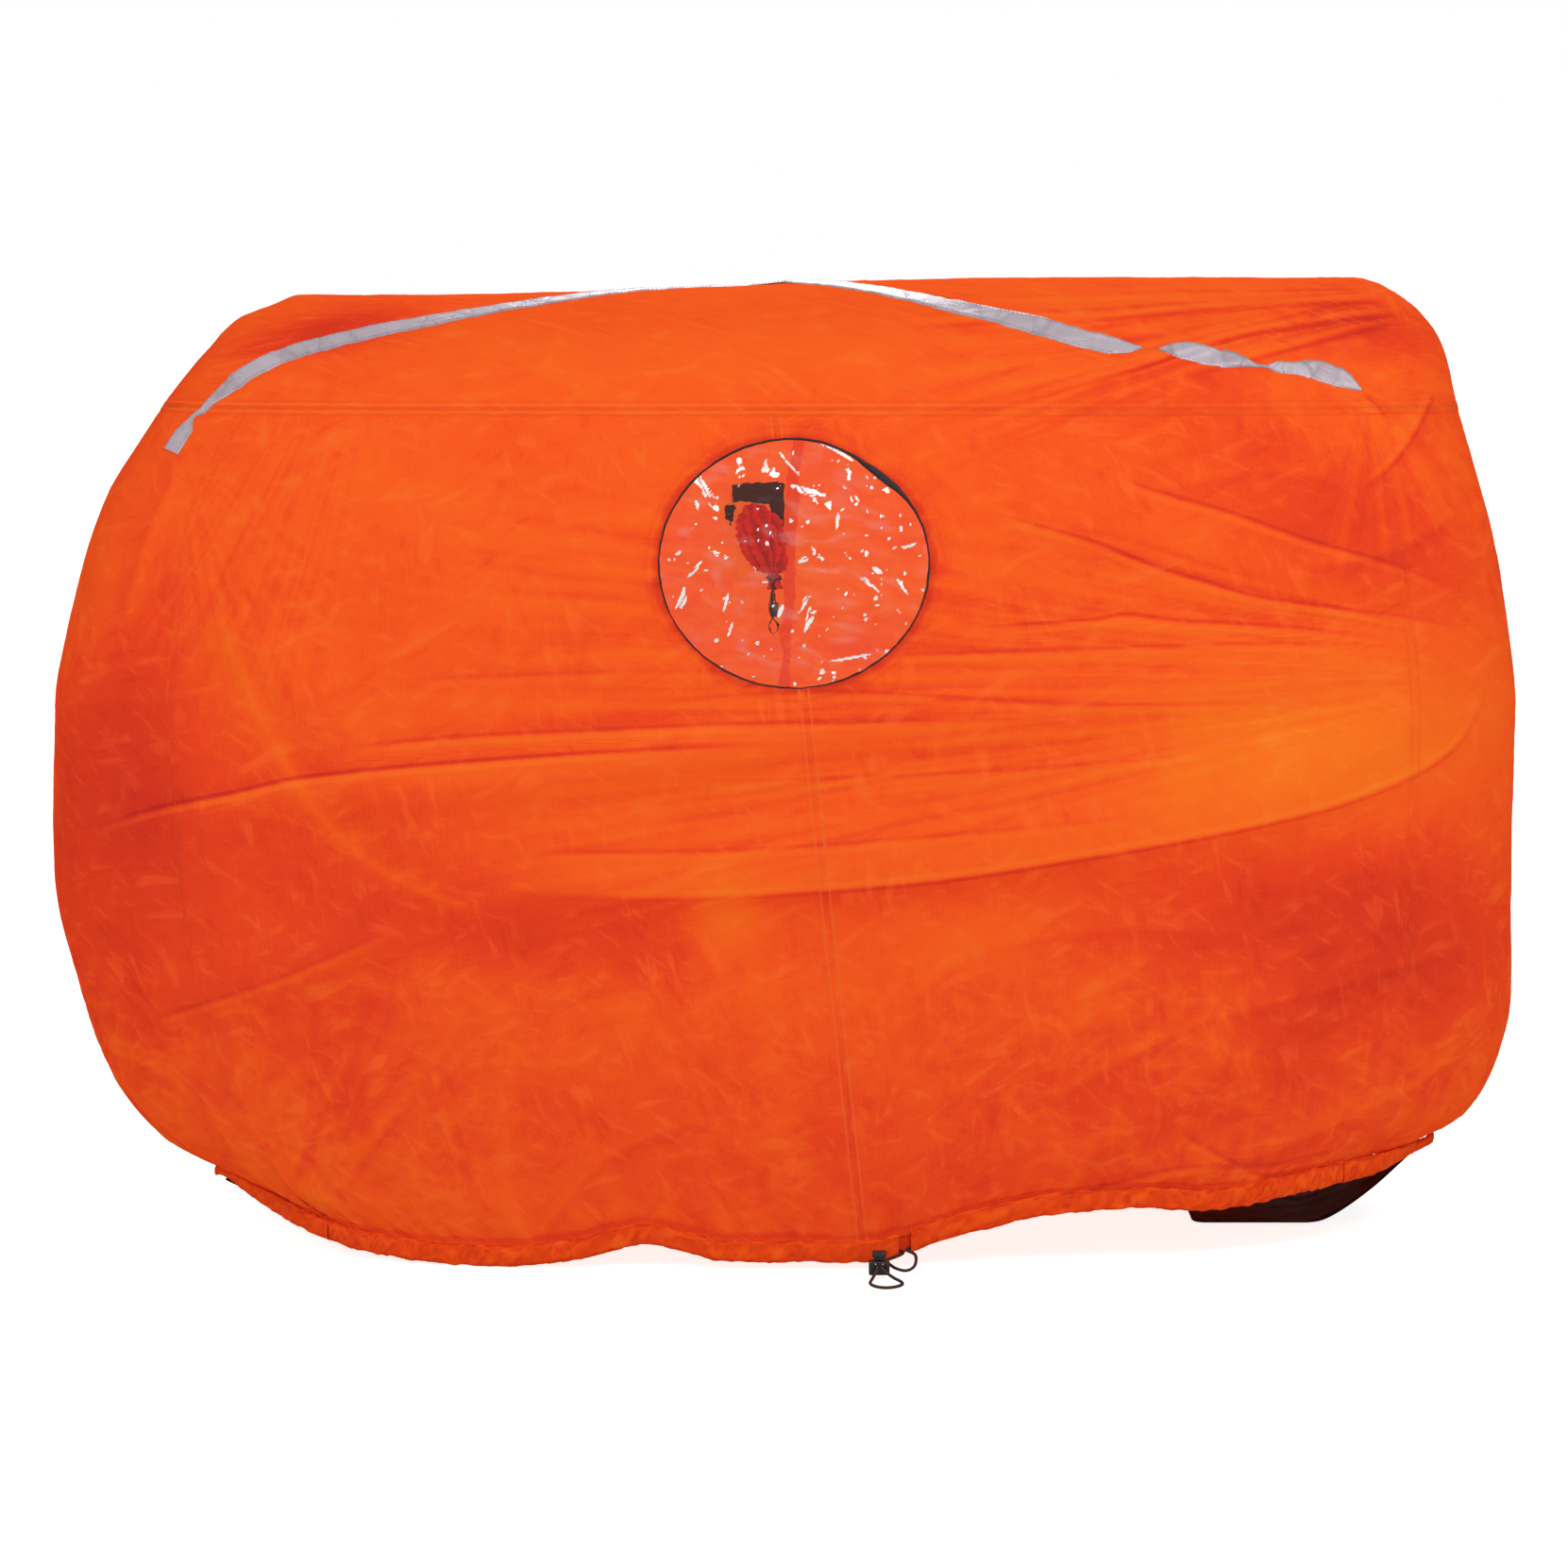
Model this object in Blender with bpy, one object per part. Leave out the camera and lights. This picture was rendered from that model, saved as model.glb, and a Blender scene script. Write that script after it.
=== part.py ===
"""Bothy bag, a two-person emergency shelter, standing as when its users sit inside it.

Metres, +Z up. The origin is at the middle of the footprint, on the ground.
The window wall faces -Y, and +X is to the right as one looks at the window.
"""

import math

import bmesh
import bpy
from mathutils import Matrix, Vector

for old in list(bpy.data.objects):
    bpy.data.objects.remove(old, do_unlink=True)

# The whole shelter
LENGTH = 1.40
DEPTH = 0.46
HEIGHT = 0.90
ROOF_RISE = 0.115
ROOF_SEAM_HEIGHT = HEIGHT - ROOF_RISE
CREST_DROP = 0.016

# Cloth and tapes
CLOTH = 0.0010
CLEARANCE = 0.0004
PANEL_GAP = 0.0005
SEAM_TAPE = 0.0008
SEAM_TAPE_WIDTH = 0.012
SEAM_TAPE_GAP = 0.0007
REFLECTIVE_TAPE = 0.0008
REFLECTIVE_WIDTH = 0.020

# Front centre seam: where it meets the ground, and how far it leans for each metre of height
SEAM_FOOT_X = 0.074
SEAM_LEAN = -0.105

# Window in the front wall
WINDOW_X = 0.009
WINDOW_BELOW_SEAM = 0.026
WINDOW_WIDTH = 0.243
WINDOW_HEIGHT = 0.222
WINDOW_Z = ROOF_SEAM_HEIGHT - WINDOW_BELOW_SEAM - WINDOW_HEIGHT / 2
WINDOW_LAP = 0.008
PANE = 0.0008
BINDING_WIDTH = 0.0035
BINDING = 0.0010

# Hem casing and its drawcord
HEM_HEIGHT = 0.020
HEM_THICKNESS = 0.008
HEM_CHAMFER = 0.0022
HEM_WALL = 0.0008
HEM_CORD = 0.003
SLIT = 0.012

# Vent in the back wall
VENT_X = -0.029
VENT_BELOW_SEAM = 0.128
VENT_Z = ROOF_SEAM_HEIGHT - VENT_BELOW_SEAM
NECK_BELOW_VENT = 0.0560
VENT_HOLE = 0.024
VENT_TAPE_RIGHT = 0.0290
VENT_TAPE_LEFT = 0.0230
VENT_TAPE_TOP = 0.0345
VENT_TAPE_FOOT = 0.0180
VENT_TAPE_DEPTH = 0.0185
VENT_TAPE_WIDTH = 0.0125
VENT_TAPE = 0.0010
SLEEVE_RADIUS = 0.0140
SLEEVE_WALL = 0.0010
SLEEVE_GAP = 0.0005
SLEEVE_MOUTH_GAP = 0.0010
VENT_CORD = 0.0018
TOGGLE_X = -0.0535
TOGGLE_ABOVE_VENT = 0.0070
TOGGLE_Z = VENT_Z + TOGGLE_ABOVE_VENT
TOGGLE_LENGTH = 0.0160
TOGGLE_RADIUS = 0.0055

# Seat panels on the ground at both ends
SEAT = 0.0012
SEAT_INNER_REACH = 0.392
SEAT_FLAT_REACH = 0.502
SEAT_FRONT_Y = -0.041
SEAT_BACK_Y = 0.150
SEAT_SEWN_FRONT_Y = -0.034
SEAT_SEWN_BACK_Y = 0.040
SEAT_EDGE_GAP = 0.0007
SEAT_EDGE_UP = 0.005
SEAT_CORNER = 0.012

# Cord locks, each drawn about its cord hole with the plunger up
LOCK_FIT = 0.0003
HEM_LOCK = {
    "width": 0.0190,
    "depth": 0.0100,
    "height": 0.0130,
    "wall": 0.0018,
    "floor": 0.0016,
    "stem": 0.0105,
    "bar": 0.0010,
    "travel": 0.0030,
    "button": (0.0130, 0.0085, 0.0055),
    "rounding": 0.0012,
    "wire": 0.0005,
    "spring": 0.0040,
    "cord": HEM_CORD,
}
VENT_LOCK = {
    "width": 0.0092,
    "depth": 0.0130,
    "height": 0.0094,
    "wall": 0.0011,
    "floor": 0.0010,
    "stem": 0.0064,
    "bar": 0.0008,
    "travel": 0.0020,
    "button": (0.0070, 0.0095, 0.0036),
    "rounding": 0.0008,
    "wire": 0.0003,
    "spring": 0.0026,
    "cord": VENT_CORD,
}
SPRING_TURNS = 3
HEM_LOCK_X = 0.0865
HEM_LOCK_Y = -0.2535
HEM_LOCK_ABOVE_GROUND = 0.0040
LOCK_BELOW_NECK = 0.0295
VENT_LOCK_Z = VENT_Z - NECK_BELOW_VENT - LOCK_BELOW_NECK

# Columns of cloth along each side of the shelter, and rows up the walls and the roof
SIDE_COLUMNS = 30
END_COLUMNS = 8
WALL_ROWS = 13
ROOF_ROWS = 6

# Sections from the ground to the crest: share of the height, then left and right reach as
# shares of half the length, reach to front and back as a share of half the depth, and how
# square the section is (2 is an ellipse).
SECTIONS = [
    (0.000, 0.735, 0.858, 0.945, 3.2),
    (0.067, 0.848, 0.930, 0.985, 3.2),
    (0.145, 0.912, 0.968, 1.000, 3.2),
    (0.245, 0.952, 0.987, 1.000, 3.3),
    (0.390, 0.987, 0.983, 1.000, 3.4),
    (0.556, 0.979, 0.982, 0.990, 3.6),
    (0.689, 0.942, 0.960, 0.957, 3.8),
    (0.778, 0.901, 0.931, 0.900, 4.0),
    (0.872, 0.825, 0.896, 0.780, 4.0),
    (0.933, 0.773, 0.879, 0.630, 3.6),
    (0.972, 0.735, 0.842, 0.447, 3.0),
    (0.992, 0.679, 0.802, 0.234, 2.6),
    (1.000, 0.650, 0.764, 0.000, 2.4),
]

# How far the hem is off the ground, as shares of its greatest rise. The place counts sides:
# 0 to 1 is the front from left to right, 1 to 2 the right end, 2 to 3 the back from right to
# left, and 3 to 4 the left end.
HEM_RISE = 0.078
HEM_RISES = [
    (0.000, 0.22),
    (0.067, 0.10),
    (0.133, 0.03),
    (0.200, 0.00),
    (0.267, 0.08),
    (0.333, 0.29),
    (0.400, 0.09),
    (0.500, 0.09),
    (0.533, 0.19),
    (0.567, 0.37),
    (0.600, 0.50),
    (0.667, 0.68),
    (0.733, 0.72),
    (0.800, 0.68),
    (0.867, 0.77),
    (0.933, 0.86),
    (1.000, 0.92),
    (1.250, 1.00),
    (1.440, 0.92),
    (1.560, 0.92),
    (2.000, 0.44),
    (2.200, 0.00),
    (2.500, 0.05),
    (2.800, 0.00),
    (3.000, 0.15),
    (3.250, 0.44),
    (3.440, 0.46),
    (3.560, 0.46),
    (3.750, 0.64),
    (3.875, 0.50),
    (4.000, 0.22),
]
RISE_FADES_BY = 0.30

# Main folds of the two long walls. Each runs from one end to the other, with its height out
# of the cloth and its width. The ends are shares of half the length and of the height, and
# the height and width are shares of the tallest and the widest fold.
FOLD_HEIGHT = 0.010
FOLD_WIDTH = 0.060
FRONT_FOLDS = [
    (-0.880, 0.456, 0.024, 0.541, 0.8, 0.75),
    (-0.374, 0.391, 0.567, 0.454, 1.0, 1.00),
    (0.567, 0.454, 0.861, 0.578, 1.0, 1.00),
    (-0.157, 0.531, 0.880, 0.628, 0.6, 0.75),
    (0.229, 0.781, 0.880, 0.686, 0.7, 0.75),
    (-0.723, 0.676, -0.386, 0.367, 0.9, 1.00),
    (-0.807, 0.262, -0.494, 0.358, 0.7, 0.75),
    (-0.579, 0.839, -0.711, 0.628, 0.6, 0.75),
    (0.343, 0.100, 0.800, 0.333, 0.6, 0.83),
]
BACK_FOLDS = [
    (-0.800, 0.333, 0.143, 0.422, 0.8, 1.00),
    (0.071, 0.667, 0.857, 0.511, 0.8, 1.00),
    (-0.714, 0.711, -0.214, 0.333, 0.8, 1.00),
    (0.286, 0.133, 0.800, 0.311, 0.7, 1.00),
]

# The reflective tapes as seen from above, from a front corner to the far back corner, in
# shares of half the length and half the depth
TAPE_FROM_LEFT = [
    (-0.800, -0.609),
    (-0.777, -0.583),
    (-0.727, -0.574),
    (-0.679, -0.530),
    (-0.570, -0.470),
    (-0.460, -0.387),
    (-0.363, -0.274),
    (-0.264, -0.139),
    (-0.171, -0.013),
    (-0.043, 0.174),
    (0.114, 0.361),
    (0.357, 0.543),
    (0.629, 0.630),
    (0.779, 0.643),
]
TAPE_FROM_RIGHT = [
    (0.750, -0.622),
    (0.700, -0.613),
    (0.624, -0.635),
    (0.539, -0.626),
    (0.440, -0.617),
    (0.331, -0.552),
    (0.210, -0.417),
    (0.074, -0.130),
    (-0.043, 0.174),
    (-0.171, 0.383),
    (-0.400, 0.557),
    (-0.629, 0.617),
    (-0.743, 0.609),
]
TAPE_CROSSING = (-0.043, 0.174)
TAPE_STEP = 0.035
CROSSING_REACH = 0.035
CROSSING_STRETCH = 2.0

COLUMNS = 2 * (SIDE_COLUMNS + END_COLUMNS)
ROWS = WALL_ROWS + ROOF_ROWS


# Curves through chosen points
def curve_value(knots, values, at):
    """Reads a smooth curve through values given at rising knots."""
    if at <= knots[0]:
        return values[0]
    if at >= knots[-1]:
        return values[-1]
    k = max(i for i in range(len(knots) - 1) if knots[i] <= at)

    def slope(i):
        if i == 0 or i == len(knots) - 1:
            j = min(max(i, 1), len(knots) - 1)
            return (values[j] - values[j - 1]) / (knots[j] - knots[j - 1])
        before = (values[i] - values[i - 1]) / (knots[i] - knots[i - 1])
        after = (values[i + 1] - values[i]) / (knots[i + 1] - knots[i])
        if before * after <= 0.0:
            return 0.0
        return 2.0 * before * after / (before + after)

    span = knots[k + 1] - knots[k]
    t = (at - knots[k]) / span
    start, end = slope(k) * span, slope(k + 1) * span
    a = values[k]
    b = values[k + 1]
    return (
        (2 * t**3 - 3 * t**2 + 1) * a
        + (t**3 - 2 * t**2 + t) * start
        + (3 * t**2 - 2 * t**3) * b
        + (t**3 - t**2) * end
    )


def smooth_step(t):
    """Goes from 0 to 1 without corners."""
    t = min(max(t, 0.0), 1.0)
    return t * t * (3.0 - 2.0 * t)


def route_points(points, step):
    """Points about a step apart on a smooth curve through the chosen points."""
    points = [Vector(p) for p in points]
    out = []
    for i in range(len(points) - 1):
        before = points[max(i - 1, 0)]
        a = points[i]
        b = points[i + 1]
        after = points[min(i + 2, len(points) - 1)]
        count = max(1, round((b - a).length / step))
        for k in range(count):
            t = k / count
            out.append(
                0.5
                * (
                    2 * a
                    + (b - before) * t
                    + (2 * before - 5 * a + 4 * b - after) * t**2
                    + (3 * a - before - 3 * b + after) * t**3
                )
            )
    out.append(points[-1])
    return out


# The surface of the shelter
SECTION_TURNS = [math.asin(min(s[0], 1.0)) for s in SECTIONS]


def section_at(height):
    """Left, right and depth reach in metres, and squareness, at a height below the crest."""
    turn = math.asin(min(max(height / HEIGHT, 0.0), 1.0))
    left, right, deep, square = (
        curve_value(SECTION_TURNS, [s[k] for s in SECTIONS], turn) for k in (1, 2, 3, 4)
    )
    return -left * LENGTH / 2, right * LENGTH / 2, deep * DEPTH / 2, square


def column_place(column):
    """Which side a column is on and how far along it, as one number from 0 to 4."""
    column = column % COLUMNS
    for side, count in enumerate((SIDE_COLUMNS, END_COLUMNS, SIDE_COLUMNS, END_COLUMNS)):
        if column <= count:
            return side + column / count
        column -= count
    return 4.0


def section_point(place, square):
    """The unit section's point at a place round the shelter."""
    side = min(int(place), 3)
    t = 2.0 * (place - side) - 1.0
    x, y = [(t, -1.0), (1.0, t), (-t, 1.0), (-1.0, -t)][side]
    reach = (abs(x) ** square + abs(y) ** square) ** (1.0 / square)
    return x / reach, y / reach


def fold_relief(folds, x, z):
    """How far the folds lift the cloth at a point of a wall."""
    lift = 0.0
    for x0, z0, x1, z1, height, width in folds:
        start = Vector((x0 * LENGTH / 2, z0 * HEIGHT))
        along = Vector((x1 * LENGTH / 2, z1 * HEIGHT)) - start
        at = Vector((x, z)) - start
        share = at.dot(along) / along.length_squared
        away = abs(along.x * at.y - along.y * at.x) / along.length
        fade = smooth_step((share + 0.1) / 0.25) * smooth_step((1.1 - share) / 0.25)
        spread = away / (0.6 * width * FOLD_WIDTH)
        lift += height * FOLD_HEIGHT * fade * math.exp(-(spread**2))
    return lift


def shelter_point(place, height):
    """The middle of the cloth at a place round the shelter and a height of its section."""
    left, right, deep, square = section_at(height)
    x, y = section_point(place, square)
    share = height / HEIGHT
    px = (left + right) / 2 + x * (right - left) / 2
    py = y * deep
    rise = HEM_RISE * curve_value([r[0] for r in HEM_RISES], [r[1] for r in HEM_RISES], place)
    rise *= max(0.0, 1.0 - (height - HEM_HEIGHT - CLEARANCE) / RISE_FADES_BY) ** 2
    over_roof = smooth_step((height - ROOF_SEAM_HEIGHT) / (HEIGHT - ROOF_SEAM_HEIGHT))
    pz = height + rise - CREST_DROP * over_roof * smooth_step((0.25 - px) / 0.6)
    facing = smooth_step((abs(y) - 0.55) / 0.35)
    below_crest = 1.0 - share**8
    if y < 0.0:
        to_roof = smooth_step((1.0 - share) / (1.0 - ROOF_SEAM_HEIGHT / HEIGHT))
        seam_x = SEAM_FOOT_X + SEAM_LEAN * height
        middle = (left + right) / 2
        px += (seam_x - middle) * (1.0 - x * x) * facing * to_roof
        py -= fold_relief(FRONT_FOLDS, px, pz) * facing * below_crest
    else:
        py += fold_relief(BACK_FOLDS, px, pz) * facing * below_crest
    return Vector((px, py, pz))


def row_height(row):
    """The section height of a row: even steps up the wall, then even turns over the roof."""
    foot = HEM_HEIGHT + CLEARANCE
    if row <= WALL_ROWS:
        return foot + (ROOF_SEAM_HEIGHT - foot) * row / WALL_ROWS
    start = math.asin(ROOF_SEAM_HEIGHT / HEIGHT)
    turn = start + (math.pi / 2 - start) * (row - WALL_ROWS) / ROOF_ROWS
    return HEIGHT * math.sin(turn)


def key(row, column):
    """The name of a grid point. At the crest the front and back points are the same ones."""
    column = column % COLUMNS
    if row == ROWS:
        mirrored = (2 * SIDE_COLUMNS + END_COLUMNS - column) % COLUMNS
        column = min(column, mirrored)
    return row, column


def make_grid():
    """Points and outward directions of the whole shell of cloth."""
    points = {}
    for row in range(ROWS + 1):
        for column in range(COLUMNS):
            if key(row, column) not in points:
                points[key(row, column)] = shelter_point(column_place(column), row_height(row))
    normals = {k: Vector() for k in points}
    for row in range(ROWS):
        for column in range(COLUMNS):
            corners = cell_corners(row, column)
            a, b, c, d = (points[k] for k in corners)
            out = (c - a).cross(d - b)
            for k in corners:
                normals[k] += out
    return points, {k: n.normalized() for k, n in normals.items()}


def cell_corners(row, column):
    """The four grid points of a cell, counter-clockwise as seen from outside."""
    return [
        key(row, column),
        key(row, column + 1),
        key(row + 1, column + 1),
        key(row + 1, column),
    ]


POINTS, NORMALS = make_grid()

# Columns where the sides of the shelter begin
FRONT_START = 0
RIGHT_START = SIDE_COLUMNS
BACK_START = SIDE_COLUMNS + END_COLUMNS
LEFT_START = 2 * SIDE_COLUMNS + END_COLUMNS
FRONT_MIDDLE = SIDE_COLUMNS // 2
BACK_MIDDLE = BACK_START + SIDE_COLUMNS // 2


# Materials
def material(name, colour, roughness, metallic=0.0, alpha=1.0, transmission=0.0):
    """A plain material of one colour."""
    made = bpy.data.materials.new(name)
    made.use_nodes = True
    shader = made.node_tree.nodes["Principled BSDF"]
    shader.inputs["Base Color"].default_value = (*colour, 1.0)
    shader.inputs["Roughness"].default_value = roughness
    shader.inputs["Metallic"].default_value = metallic
    shader.inputs["Alpha"].default_value = alpha
    shader.inputs["Transmission Weight"].default_value = transmission
    made.diffuse_color = (*colour, alpha)
    return made


ORANGE = (0.89, 0.11, 0.018)
DEEP_ORANGE = (0.76, 0.055, 0.018)
COLOURS = {
    "cloth": (ORANGE, 0.55, 0.0),
    "hem": (DEEP_ORANGE, 0.6, 0.0),
    "tape": (DEEP_ORANGE, 0.5, 0.0),
    "reflective": ((0.52, 0.46, 0.50), 0.35, 0.3),
    "pane": ((0.9, 0.88, 0.86), 0.1, 0.0),
    "black_cloth": ((0.012, 0.012, 0.013), 0.6, 0.0),
    "grey_tape": ((0.06, 0.05, 0.05), 0.7, 0.0),
    "cord": ((0.01, 0.01, 0.01), 0.7, 0.0),
    "plastic": ((0.012, 0.012, 0.012), 0.35, 0.0),
    "ring": ((0.85, 0.2, 0.05), 0.4, 0.0),
    "steel": ((0.6, 0.6, 0.6), 0.3, 1.0),
}


def dress(shape, finish):
    """Gives an object a material of its own."""
    colour, roughness, metallic = COLOURS[finish]
    clear = 0.35 if finish == "pane" else 1.0
    shape.data.materials.clear()
    shape.data.materials.append(
        material(shape.name + "_" + finish, colour, roughness, metallic, clear)
    )
    return shape


# Mesh helpers
def new_object(name, verts, faces):
    """An object from points and faces, with its faces pointing outwards."""
    mesh = bpy.data.meshes.new(name)
    mesh.from_pydata([tuple(v) for v in verts], [], faces)
    work = bmesh.new()
    work.from_mesh(mesh)
    bmesh.ops.recalc_face_normals(work, faces=work.faces[:])
    work.to_mesh(mesh)
    work.free()
    made = bpy.data.objects.new(name, mesh)
    bpy.context.scene.collection.objects.link(made)
    return made


def hide_cutter(cutter):
    """A cutter shapes other pieces and isn't one itself."""
    cutter.hide_render = True
    cutter.display_type = "WIRE"
    return cutter


def cut(shape, cutter, operation):
    """Cuts a shape by another for good and removes the cutter."""
    hide_cutter(cutter)
    modifier = shape.modifiers.new("cut", "BOOLEAN")
    modifier.operation = operation
    modifier.solver = "EXACT"
    modifier.object = cutter
    bpy.context.view_layer.update()
    evaluated = shape.evaluated_get(bpy.context.evaluated_depsgraph_get())
    mesh = bpy.data.meshes.new_from_object(evaluated)
    shape.modifiers.remove(modifier)
    old = shape.data
    shape.data = mesh
    bpy.data.meshes.remove(old)
    bpy.data.objects.remove(cutter, do_unlink=True)
    return shape


def cloth_layer(name, cells, inner, outer, trim=0.0):
    """A closed sheet over some cells of the grid, between two distances from its middle.

    inner and outer are functions of a point. trim draws the sheet's edge in.
    """
    corners_of = [cell_corners(row, column) for row, column in cells]
    edges = {}
    for corners in corners_of:
        for a, b in zip(corners, corners[1:] + corners[:1]):
            if a != b:
                edges[(a, b)] = edges.get((a, b), 0) + 1
    border = [(a, b) for a, b in edges if (b, a) not in edges]
    pull = {}
    for a, b in border:
        for k in (a, b):
            inside = [o for c in corners_of if k in c for o in c if o != k]
            mean = sum((POINTS[o] for o in inside), Vector()) / len(inside)
            pull[k] = mean
    used = sorted({k for corners in corners_of for k in corners})
    number = {k: i for i, k in enumerate(used)}
    low, high = [], []
    for k in used:
        p, n = POINTS[k], NORMALS[k]
        if trim and k in pull:
            away = pull[k] - p
            away -= n * away.dot(n)
            edge_way = [b if a == k else a for a, b in border if k in (a, b)]
            if len(edge_way) == 2:
                line = (POINTS[edge_way[1]] - POINTS[edge_way[0]]).normalized()
                square = away - line * away.dot(line)
                if square.length > 0.3 * away.length:
                    away = square
            p = p + away.normalized() * trim
        low.append(p + n * inner(p))
        high.append(p + n * outer(p))
    count = len(used)
    faces = []
    for corners in corners_of:
        ring = [number[k] for i, k in enumerate(corners) if k != corners[i - 1]]
        for i in range(1, len(ring) - 1):
            a, b, c = ring[0], ring[i], ring[i + 1]
            faces.append([count + a, count + b, count + c])
            faces.append([c, b, a])
    for a, b in border:
        i, j = number[a], number[b]
        faces.append([i, j, count + j, count + i])
    return new_object(name, low + high, faces)


def wall_cells(start, end, rows=(0, WALL_ROWS)):
    """The cells between two columns and two rows."""
    return [(row, column) for row in range(*rows) for column in range(start, end)]


def prism(name, outline, low, high):
    """A block along Y with an outline of x and z."""
    count = len(outline)
    verts = [(x, low, z) for x, z in outline] + [(x, high, z) for x, z in outline]
    faces = [list(range(count)), list(range(2 * count - 1, count - 1, -1))]
    for i in range(count):
        j = (i + 1) % count
        faces.append([i, count + i, count + j, j])
    return new_object(name, verts, faces)


def ellipse(cx, cz, rx, rz, count):
    """Points of an ellipse in x and z."""
    turns = [2 * math.pi * i / count for i in range(count)]
    return [(cx + rx * math.cos(a), cz + rz * math.sin(a)) for a in turns]


def window_outline(grow, count=40):
    """The window's outline, a little flat at its upper right, grown by a distance."""
    out = []
    for i in range(count):
        a = 2 * math.pi * i / count
        flat = 1.0 - 0.045 * math.exp(-(((a - 0.9) / 0.35) ** 2))
        rx = (WINDOW_WIDTH / 2) * flat + grow
        rz = (WINDOW_HEIGHT / 2) * flat + grow
        out.append((WINDOW_X + rx * math.cos(a), WINDOW_Z + rz * math.sin(a)))
    return out


def tube(name, points, radius, sides_setting=2, closed=False):
    """A round cord along some points."""
    curve = bpy.data.curves.new(name, "CURVE")
    curve.dimensions = "3D"
    curve.bevel_depth = radius
    curve.bevel_resolution = sides_setting
    curve.use_fill_caps = True
    spline = curve.splines.new("POLY")
    spline.points.add(len(points) - 1)
    for spot, p in zip(spline.points, points):
        spot.co = (*p, 1.0)
    spline.use_cyclic_u = closed
    made = bpy.data.objects.new(name, curve)
    bpy.context.scene.collection.objects.link(made)
    return made


def loft(name, rings, close_ends=True):
    """A solid through rings of points, with flat ends."""
    count = len(rings[0])
    verts = [p for ring in rings for p in ring]
    faces = []
    for k in range(len(rings) - 1):
        for i in range(count):
            j = (i + 1) % count
            faces.append([k * count + i, k * count + j, (k + 1) * count + j, (k + 1) * count + i])
    if close_ends:
        faces.append(list(range(count)))
        faces.append(list(range(len(verts) - 1, len(verts) - count - 1, -1)))
    return new_object(name, verts, faces)


def box(name, size, centre):
    """A plain block."""
    sx, sy, sz = (s / 2 for s in size)
    verts = [
        (centre[0] + x * sx, centre[1] + y * sy, centre[2] + z * sz)
        for x, y, z in [
            (-1, -1, -1),
            (1, -1, -1),
            (1, 1, -1),
            (-1, 1, -1),
            (-1, -1, 1),
            (1, -1, 1),
            (1, 1, 1),
            (-1, 1, 1),
        ]
    ]
    faces = [
        [0, 3, 2, 1],
        [4, 5, 6, 7],
        [0, 1, 5, 4],
        [1, 2, 6, 5],
        [2, 3, 7, 6],
        [3, 0, 4, 7],
    ]
    return new_object(name, verts, faces)


def round_edges(shape, width, segments=2):
    """Rounds every edge of a shape for good."""
    work = bmesh.new()
    work.from_mesh(shape.data)
    bmesh.ops.bevel(
        work,
        geom=work.edges[:],
        offset=width,
        segments=segments,
        profile=0.5,
        affect="EDGES",
    )
    work.to_mesh(shape.data)
    work.free()
    shape.data.shade_smooth()
    return shape


# The cloth shell
def make_panels():
    """Front, back, end and roof panels, with the window and the vent cut out."""
    half = CLOTH / 2
    trim = PANEL_GAP / 2
    spans = {
        "front_panel_left": (FRONT_START, FRONT_MIDDLE),
        "front_panel_right": (FRONT_MIDDLE, RIGHT_START),
        "end_panel_right": (RIGHT_START, BACK_START),
        "back_panel_right": (BACK_START, BACK_MIDDLE),
        "back_panel_left": (BACK_MIDDLE, LEFT_START),
        "end_panel_left": (LEFT_START, COLUMNS),
    }
    panels = {}
    for name, (start, end) in spans.items():
        panels[name] = cloth_layer(
            name, wall_cells(start, end), lambda p: -half, lambda p: half, trim
        )
    roof = wall_cells(0, COLUMNS, (WALL_ROWS, ROWS))
    panels["roof_panel"] = cloth_layer(
        "roof_panel", roof, lambda p: -half, lambda p: half, trim
    )
    for name in ("front_panel_left", "front_panel_right"):
        hole = prism("window_hole", window_outline(0.0), -DEPTH, -DEPTH / 4)
        cut(panels[name], hole, "DIFFERENCE")
    round_hole = ellipse(VENT_X, VENT_Z, VENT_HOLE / 2, VENT_HOLE / 2, 16)
    hole = prism("vent_hole", round_hole, DEPTH / 4, DEPTH)
    cut(panels["back_panel_left"], hole, "DIFFERENCE")
    for panel in panels.values():
        dress(panel, "cloth")
    return panels


def near_window(reach):
    """Front cells within reach of the window."""
    cells = []
    for row, column in wall_cells(FRONT_START, RIGHT_START):
        middle = sum((POINTS[k] for k in cell_corners(row, column)), Vector()) / 4
        if (
            abs(middle.x - WINDOW_X) < WINDOW_WIDTH / 2 + reach
            and abs(middle.z - WINDOW_Z) < WINDOW_HEIGHT / 2 + reach
        ):
            cells.append((row, column))
    return cells


def make_window():
    """The clear pane inside the wall and the black binding on the hole's edge outside."""
    cells = near_window(0.06)
    back = -(CLOTH / 2 + CLEARANCE)
    pane = cloth_layer("window_pane", cells, lambda p: back - PANE, lambda p: back)
    outline = prism("pane_outline", window_outline(WINDOW_LAP), -DEPTH, -DEPTH / 4)
    cut(pane, outline, "INTERSECT")
    dress(pane, "pane")
    front = CLOTH / 2 + CLEARANCE
    binding = cloth_layer(
        "window_binding", cells, lambda p: front, lambda p: front + BINDING
    )
    outline = prism("binding_outline", window_outline(BINDING_WIDTH), -DEPTH, -DEPTH / 4)
    cut(binding, outline, "INTERSECT")
    hole = prism("binding_hole", window_outline(0.0), -1.1 * DEPTH, -DEPTH / 5)
    cut(binding, hole, "DIFFERENCE")
    dress(binding, "black_cloth")


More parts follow.
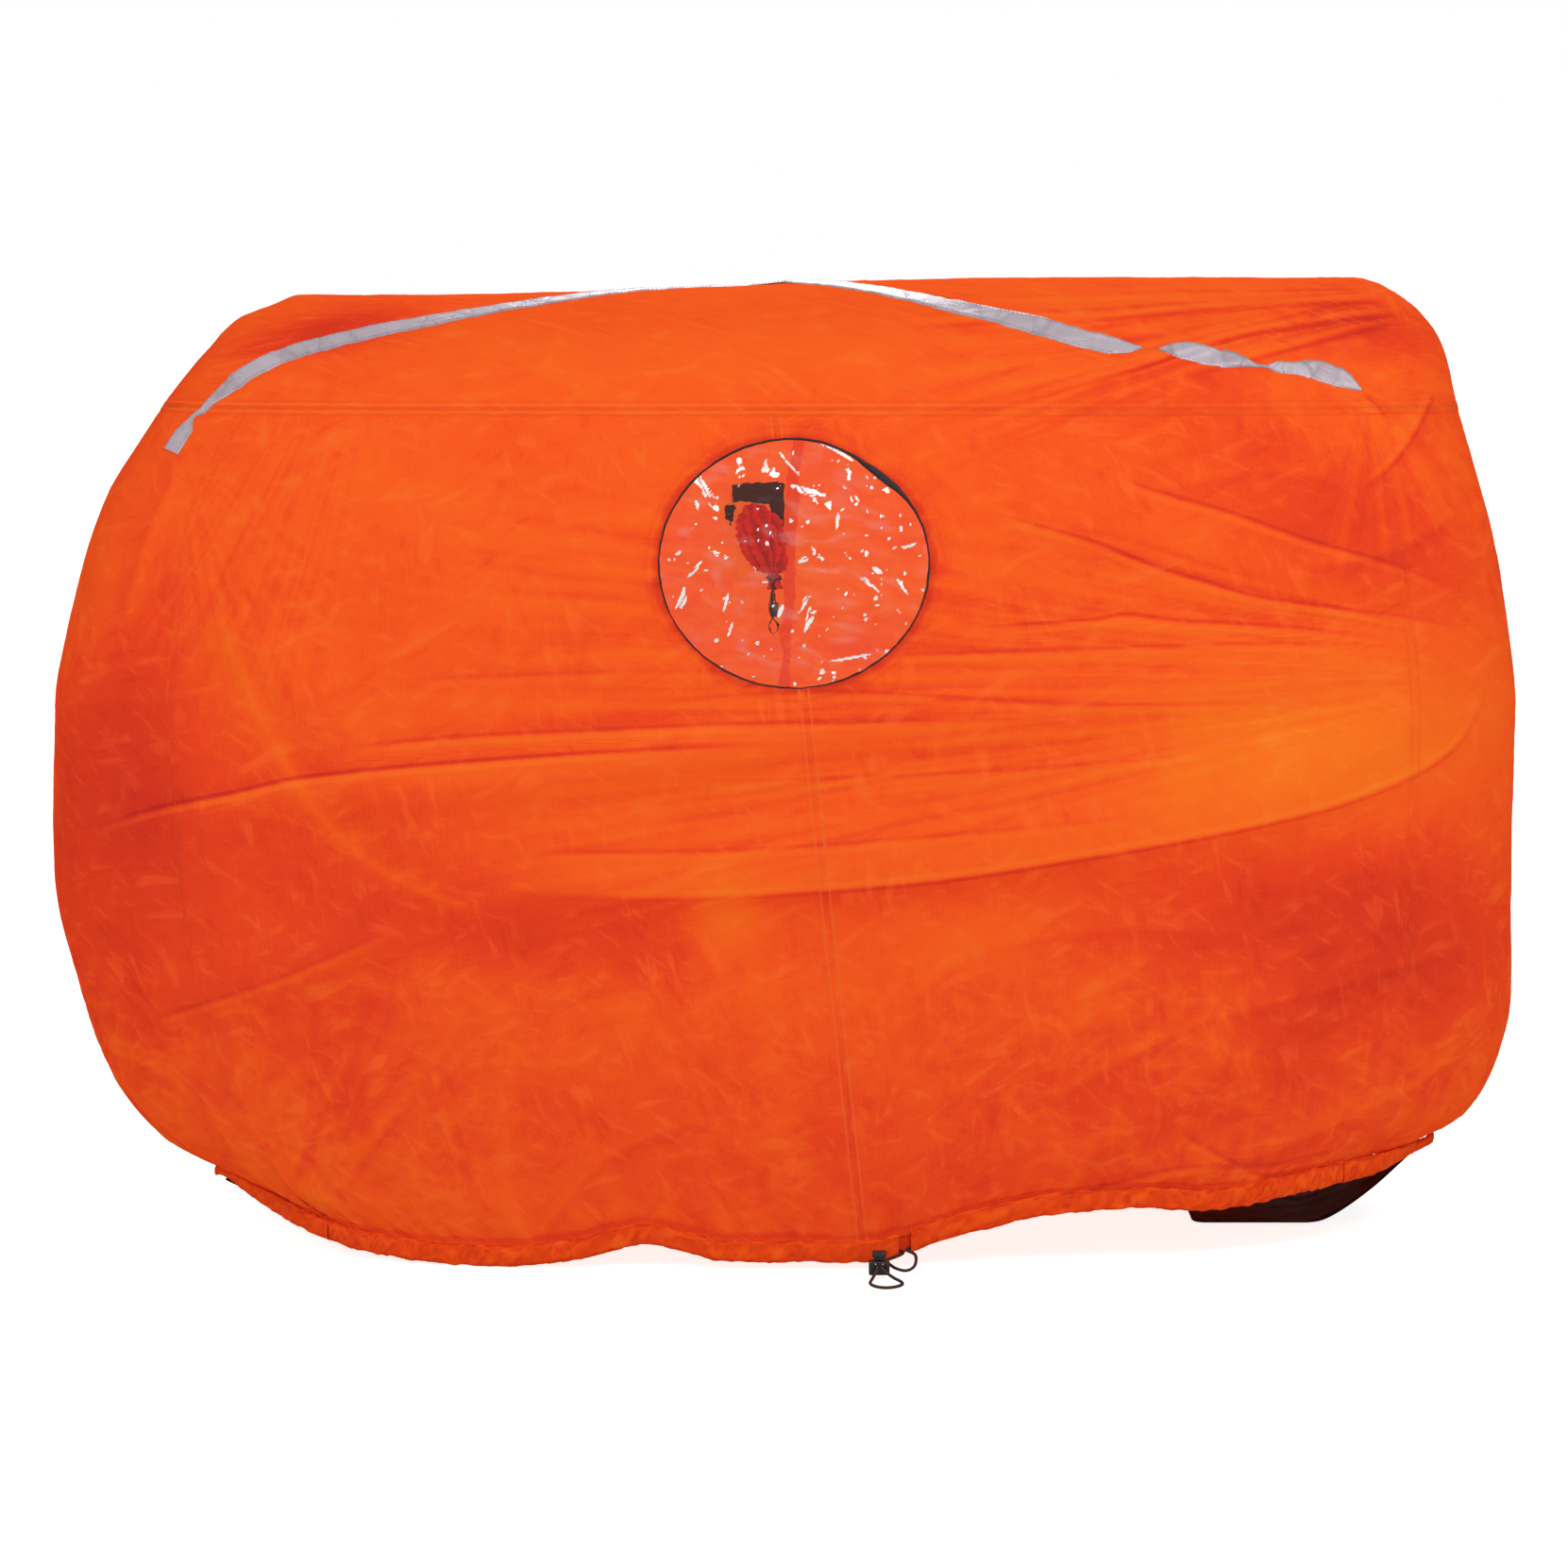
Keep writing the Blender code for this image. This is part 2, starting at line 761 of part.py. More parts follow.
# Seam tapes on the inside
def strip_ring(row, column, to_row, to_column, half_width):
    """A point of the inside face at a distance from a grid point towards a neighbour."""
    a, b = key(row, column), key(to_row, to_column)
    share = half_width / (POINTS[b] - POINTS[a]).length
    point = POINTS[a].lerp(POINTS[b], share)
    out = NORMALS[a].lerp(NORMALS[b], share)
    return point, out


def seam_strip(name, stations, closed=False):
    """A tape along a seam from stations of (left, middle, right) points with directions."""
    deep = CLOTH / 2 + SEAM_TAPE_GAP
    rings = []
    for station in stations:
        near = [p - n * deep for p, n in station]
        far = [p - n * (deep + SEAM_TAPE) for p, n in reversed(station)]
        rings.append(near + far)
    if closed:
        rings.append(rings[0])
        made = loft(name, rings, close_ends=False)
        work = bmesh.new()
        work.from_mesh(made.data)
        bmesh.ops.remove_doubles(work, verts=work.verts[:], dist=1e-6)
        bmesh.ops.recalc_face_normals(work, faces=work.faces[:])
        work.to_mesh(made.data)
        work.free()
    else:
        made = loft(name, rings)
    return dress(made, "tape")


def wall_station(column, height):
    """A station of an upright seam at a section height, between two rows of the wall."""
    foot = row_height(0)
    place = (height - foot) / (ROOF_SEAM_HEIGHT - foot) * WALL_ROWS
    low = min(max(int(place), 0), WALL_ROWS - 1)
    share = place - low
    ends = []
    for row in (low, low + 1):
        left = strip_ring(row, column, row, column - 1, SEAM_TAPE_WIDTH / 2)
        middle = (POINTS[key(row, column)], NORMALS[key(row, column)])
        right = strip_ring(row, column, row, column + 1, SEAM_TAPE_WIDTH / 2)
        ends.append((left, middle, right))
    return [
        (a[0].lerp(b[0], share), a[1].lerp(b[1], share)) for a, b in zip(ends[0], ends[1])
    ]


def upright_tape(name, column, low, high):
    """A seam tape up a wall between two section heights."""
    rows = [row_height(r) for r in range(WALL_ROWS + 1)]
    margin = SEAM_TAPE_WIDTH / 4
    heights = [low] + [h for h in rows if low + margin < h < high - margin] + [high]
    seam_strip(name, [wall_station(column, h) for h in heights])


def make_seam_tapes():
    """Tapes inside the centre seams, the corner seams and the roof seam."""
    low = row_height(0)
    high = ROOF_SEAM_HEIGHT - SEAM_TAPE_WIDTH / 2 - 4 * CLEARANCE
    clear = WINDOW_HEIGHT / 2 + WINDOW_LAP + 4 * CLEARANCE
    upright_tape("front_seam_tape_upper", FRONT_MIDDLE, WINDOW_Z + clear, high)
    upright_tape("front_seam_tape_lower", FRONT_MIDDLE, low, WINDOW_Z - clear)
    upright_tape("back_seam_tape", BACK_MIDDLE, low, high)
    upright_tape("front_left_corner_tape", FRONT_START, low, high)
    upright_tape("front_right_corner_tape", RIGHT_START, low, high)
    upright_tape("back_right_corner_tape", BACK_START, low, high)
    upright_tape("back_left_corner_tape", LEFT_START, low, high)
    stations = []
    for column in range(COLUMNS):
        below = strip_ring(
            WALL_ROWS, column, WALL_ROWS - 1, column, SEAM_TAPE_WIDTH / 2
        )
        middle = (POINTS[key(WALL_ROWS, column)], NORMALS[key(WALL_ROWS, column)])
        above = strip_ring(
            WALL_ROWS, column, WALL_ROWS + 1, column, SEAM_TAPE_WIDTH / 2
        )
        stations.append([below, middle, above])
    seam_strip("roof_seam_tape", stations, closed=True)


# Reflective tapes over the roof
def roof_frame(x, y):
    """The cloth's middle and its outward direction above a point seen from the top."""
    best = None
    for row in range(WALL_ROWS - 2, ROWS):
        for column in range(COLUMNS):
            corners = [POINTS[k] for k in cell_corners(row, column)]
            for trio in ((0, 1, 2), (0, 2, 3)):
                a, b, c = (corners[i] for i in trio)
                area = (b.x - a.x) * (c.y - a.y) - (c.x - a.x) * (b.y - a.y)
                if abs(area) < 1e-12:
                    continue
                u = ((x - a.x) * (c.y - a.y) - (c.x - a.x) * (y - a.y)) / area
                v = ((b.x - a.x) * (y - a.y) - (x - a.x) * (b.y - a.y)) / area
                if u < -1e-6 or v < -1e-6 or u + v > 1 + 1e-6:
                    continue
                z = a.z + u * (b.z - a.z) + v * (c.z - a.z)
                if best is None or z > best[0]:
                    names = [cell_corners(row, column)[i] for i in trio]
                    shares = (1 - u - v, u, v)
                    out = sum((NORMALS[k] * s for k, s in zip(names, shares)), Vector())
                    best = (z, out.normalized())
    return Vector((x, y, best[0])), best[1]


def tape_block(name, route, width):
    """A block that follows a tape's route, as wide as the tape, through the cloth."""
    reach = 0.012
    plan = [(x * LENGTH / 2, y * DEPTH / 2) for x, y in route]
    spots = [roof_frame(p.x, p.y) for p in route_points(plan, TAPE_STEP)]
    rings = []
    for i, (point, out) in enumerate(spots):
        ahead = spots[min(i + 1, len(spots) - 1)][0] - spots[max(i - 1, 0)][0]
        across = out.cross(ahead).normalized() * width / 2
        rings.append(
            [
                point - across - out * reach,
                point + across - out * reach,
                point + across + out * reach,
                point - across + out * reach,
            ]
        )
    return loft(name, rings)


def make_reflective_tapes():
    """The two tapes that cross on the roof, the second one lifted over the first."""
    cells = wall_cells(0, COLUMNS, (WALL_ROWS - 3, ROWS))
    base = CLOTH / 2 + CLEARANCE
    first = cloth_layer(
        "reflective_tape_left", cells, lambda p: base, lambda p: base + REFLECTIVE_TAPE
    )
    block = tape_block("tape_block", TAPE_FROM_LEFT, REFLECTIVE_WIDTH)
    cut(first, block, "INTERSECT")
    dress(first, "reflective")
    cross_x = TAPE_CROSSING[0] * LENGTH / 2
    cross_y = TAPE_CROSSING[1] * DEPTH / 2

    def lift(p):
        away = math.hypot((p.x - cross_x) / CROSSING_STRETCH, p.y - cross_y)
        return (REFLECTIVE_TAPE + CLEARANCE) * smooth_step(2.0 - away / CROSSING_REACH)

    second = cloth_layer(
        "reflective_tape_right",
        cells,
        lambda p: base + lift(p),
        lambda p: base + lift(p) + REFLECTIVE_TAPE,
    )
    block = tape_block("tape_block", TAPE_FROM_RIGHT, REFLECTIVE_WIDTH)
    cut(second, block, "INTERSECT")
    dress(second, "reflective")


# Hem casing and drawcord
def hem_frame(column):
    """Middle of the hem casing and its level outward direction, also between columns."""
    low = math.floor(column)
    share = column - low
    spots = []
    for c in (low, low + 1):
        k = key(0, c)
        out = Vector((NORMALS[k].x, NORMALS[k].y, 0.0)).normalized()
        spots.append((POINTS[k] - Vector((0, 0, HEM_HEIGHT / 2 + CLEARANCE)), out))
    (a, na), (b, nb) = spots
    return a.lerp(b, share), na.lerp(nb, share).normalized()


def hem_ring(column, wall):
    """A six-sided section of the casing, wall metres in from its outside, flat underneath."""
    middle, out = hem_frame(column)
    h = HEM_HEIGHT / 2 - wall
    w = HEM_THICKNESS / 2 - wall
    c = HEM_CHAMFER - 0.4 * wall
    up = Vector((0, 0, 1))
    outline = [
        (-w + c, -h),
        (w - c, -h),
        (w, -h + 1.6 * c),
        (w - 0.6 * c, h),
        (-w + 0.6 * c, h),
        (-w, -h + 1.6 * c),
    ]
    return [middle + out * a + up * b for a, b in outline]


def make_casing(name, start, end):
    """A hollow casing between two places of the hem, open at both ends."""
    places = [start] + [c for c in range(math.ceil(start), math.floor(end) + 1)] + [end]
    kept = [start]
    for c in places[1:-1]:
        if c - kept[-1] > 0.15 and end - c > 0.15:
            kept.append(c)
    kept.append(end)
    outer = [hem_ring(c, 0.0) for c in kept]
    inner = [hem_ring(c, HEM_WALL) for c in kept]
    count = len(outer[0])
    verts = [p for ring in outer + inner for p in ring]
    total = len(kept)
    faces = []
    for k in range(total - 1):
        for i in range(count):
            j = (i + 1) % count
            a, b = k * count, (k + 1) * count
            faces.append([a + i, a + j, b + j, b + i])
            a, b = (total + k) * count, (total + k + 1) * count
            faces.append([a + i, b + i, b + j, a + j])
    for k in (0, total - 1):
        for i in range(count):
            j = (i + 1) % count
            a, b = k * count, (total + k) * count
            faces.append([a + i, a + j, b + j, b + i])
    return dress(new_object(name, verts, faces), "hem")


def column_step(column):
    """The length of hem from a column to the next one."""
    return (hem_frame(column + 1)[0] - hem_frame(column)[0]).length


def thin_line(points, tolerance):
    """Leaves out the points that a straight stretch of the line passes close to anyway."""
    kept = [points[0]]
    start = 0
    while start < len(points) - 1:
        end = start + 1
        while end + 1 < len(points):
            way = points[end + 1] - points[start]
            between = points[start + 1 : end + 1]
            off = [(p - points[start]).cross(way).length / way.length for p in between]
            if max(off) > tolerance:
                break
            end += 1
        kept.append(points[end])
        start = end
    return kept


def make_hem():
    """Five stretches of casing with the drawcord inside, open where the cord comes out."""
    apart = PANEL_GAP / 2
    slit_column = FRONT_MIDDLE + 1
    step = column_step(slit_column)
    left_mouth = slit_column - SLIT / 2 / step
    right_mouth = slit_column + SLIT / 2 / step
    bounds = {
        "front_left_hem": (FRONT_START, left_mouth),
        "front_right_hem": (right_mouth, RIGHT_START),
        "right_end_hem": (RIGHT_START, BACK_START),
        "back_hem": (BACK_START, LEFT_START),
        "left_end_hem": (LEFT_START, COLUMNS),
    }
    for name, (start, end) in bounds.items():
        at_slit_end = end == left_mouth
        at_slit_start = start == right_mouth
        start = start if at_slit_start else start + apart / column_step(start)
        end = end if at_slit_end else end - apart / column_step(end - 1)
        make_casing(name, start, end)
    places = [right_mouth]
    places += list(range(math.ceil(right_mouth), COLUMNS + slit_column))
    places.append(COLUMNS + left_mouth)
    lower = HEM_HEIGHT / 2 - HEM_WALL - HEM_CORD / 2 - 3 * CLEARANCE
    line = [hem_frame(c)[0] - Vector((0, 0, lower)) for c in places]
    line = thin_line(line, 0.0006)
    dress(tube("hem_drawcord", line, HEM_CORD / 2, 1), "cord")
    left_way = (line[-1] - line[-2]).normalized()
    right_way = (line[0] - line[1]).normalized()
    return (line[-1], left_way), (line[0], right_way)


# Cord locks
def lock_levels(lock):
    """Heights in a lock above the middle of its cord hole."""
    hole = lock["cord"] + 2 * LOCK_FIT
    packed = SPRING_TURNS * lock["wire"] * 1.1
    bar_bottom = -hole / 2 - lock["bar"]
    floor = bar_bottom - packed - lock["travel"] - LOCK_FIT
    bottom = floor - lock["floor"]
    top = bottom + lock["height"]
    return bottom, floor, bar_bottom, hole, top


def make_lock(prefix, lock, place):
    """Barrel, plunger and spring of a cord lock, put where it belongs by a matrix.

    In its own frame the cord hole runs along Y through the origin, and the plunger points up.
    """
    bottom, floor, bar_bottom, hole, top = lock_levels(lock)
    hole_width = 2 * lock["cord"] + 4 * LOCK_FIT
    pocket_depth = lock["depth"] - 2 * lock["wall"]
    barrel = box(
        prefix + "_barrel",
        (lock["width"], lock["depth"], lock["height"]),
        (0, 0, (bottom + top) / 2),
    )
    round_edges(barrel, lock["rounding"])
    pocket = box(
        "pocket",
        (lock["stem"] + 2 * LOCK_FIT, pocket_depth, lock["height"]),
        (0, 0, floor + lock["height"] / 2),
    )
    cut(barrel, pocket, "DIFFERENCE")
    cut(barrel, box("bore", (hole_width, 2 * lock["depth"], hole), (0, 0, 0)), "DIFFERENCE")
    stem_top = top + lock["travel"] + LOCK_FIT
    plunger = box(
        prefix + "_plunger",
        (lock["stem"], pocket_depth - 2 * LOCK_FIT, stem_top - bar_bottom),
        (0, 0, (stem_top + bar_bottom) / 2),
    )
    wide, deep, tall = lock["button"]
    button = box("button", (wide, deep, tall), (0, 0, stem_top + tall / 2 - LOCK_FIT / 2))
    round_edges(button, lock["rounding"])
    cut(plunger, button, "UNION")
    slot_top = hole / 2 + lock["travel"]
    slot = box(
        "slot",
        (hole_width, 2 * lock["depth"], slot_top + hole / 2),
        (0, 0, (slot_top - hole / 2) / 2),
    )
    cut(plunger, slot, "DIFFERENCE")
    radius = lock["wire"] / 2
    low = floor + radius + LOCK_FIT / 2
    high = bar_bottom - radius - LOCK_FIT / 2
    count = 9 * SPRING_TURNS
    coil = []
    for i in range(count + 1):
        turn = 2 * math.pi * SPRING_TURNS * i / count
        reach = lock["spring"] / 2
        coil.append(
            (reach * math.cos(turn), reach * math.sin(turn), low + (high - low) * i / count)
        )
    spring = tube(prefix + "_spring", coil, radius, 0)
    for piece, finish in ((barrel, "plastic"), (plunger, "plastic"), (spring, "steel")):
        dress(piece, finish)
        piece.matrix_world = place


def make_hem_lock(left_mouth, right_mouth):
    """The lock on the ground in front of the hem, and the loop of cord that it holds."""
    height = HEM_LOCK_ABOVE_GROUND - lock_levels(HEM_LOCK)[0]
    make_lock("hem_lock", HEM_LOCK, Matrix.Translation((HEM_LOCK_X, HEM_LOCK_Y, height)))
    half = HEM_CORD / 2 + LOCK_FIT / 2
    ground = HEM_CORD / 2 + 0.0003
    x, z = HEM_LOCK_X, height
    back = HEM_LOCK_Y + HEM_LOCK["depth"] / 2
    front = HEM_LOCK_Y - HEM_LOCK["depth"] / 2
    start = left_mouth[0] + left_mouth[1] * LOCK_FIT
    end = right_mouth[0] + right_mouth[1] * LOCK_FIT
    route = [
        start,
        start + left_mouth[1] * 0.0022,
        start + Vector((0.0040, -0.0042, -0.0004)),
        (start.x - 0.0010, start.y - 0.0098, (start.z + z) / 2),
        (x + 0.0050, back + 0.0082, z + 0.0002),
        (x - half + 0.0006, back + 0.0064, z),
        (x - half, back + 0.0040, z),
        (x - half, front - 0.0030, z),
        (x - half - 0.0014, front - 0.0066, z - 0.0040),
        (x - 0.0066, front - 0.0112, ground + 0.0020),
        (x - 0.0086, front - 0.0185, ground),
        (x - 0.0050, front - 0.0290, ground),
        (x + 0.0035, front - 0.0350, ground),
        (x + 0.0130, front - 0.0325, ground),
        (x + 0.0200, front - 0.0240, ground),
        (x + 0.0195, front - 0.0145, ground + 0.0002),
        (x + 0.0120, front - 0.0090, ground + 0.0030),
        (x + half + 0.0022, front - 0.0062, z - 0.0026),
        (x + half, front - 0.0030, z),
        (x + half, back + 0.0040, z),
        (x + half + 0.0006, back + 0.0062, z),
        (x + 0.0070, back + 0.0068, z - 0.0010),
        (x + 0.0150, back + 0.0010, z - 0.0052),
        (x + 0.0250, back - 0.0020, z - 0.0066),
        (x + 0.0325, back + 0.0020, z - 0.0030),
        (x + 0.0335, end.y - 0.0130, (z + end.z) / 2),
        end + Vector((-0.0030, -0.0062, -0.0008)),
        end + right_mouth[1] * 0.0022,
        end,
    ]
    dress(tube("hem_cord_loop", route_points(route, 0.0045), HEM_CORD / 2, 2), "cord")


# Vent
def wall_frame(start, end, x, z):
    """The cloth's middle and its outward direction on a wall at an x and a height."""
    for row, column in wall_cells(start, end):
        corners = [POINTS[k] for k in cell_corners(row, column)]
        for trio in ((0, 1, 2), (0, 2, 3)):
            a, b, c = (corners[i] for i in trio)
            area = (b.x - a.x) * (c.z - a.z) - (c.x - a.x) * (b.z - a.z)
            u = ((x - a.x) * (c.z - a.z) - (c.x - a.x) * (z - a.z)) / area
            v = ((b.x - a.x) * (z - a.z) - (x - a.x) * (b.z - a.z)) / area
            if u >= -1e-6 and v >= -1e-6 and u + v <= 1 + 1e-6:
                names = [cell_corners(row, column)[i] for i in trio]
                shares = (1 - u - v, u, v)
                point = sum((POINTS[k] * s for k, s in zip(names, shares)), Vector())
                out = sum((NORMALS[k] * s for k, s in zip(names, shares)), Vector())
                return point, out.normalized()
    raise ValueError("no cloth there")


def make_vent_tape():
    """The dark tape sewn inside along the top and the right side of the vent."""
    cells = []
    for row, column in wall_cells(BACK_START, LEFT_START):
        middle = sum((POINTS[k] for k in cell_corners(row, column)), Vector()) / 4
        if abs(middle.x - VENT_X) < 0.09 and abs(middle.z - VENT_Z) < 0.11:
            cells.append((row, column))
    inside = -(CLOTH / 2 + CLEARANCE)
    name = "vent_tape"
    tape = cloth_layer(name, cells, lambda p: inside - VENT_TAPE, lambda p: inside)
    left = VENT_X - VENT_TAPE_LEFT
    right = VENT_X + VENT_TAPE_RIGHT
    top = VENT_Z + VENT_TAPE_TOP
    foot = VENT_Z - VENT_TAPE_FOOT
    outline = [
        (left, top - 0.005),
        (left + 0.001, top - VENT_TAPE_DEPTH),
        (right - VENT_TAPE_WIDTH, top - VENT_TAPE_DEPTH),
        (right - VENT_TAPE_WIDTH, foot + 0.011),
        (right - VENT_TAPE_WIDTH - 0.006, foot + 0.002),
        (right - VENT_TAPE_WIDTH + 0.004, foot - 0.001),
        (right - 0.002, foot + 0.006),
        (right, foot + 0.014),
        (right - 0.001, top),
    ]
    cut(tape, prism("tape_outline", outline, DEPTH / 4, DEPTH), "INTERSECT")
    dress(tape, "grey_tape")


def make_sleeve():
    """The vent's gathered cloth sleeve, drooping from its hole to its tied neck."""
    wall, out = wall_frame(BACK_START, LEFT_START, VENT_X, VENT_Z)
    mouth = wall - out * (CLOTH / 2 + SLEEVE_MOUTH_GAP)
    inside = mouth.y
    neck = Vector((VENT_X + 0.019, inside - 0.033, VENT_Z - NECK_BELOW_VENT))
    stations = [
        (mouth, -out, SLEEVE_RADIUS, 0.0),
        (
            Vector((VENT_X + 0.001, inside - 0.009, VENT_Z - 0.002)),
            Vector((0.1, -1, -0.30)),
            SLEEVE_RADIUS + 0.003,
            0.0010,
        ),
        (
            Vector((VENT_X + 0.005, inside - 0.020, VENT_Z - 0.011)),
            Vector((0.25, -0.8, -0.7)),
            SLEEVE_RADIUS + 0.006,
            0.0020,
        ),
        (
            Vector((VENT_X + 0.012, inside - 0.029, VENT_Z - 0.028)),
            Vector((0.25, -0.35, -1)),
            SLEEVE_RADIUS + 0.006,
            0.0026,
        ),
        (
            Vector((VENT_X + 0.017, inside - 0.032, VENT_Z - 0.046)),
            Vector((0.1, -0.1, -1)),
            SLEEVE_RADIUS - 0.002,
            0.0020,
        ),
        (neck + Vector((0, 0, 0.0022)), Vector((0, 0, -1)), 0.0056, 0.0004),
        (neck - Vector((0, 0, 0.0022)), Vector((0, 0, -1)), 0.0056, 0.0004),
        (neck - Vector((0, 0, 0.0100)), Vector((0, 0, -1)), 0.0074, 0.0008),
    ]
    count = 20
    rings = []
    for wall_in in (0.0, SLEEVE_WALL):
        for centre, way, radius, pleat in stations:
            way = way.normalized()
            side = Vector((1, 0, 0)) - way * way.x
            side.normalize()
            up = way.cross(side)
            ring = []
            for i in range(count):
                a = 2 * math.pi * i / count
                reach = radius + pleat * math.cos(5 * a + 0.8) - wall_in
                ring.append(centre + side * reach * math.cos(a) + up * reach * math.sin(a))
            rings.append(ring)
    total = len(stations)
    verts = [p for ring in rings for p in ring]
    faces = []
    for k in range(total - 1):
        for i in range(count):
            j = (i + 1) % count
            a, b = k * count, (k + 1) * count
            faces.append([a + i, a + j, b + j, b + i])
            a, b = (total + k) * count, (total + k + 1) * count
            faces.append([a + i, b + i, b + j, a + j])
    for k in (0, total - 1):
        for i in range(count):
            j = (i + 1) % count
            a, b = k * count, (total + k) * count
            faces.append([a + i, a + j, b + j, b + i])
    sleeve = new_object("vent_sleeve", verts, faces)
    sleeve.data.shade_smooth()
    dress(sleeve, "cloth")
    return neck


def make_vent_lock(neck):
    """The cord tied round the sleeve's neck, with its lock hanging from it."""
    r = VENT_CORD / 2
    half = r + LOCK_FIT / 2
    around = 0.0060 + SLEEVE_GAP + r
    gap = math.asin(half / around)
    route = []
    count = 14
    for i in range(count + 1):
        a = -math.pi / 2 + gap + (2 * math.pi - 2 * gap) * i / count
        route.append(neck + Vector((around * math.cos(a), around * math.sin(a), 0)))
    x, y = neck.x, neck.y - around - 0.0026
    reach = VENT_LOCK["depth"] / 2
    tail = VENT_LOCK_Z - reach
    route += [
        Vector((x - half, y + 0.0014, neck.z - 0.0026)),
        Vector((x - half, y, neck.z - 0.0060)),
        Vector((x - half, y, VENT_LOCK_Z)),
        Vector((x - half, y, tail - 0.0020)),
        Vector((x - 0.0042, y, tail - 0.0080)),
        Vector((x - 0.0034, y, tail - 0.0140)),
        Vector((x, y, tail - 0.0165)),
        Vector((x + 0.0034, y, tail - 0.0140)),
        Vector((x + 0.0042, y, tail - 0.0080)),
        Vector((x + half, y, tail - 0.0020)),
        Vector((x + half, y, VENT_LOCK_Z)),
        Vector((x + half, y, neck.z - 0.0060)),
        Vector((x + half, y + 0.0014, neck.z - 0.0026)),
    ]
    dress(tube("vent_cord", route, r, 1, closed=True), "cord")
    turn = Matrix.Rotation(math.pi / 2, 4, "X")
    make_lock("vent_lock", VENT_LOCK, Matrix.Translation((x, y, VENT_LOCK_Z)) @ turn)


def make_toggle():
    """The toggle beside the vent on its short cord from the wall."""
    wall, _ = wall_frame(BACK_START, LEFT_START, TOGGLE_X, TOGGLE_Z)
    inside = wall.y - CLOTH / 2
    y = inside - TOGGLE_RADIUS - 0.0022
    rings = []
    bands = [
        (-0.50, 0.55),
        (-0.42, 0.90),
        (-0.22, 1.00),
        (-0.10, 0.80),
        (0.10, 0.80),
        (0.22, 1.00),
        (0.42, 0.90),
        (0.50, 0.55),
    ]
    for share, radius in bands:
        z = TOGGLE_Z + share * TOGGLE_LENGTH
        reach = radius * TOGGLE_RADIUS
        turns = [2 * math.pi * i / 14 for i in range(14)]
        rings.append(
            [Vector((TOGGLE_X + reach * math.cos(a), y + reach * math.sin(a), z)) for a in turns]
        )
    toggle = loft("vent_toggle", rings)
    toggle.data.shade_smooth()
    bore = VENT_CORD + 2 * LOCK_FIT
    cut(toggle, box("toggle_bore", (bore, 0.03, bore), (TOGGLE_X, y, TOGGLE_Z)), "DIFFERENCE")
    dress(toggle, "plastic")
    low = y - TOGGLE_RADIUS - 0.0014
    end = Vector((TOGGLE_X, inside - LOCK_FIT, TOGGLE_Z))
    route = [end, Vector((TOGGLE_X, y, TOGGLE_Z)), Vector((TOGGLE_X, low, TOGGLE_Z))]
    route += [
        Vector((TOGGLE_X + 0.0006, low - 0.0014, TOGGLE_Z - 0.0022)),
        Vector((TOGGLE_X + 0.0010, low - 0.0006, TOGGLE_Z - 0.0070)),
        Vector((TOGGLE_X + 0.0002, low + 0.0004, TOGGLE_Z - 0.0120)),
    ]
    dress(tube("vent_toggle_cord", route_points(route, 0.003), VENT_CORD / 2, 1), "cord")


# Seat panels
def seat_line(side):
    """Where a seat panel is sewn to the hem: the middle of its rounded edge."""
    column = RIGHT_START if side > 0 else LEFT_START
    column += END_COLUMNS / 2
    spots = []
    for y in (SEAT_SEWN_FRONT_Y, SEAT_SEWN_BACK_Y):
        away = abs(y) / column_step(int(column))
        spots += [hem_frame(column - away)[0], hem_frame(column + away)[0]]
    innermost = min(abs(p.x) for p in spots)
    inward = HEM_THICKNESS / 2 + SEAT_EDGE_GAP + SEAT / 2
    height = hem_frame(column)[0].z + SEAT_EDGE_UP - HEM_HEIGHT / 2
    return Vector((side * (innermost - inward), 0, height))


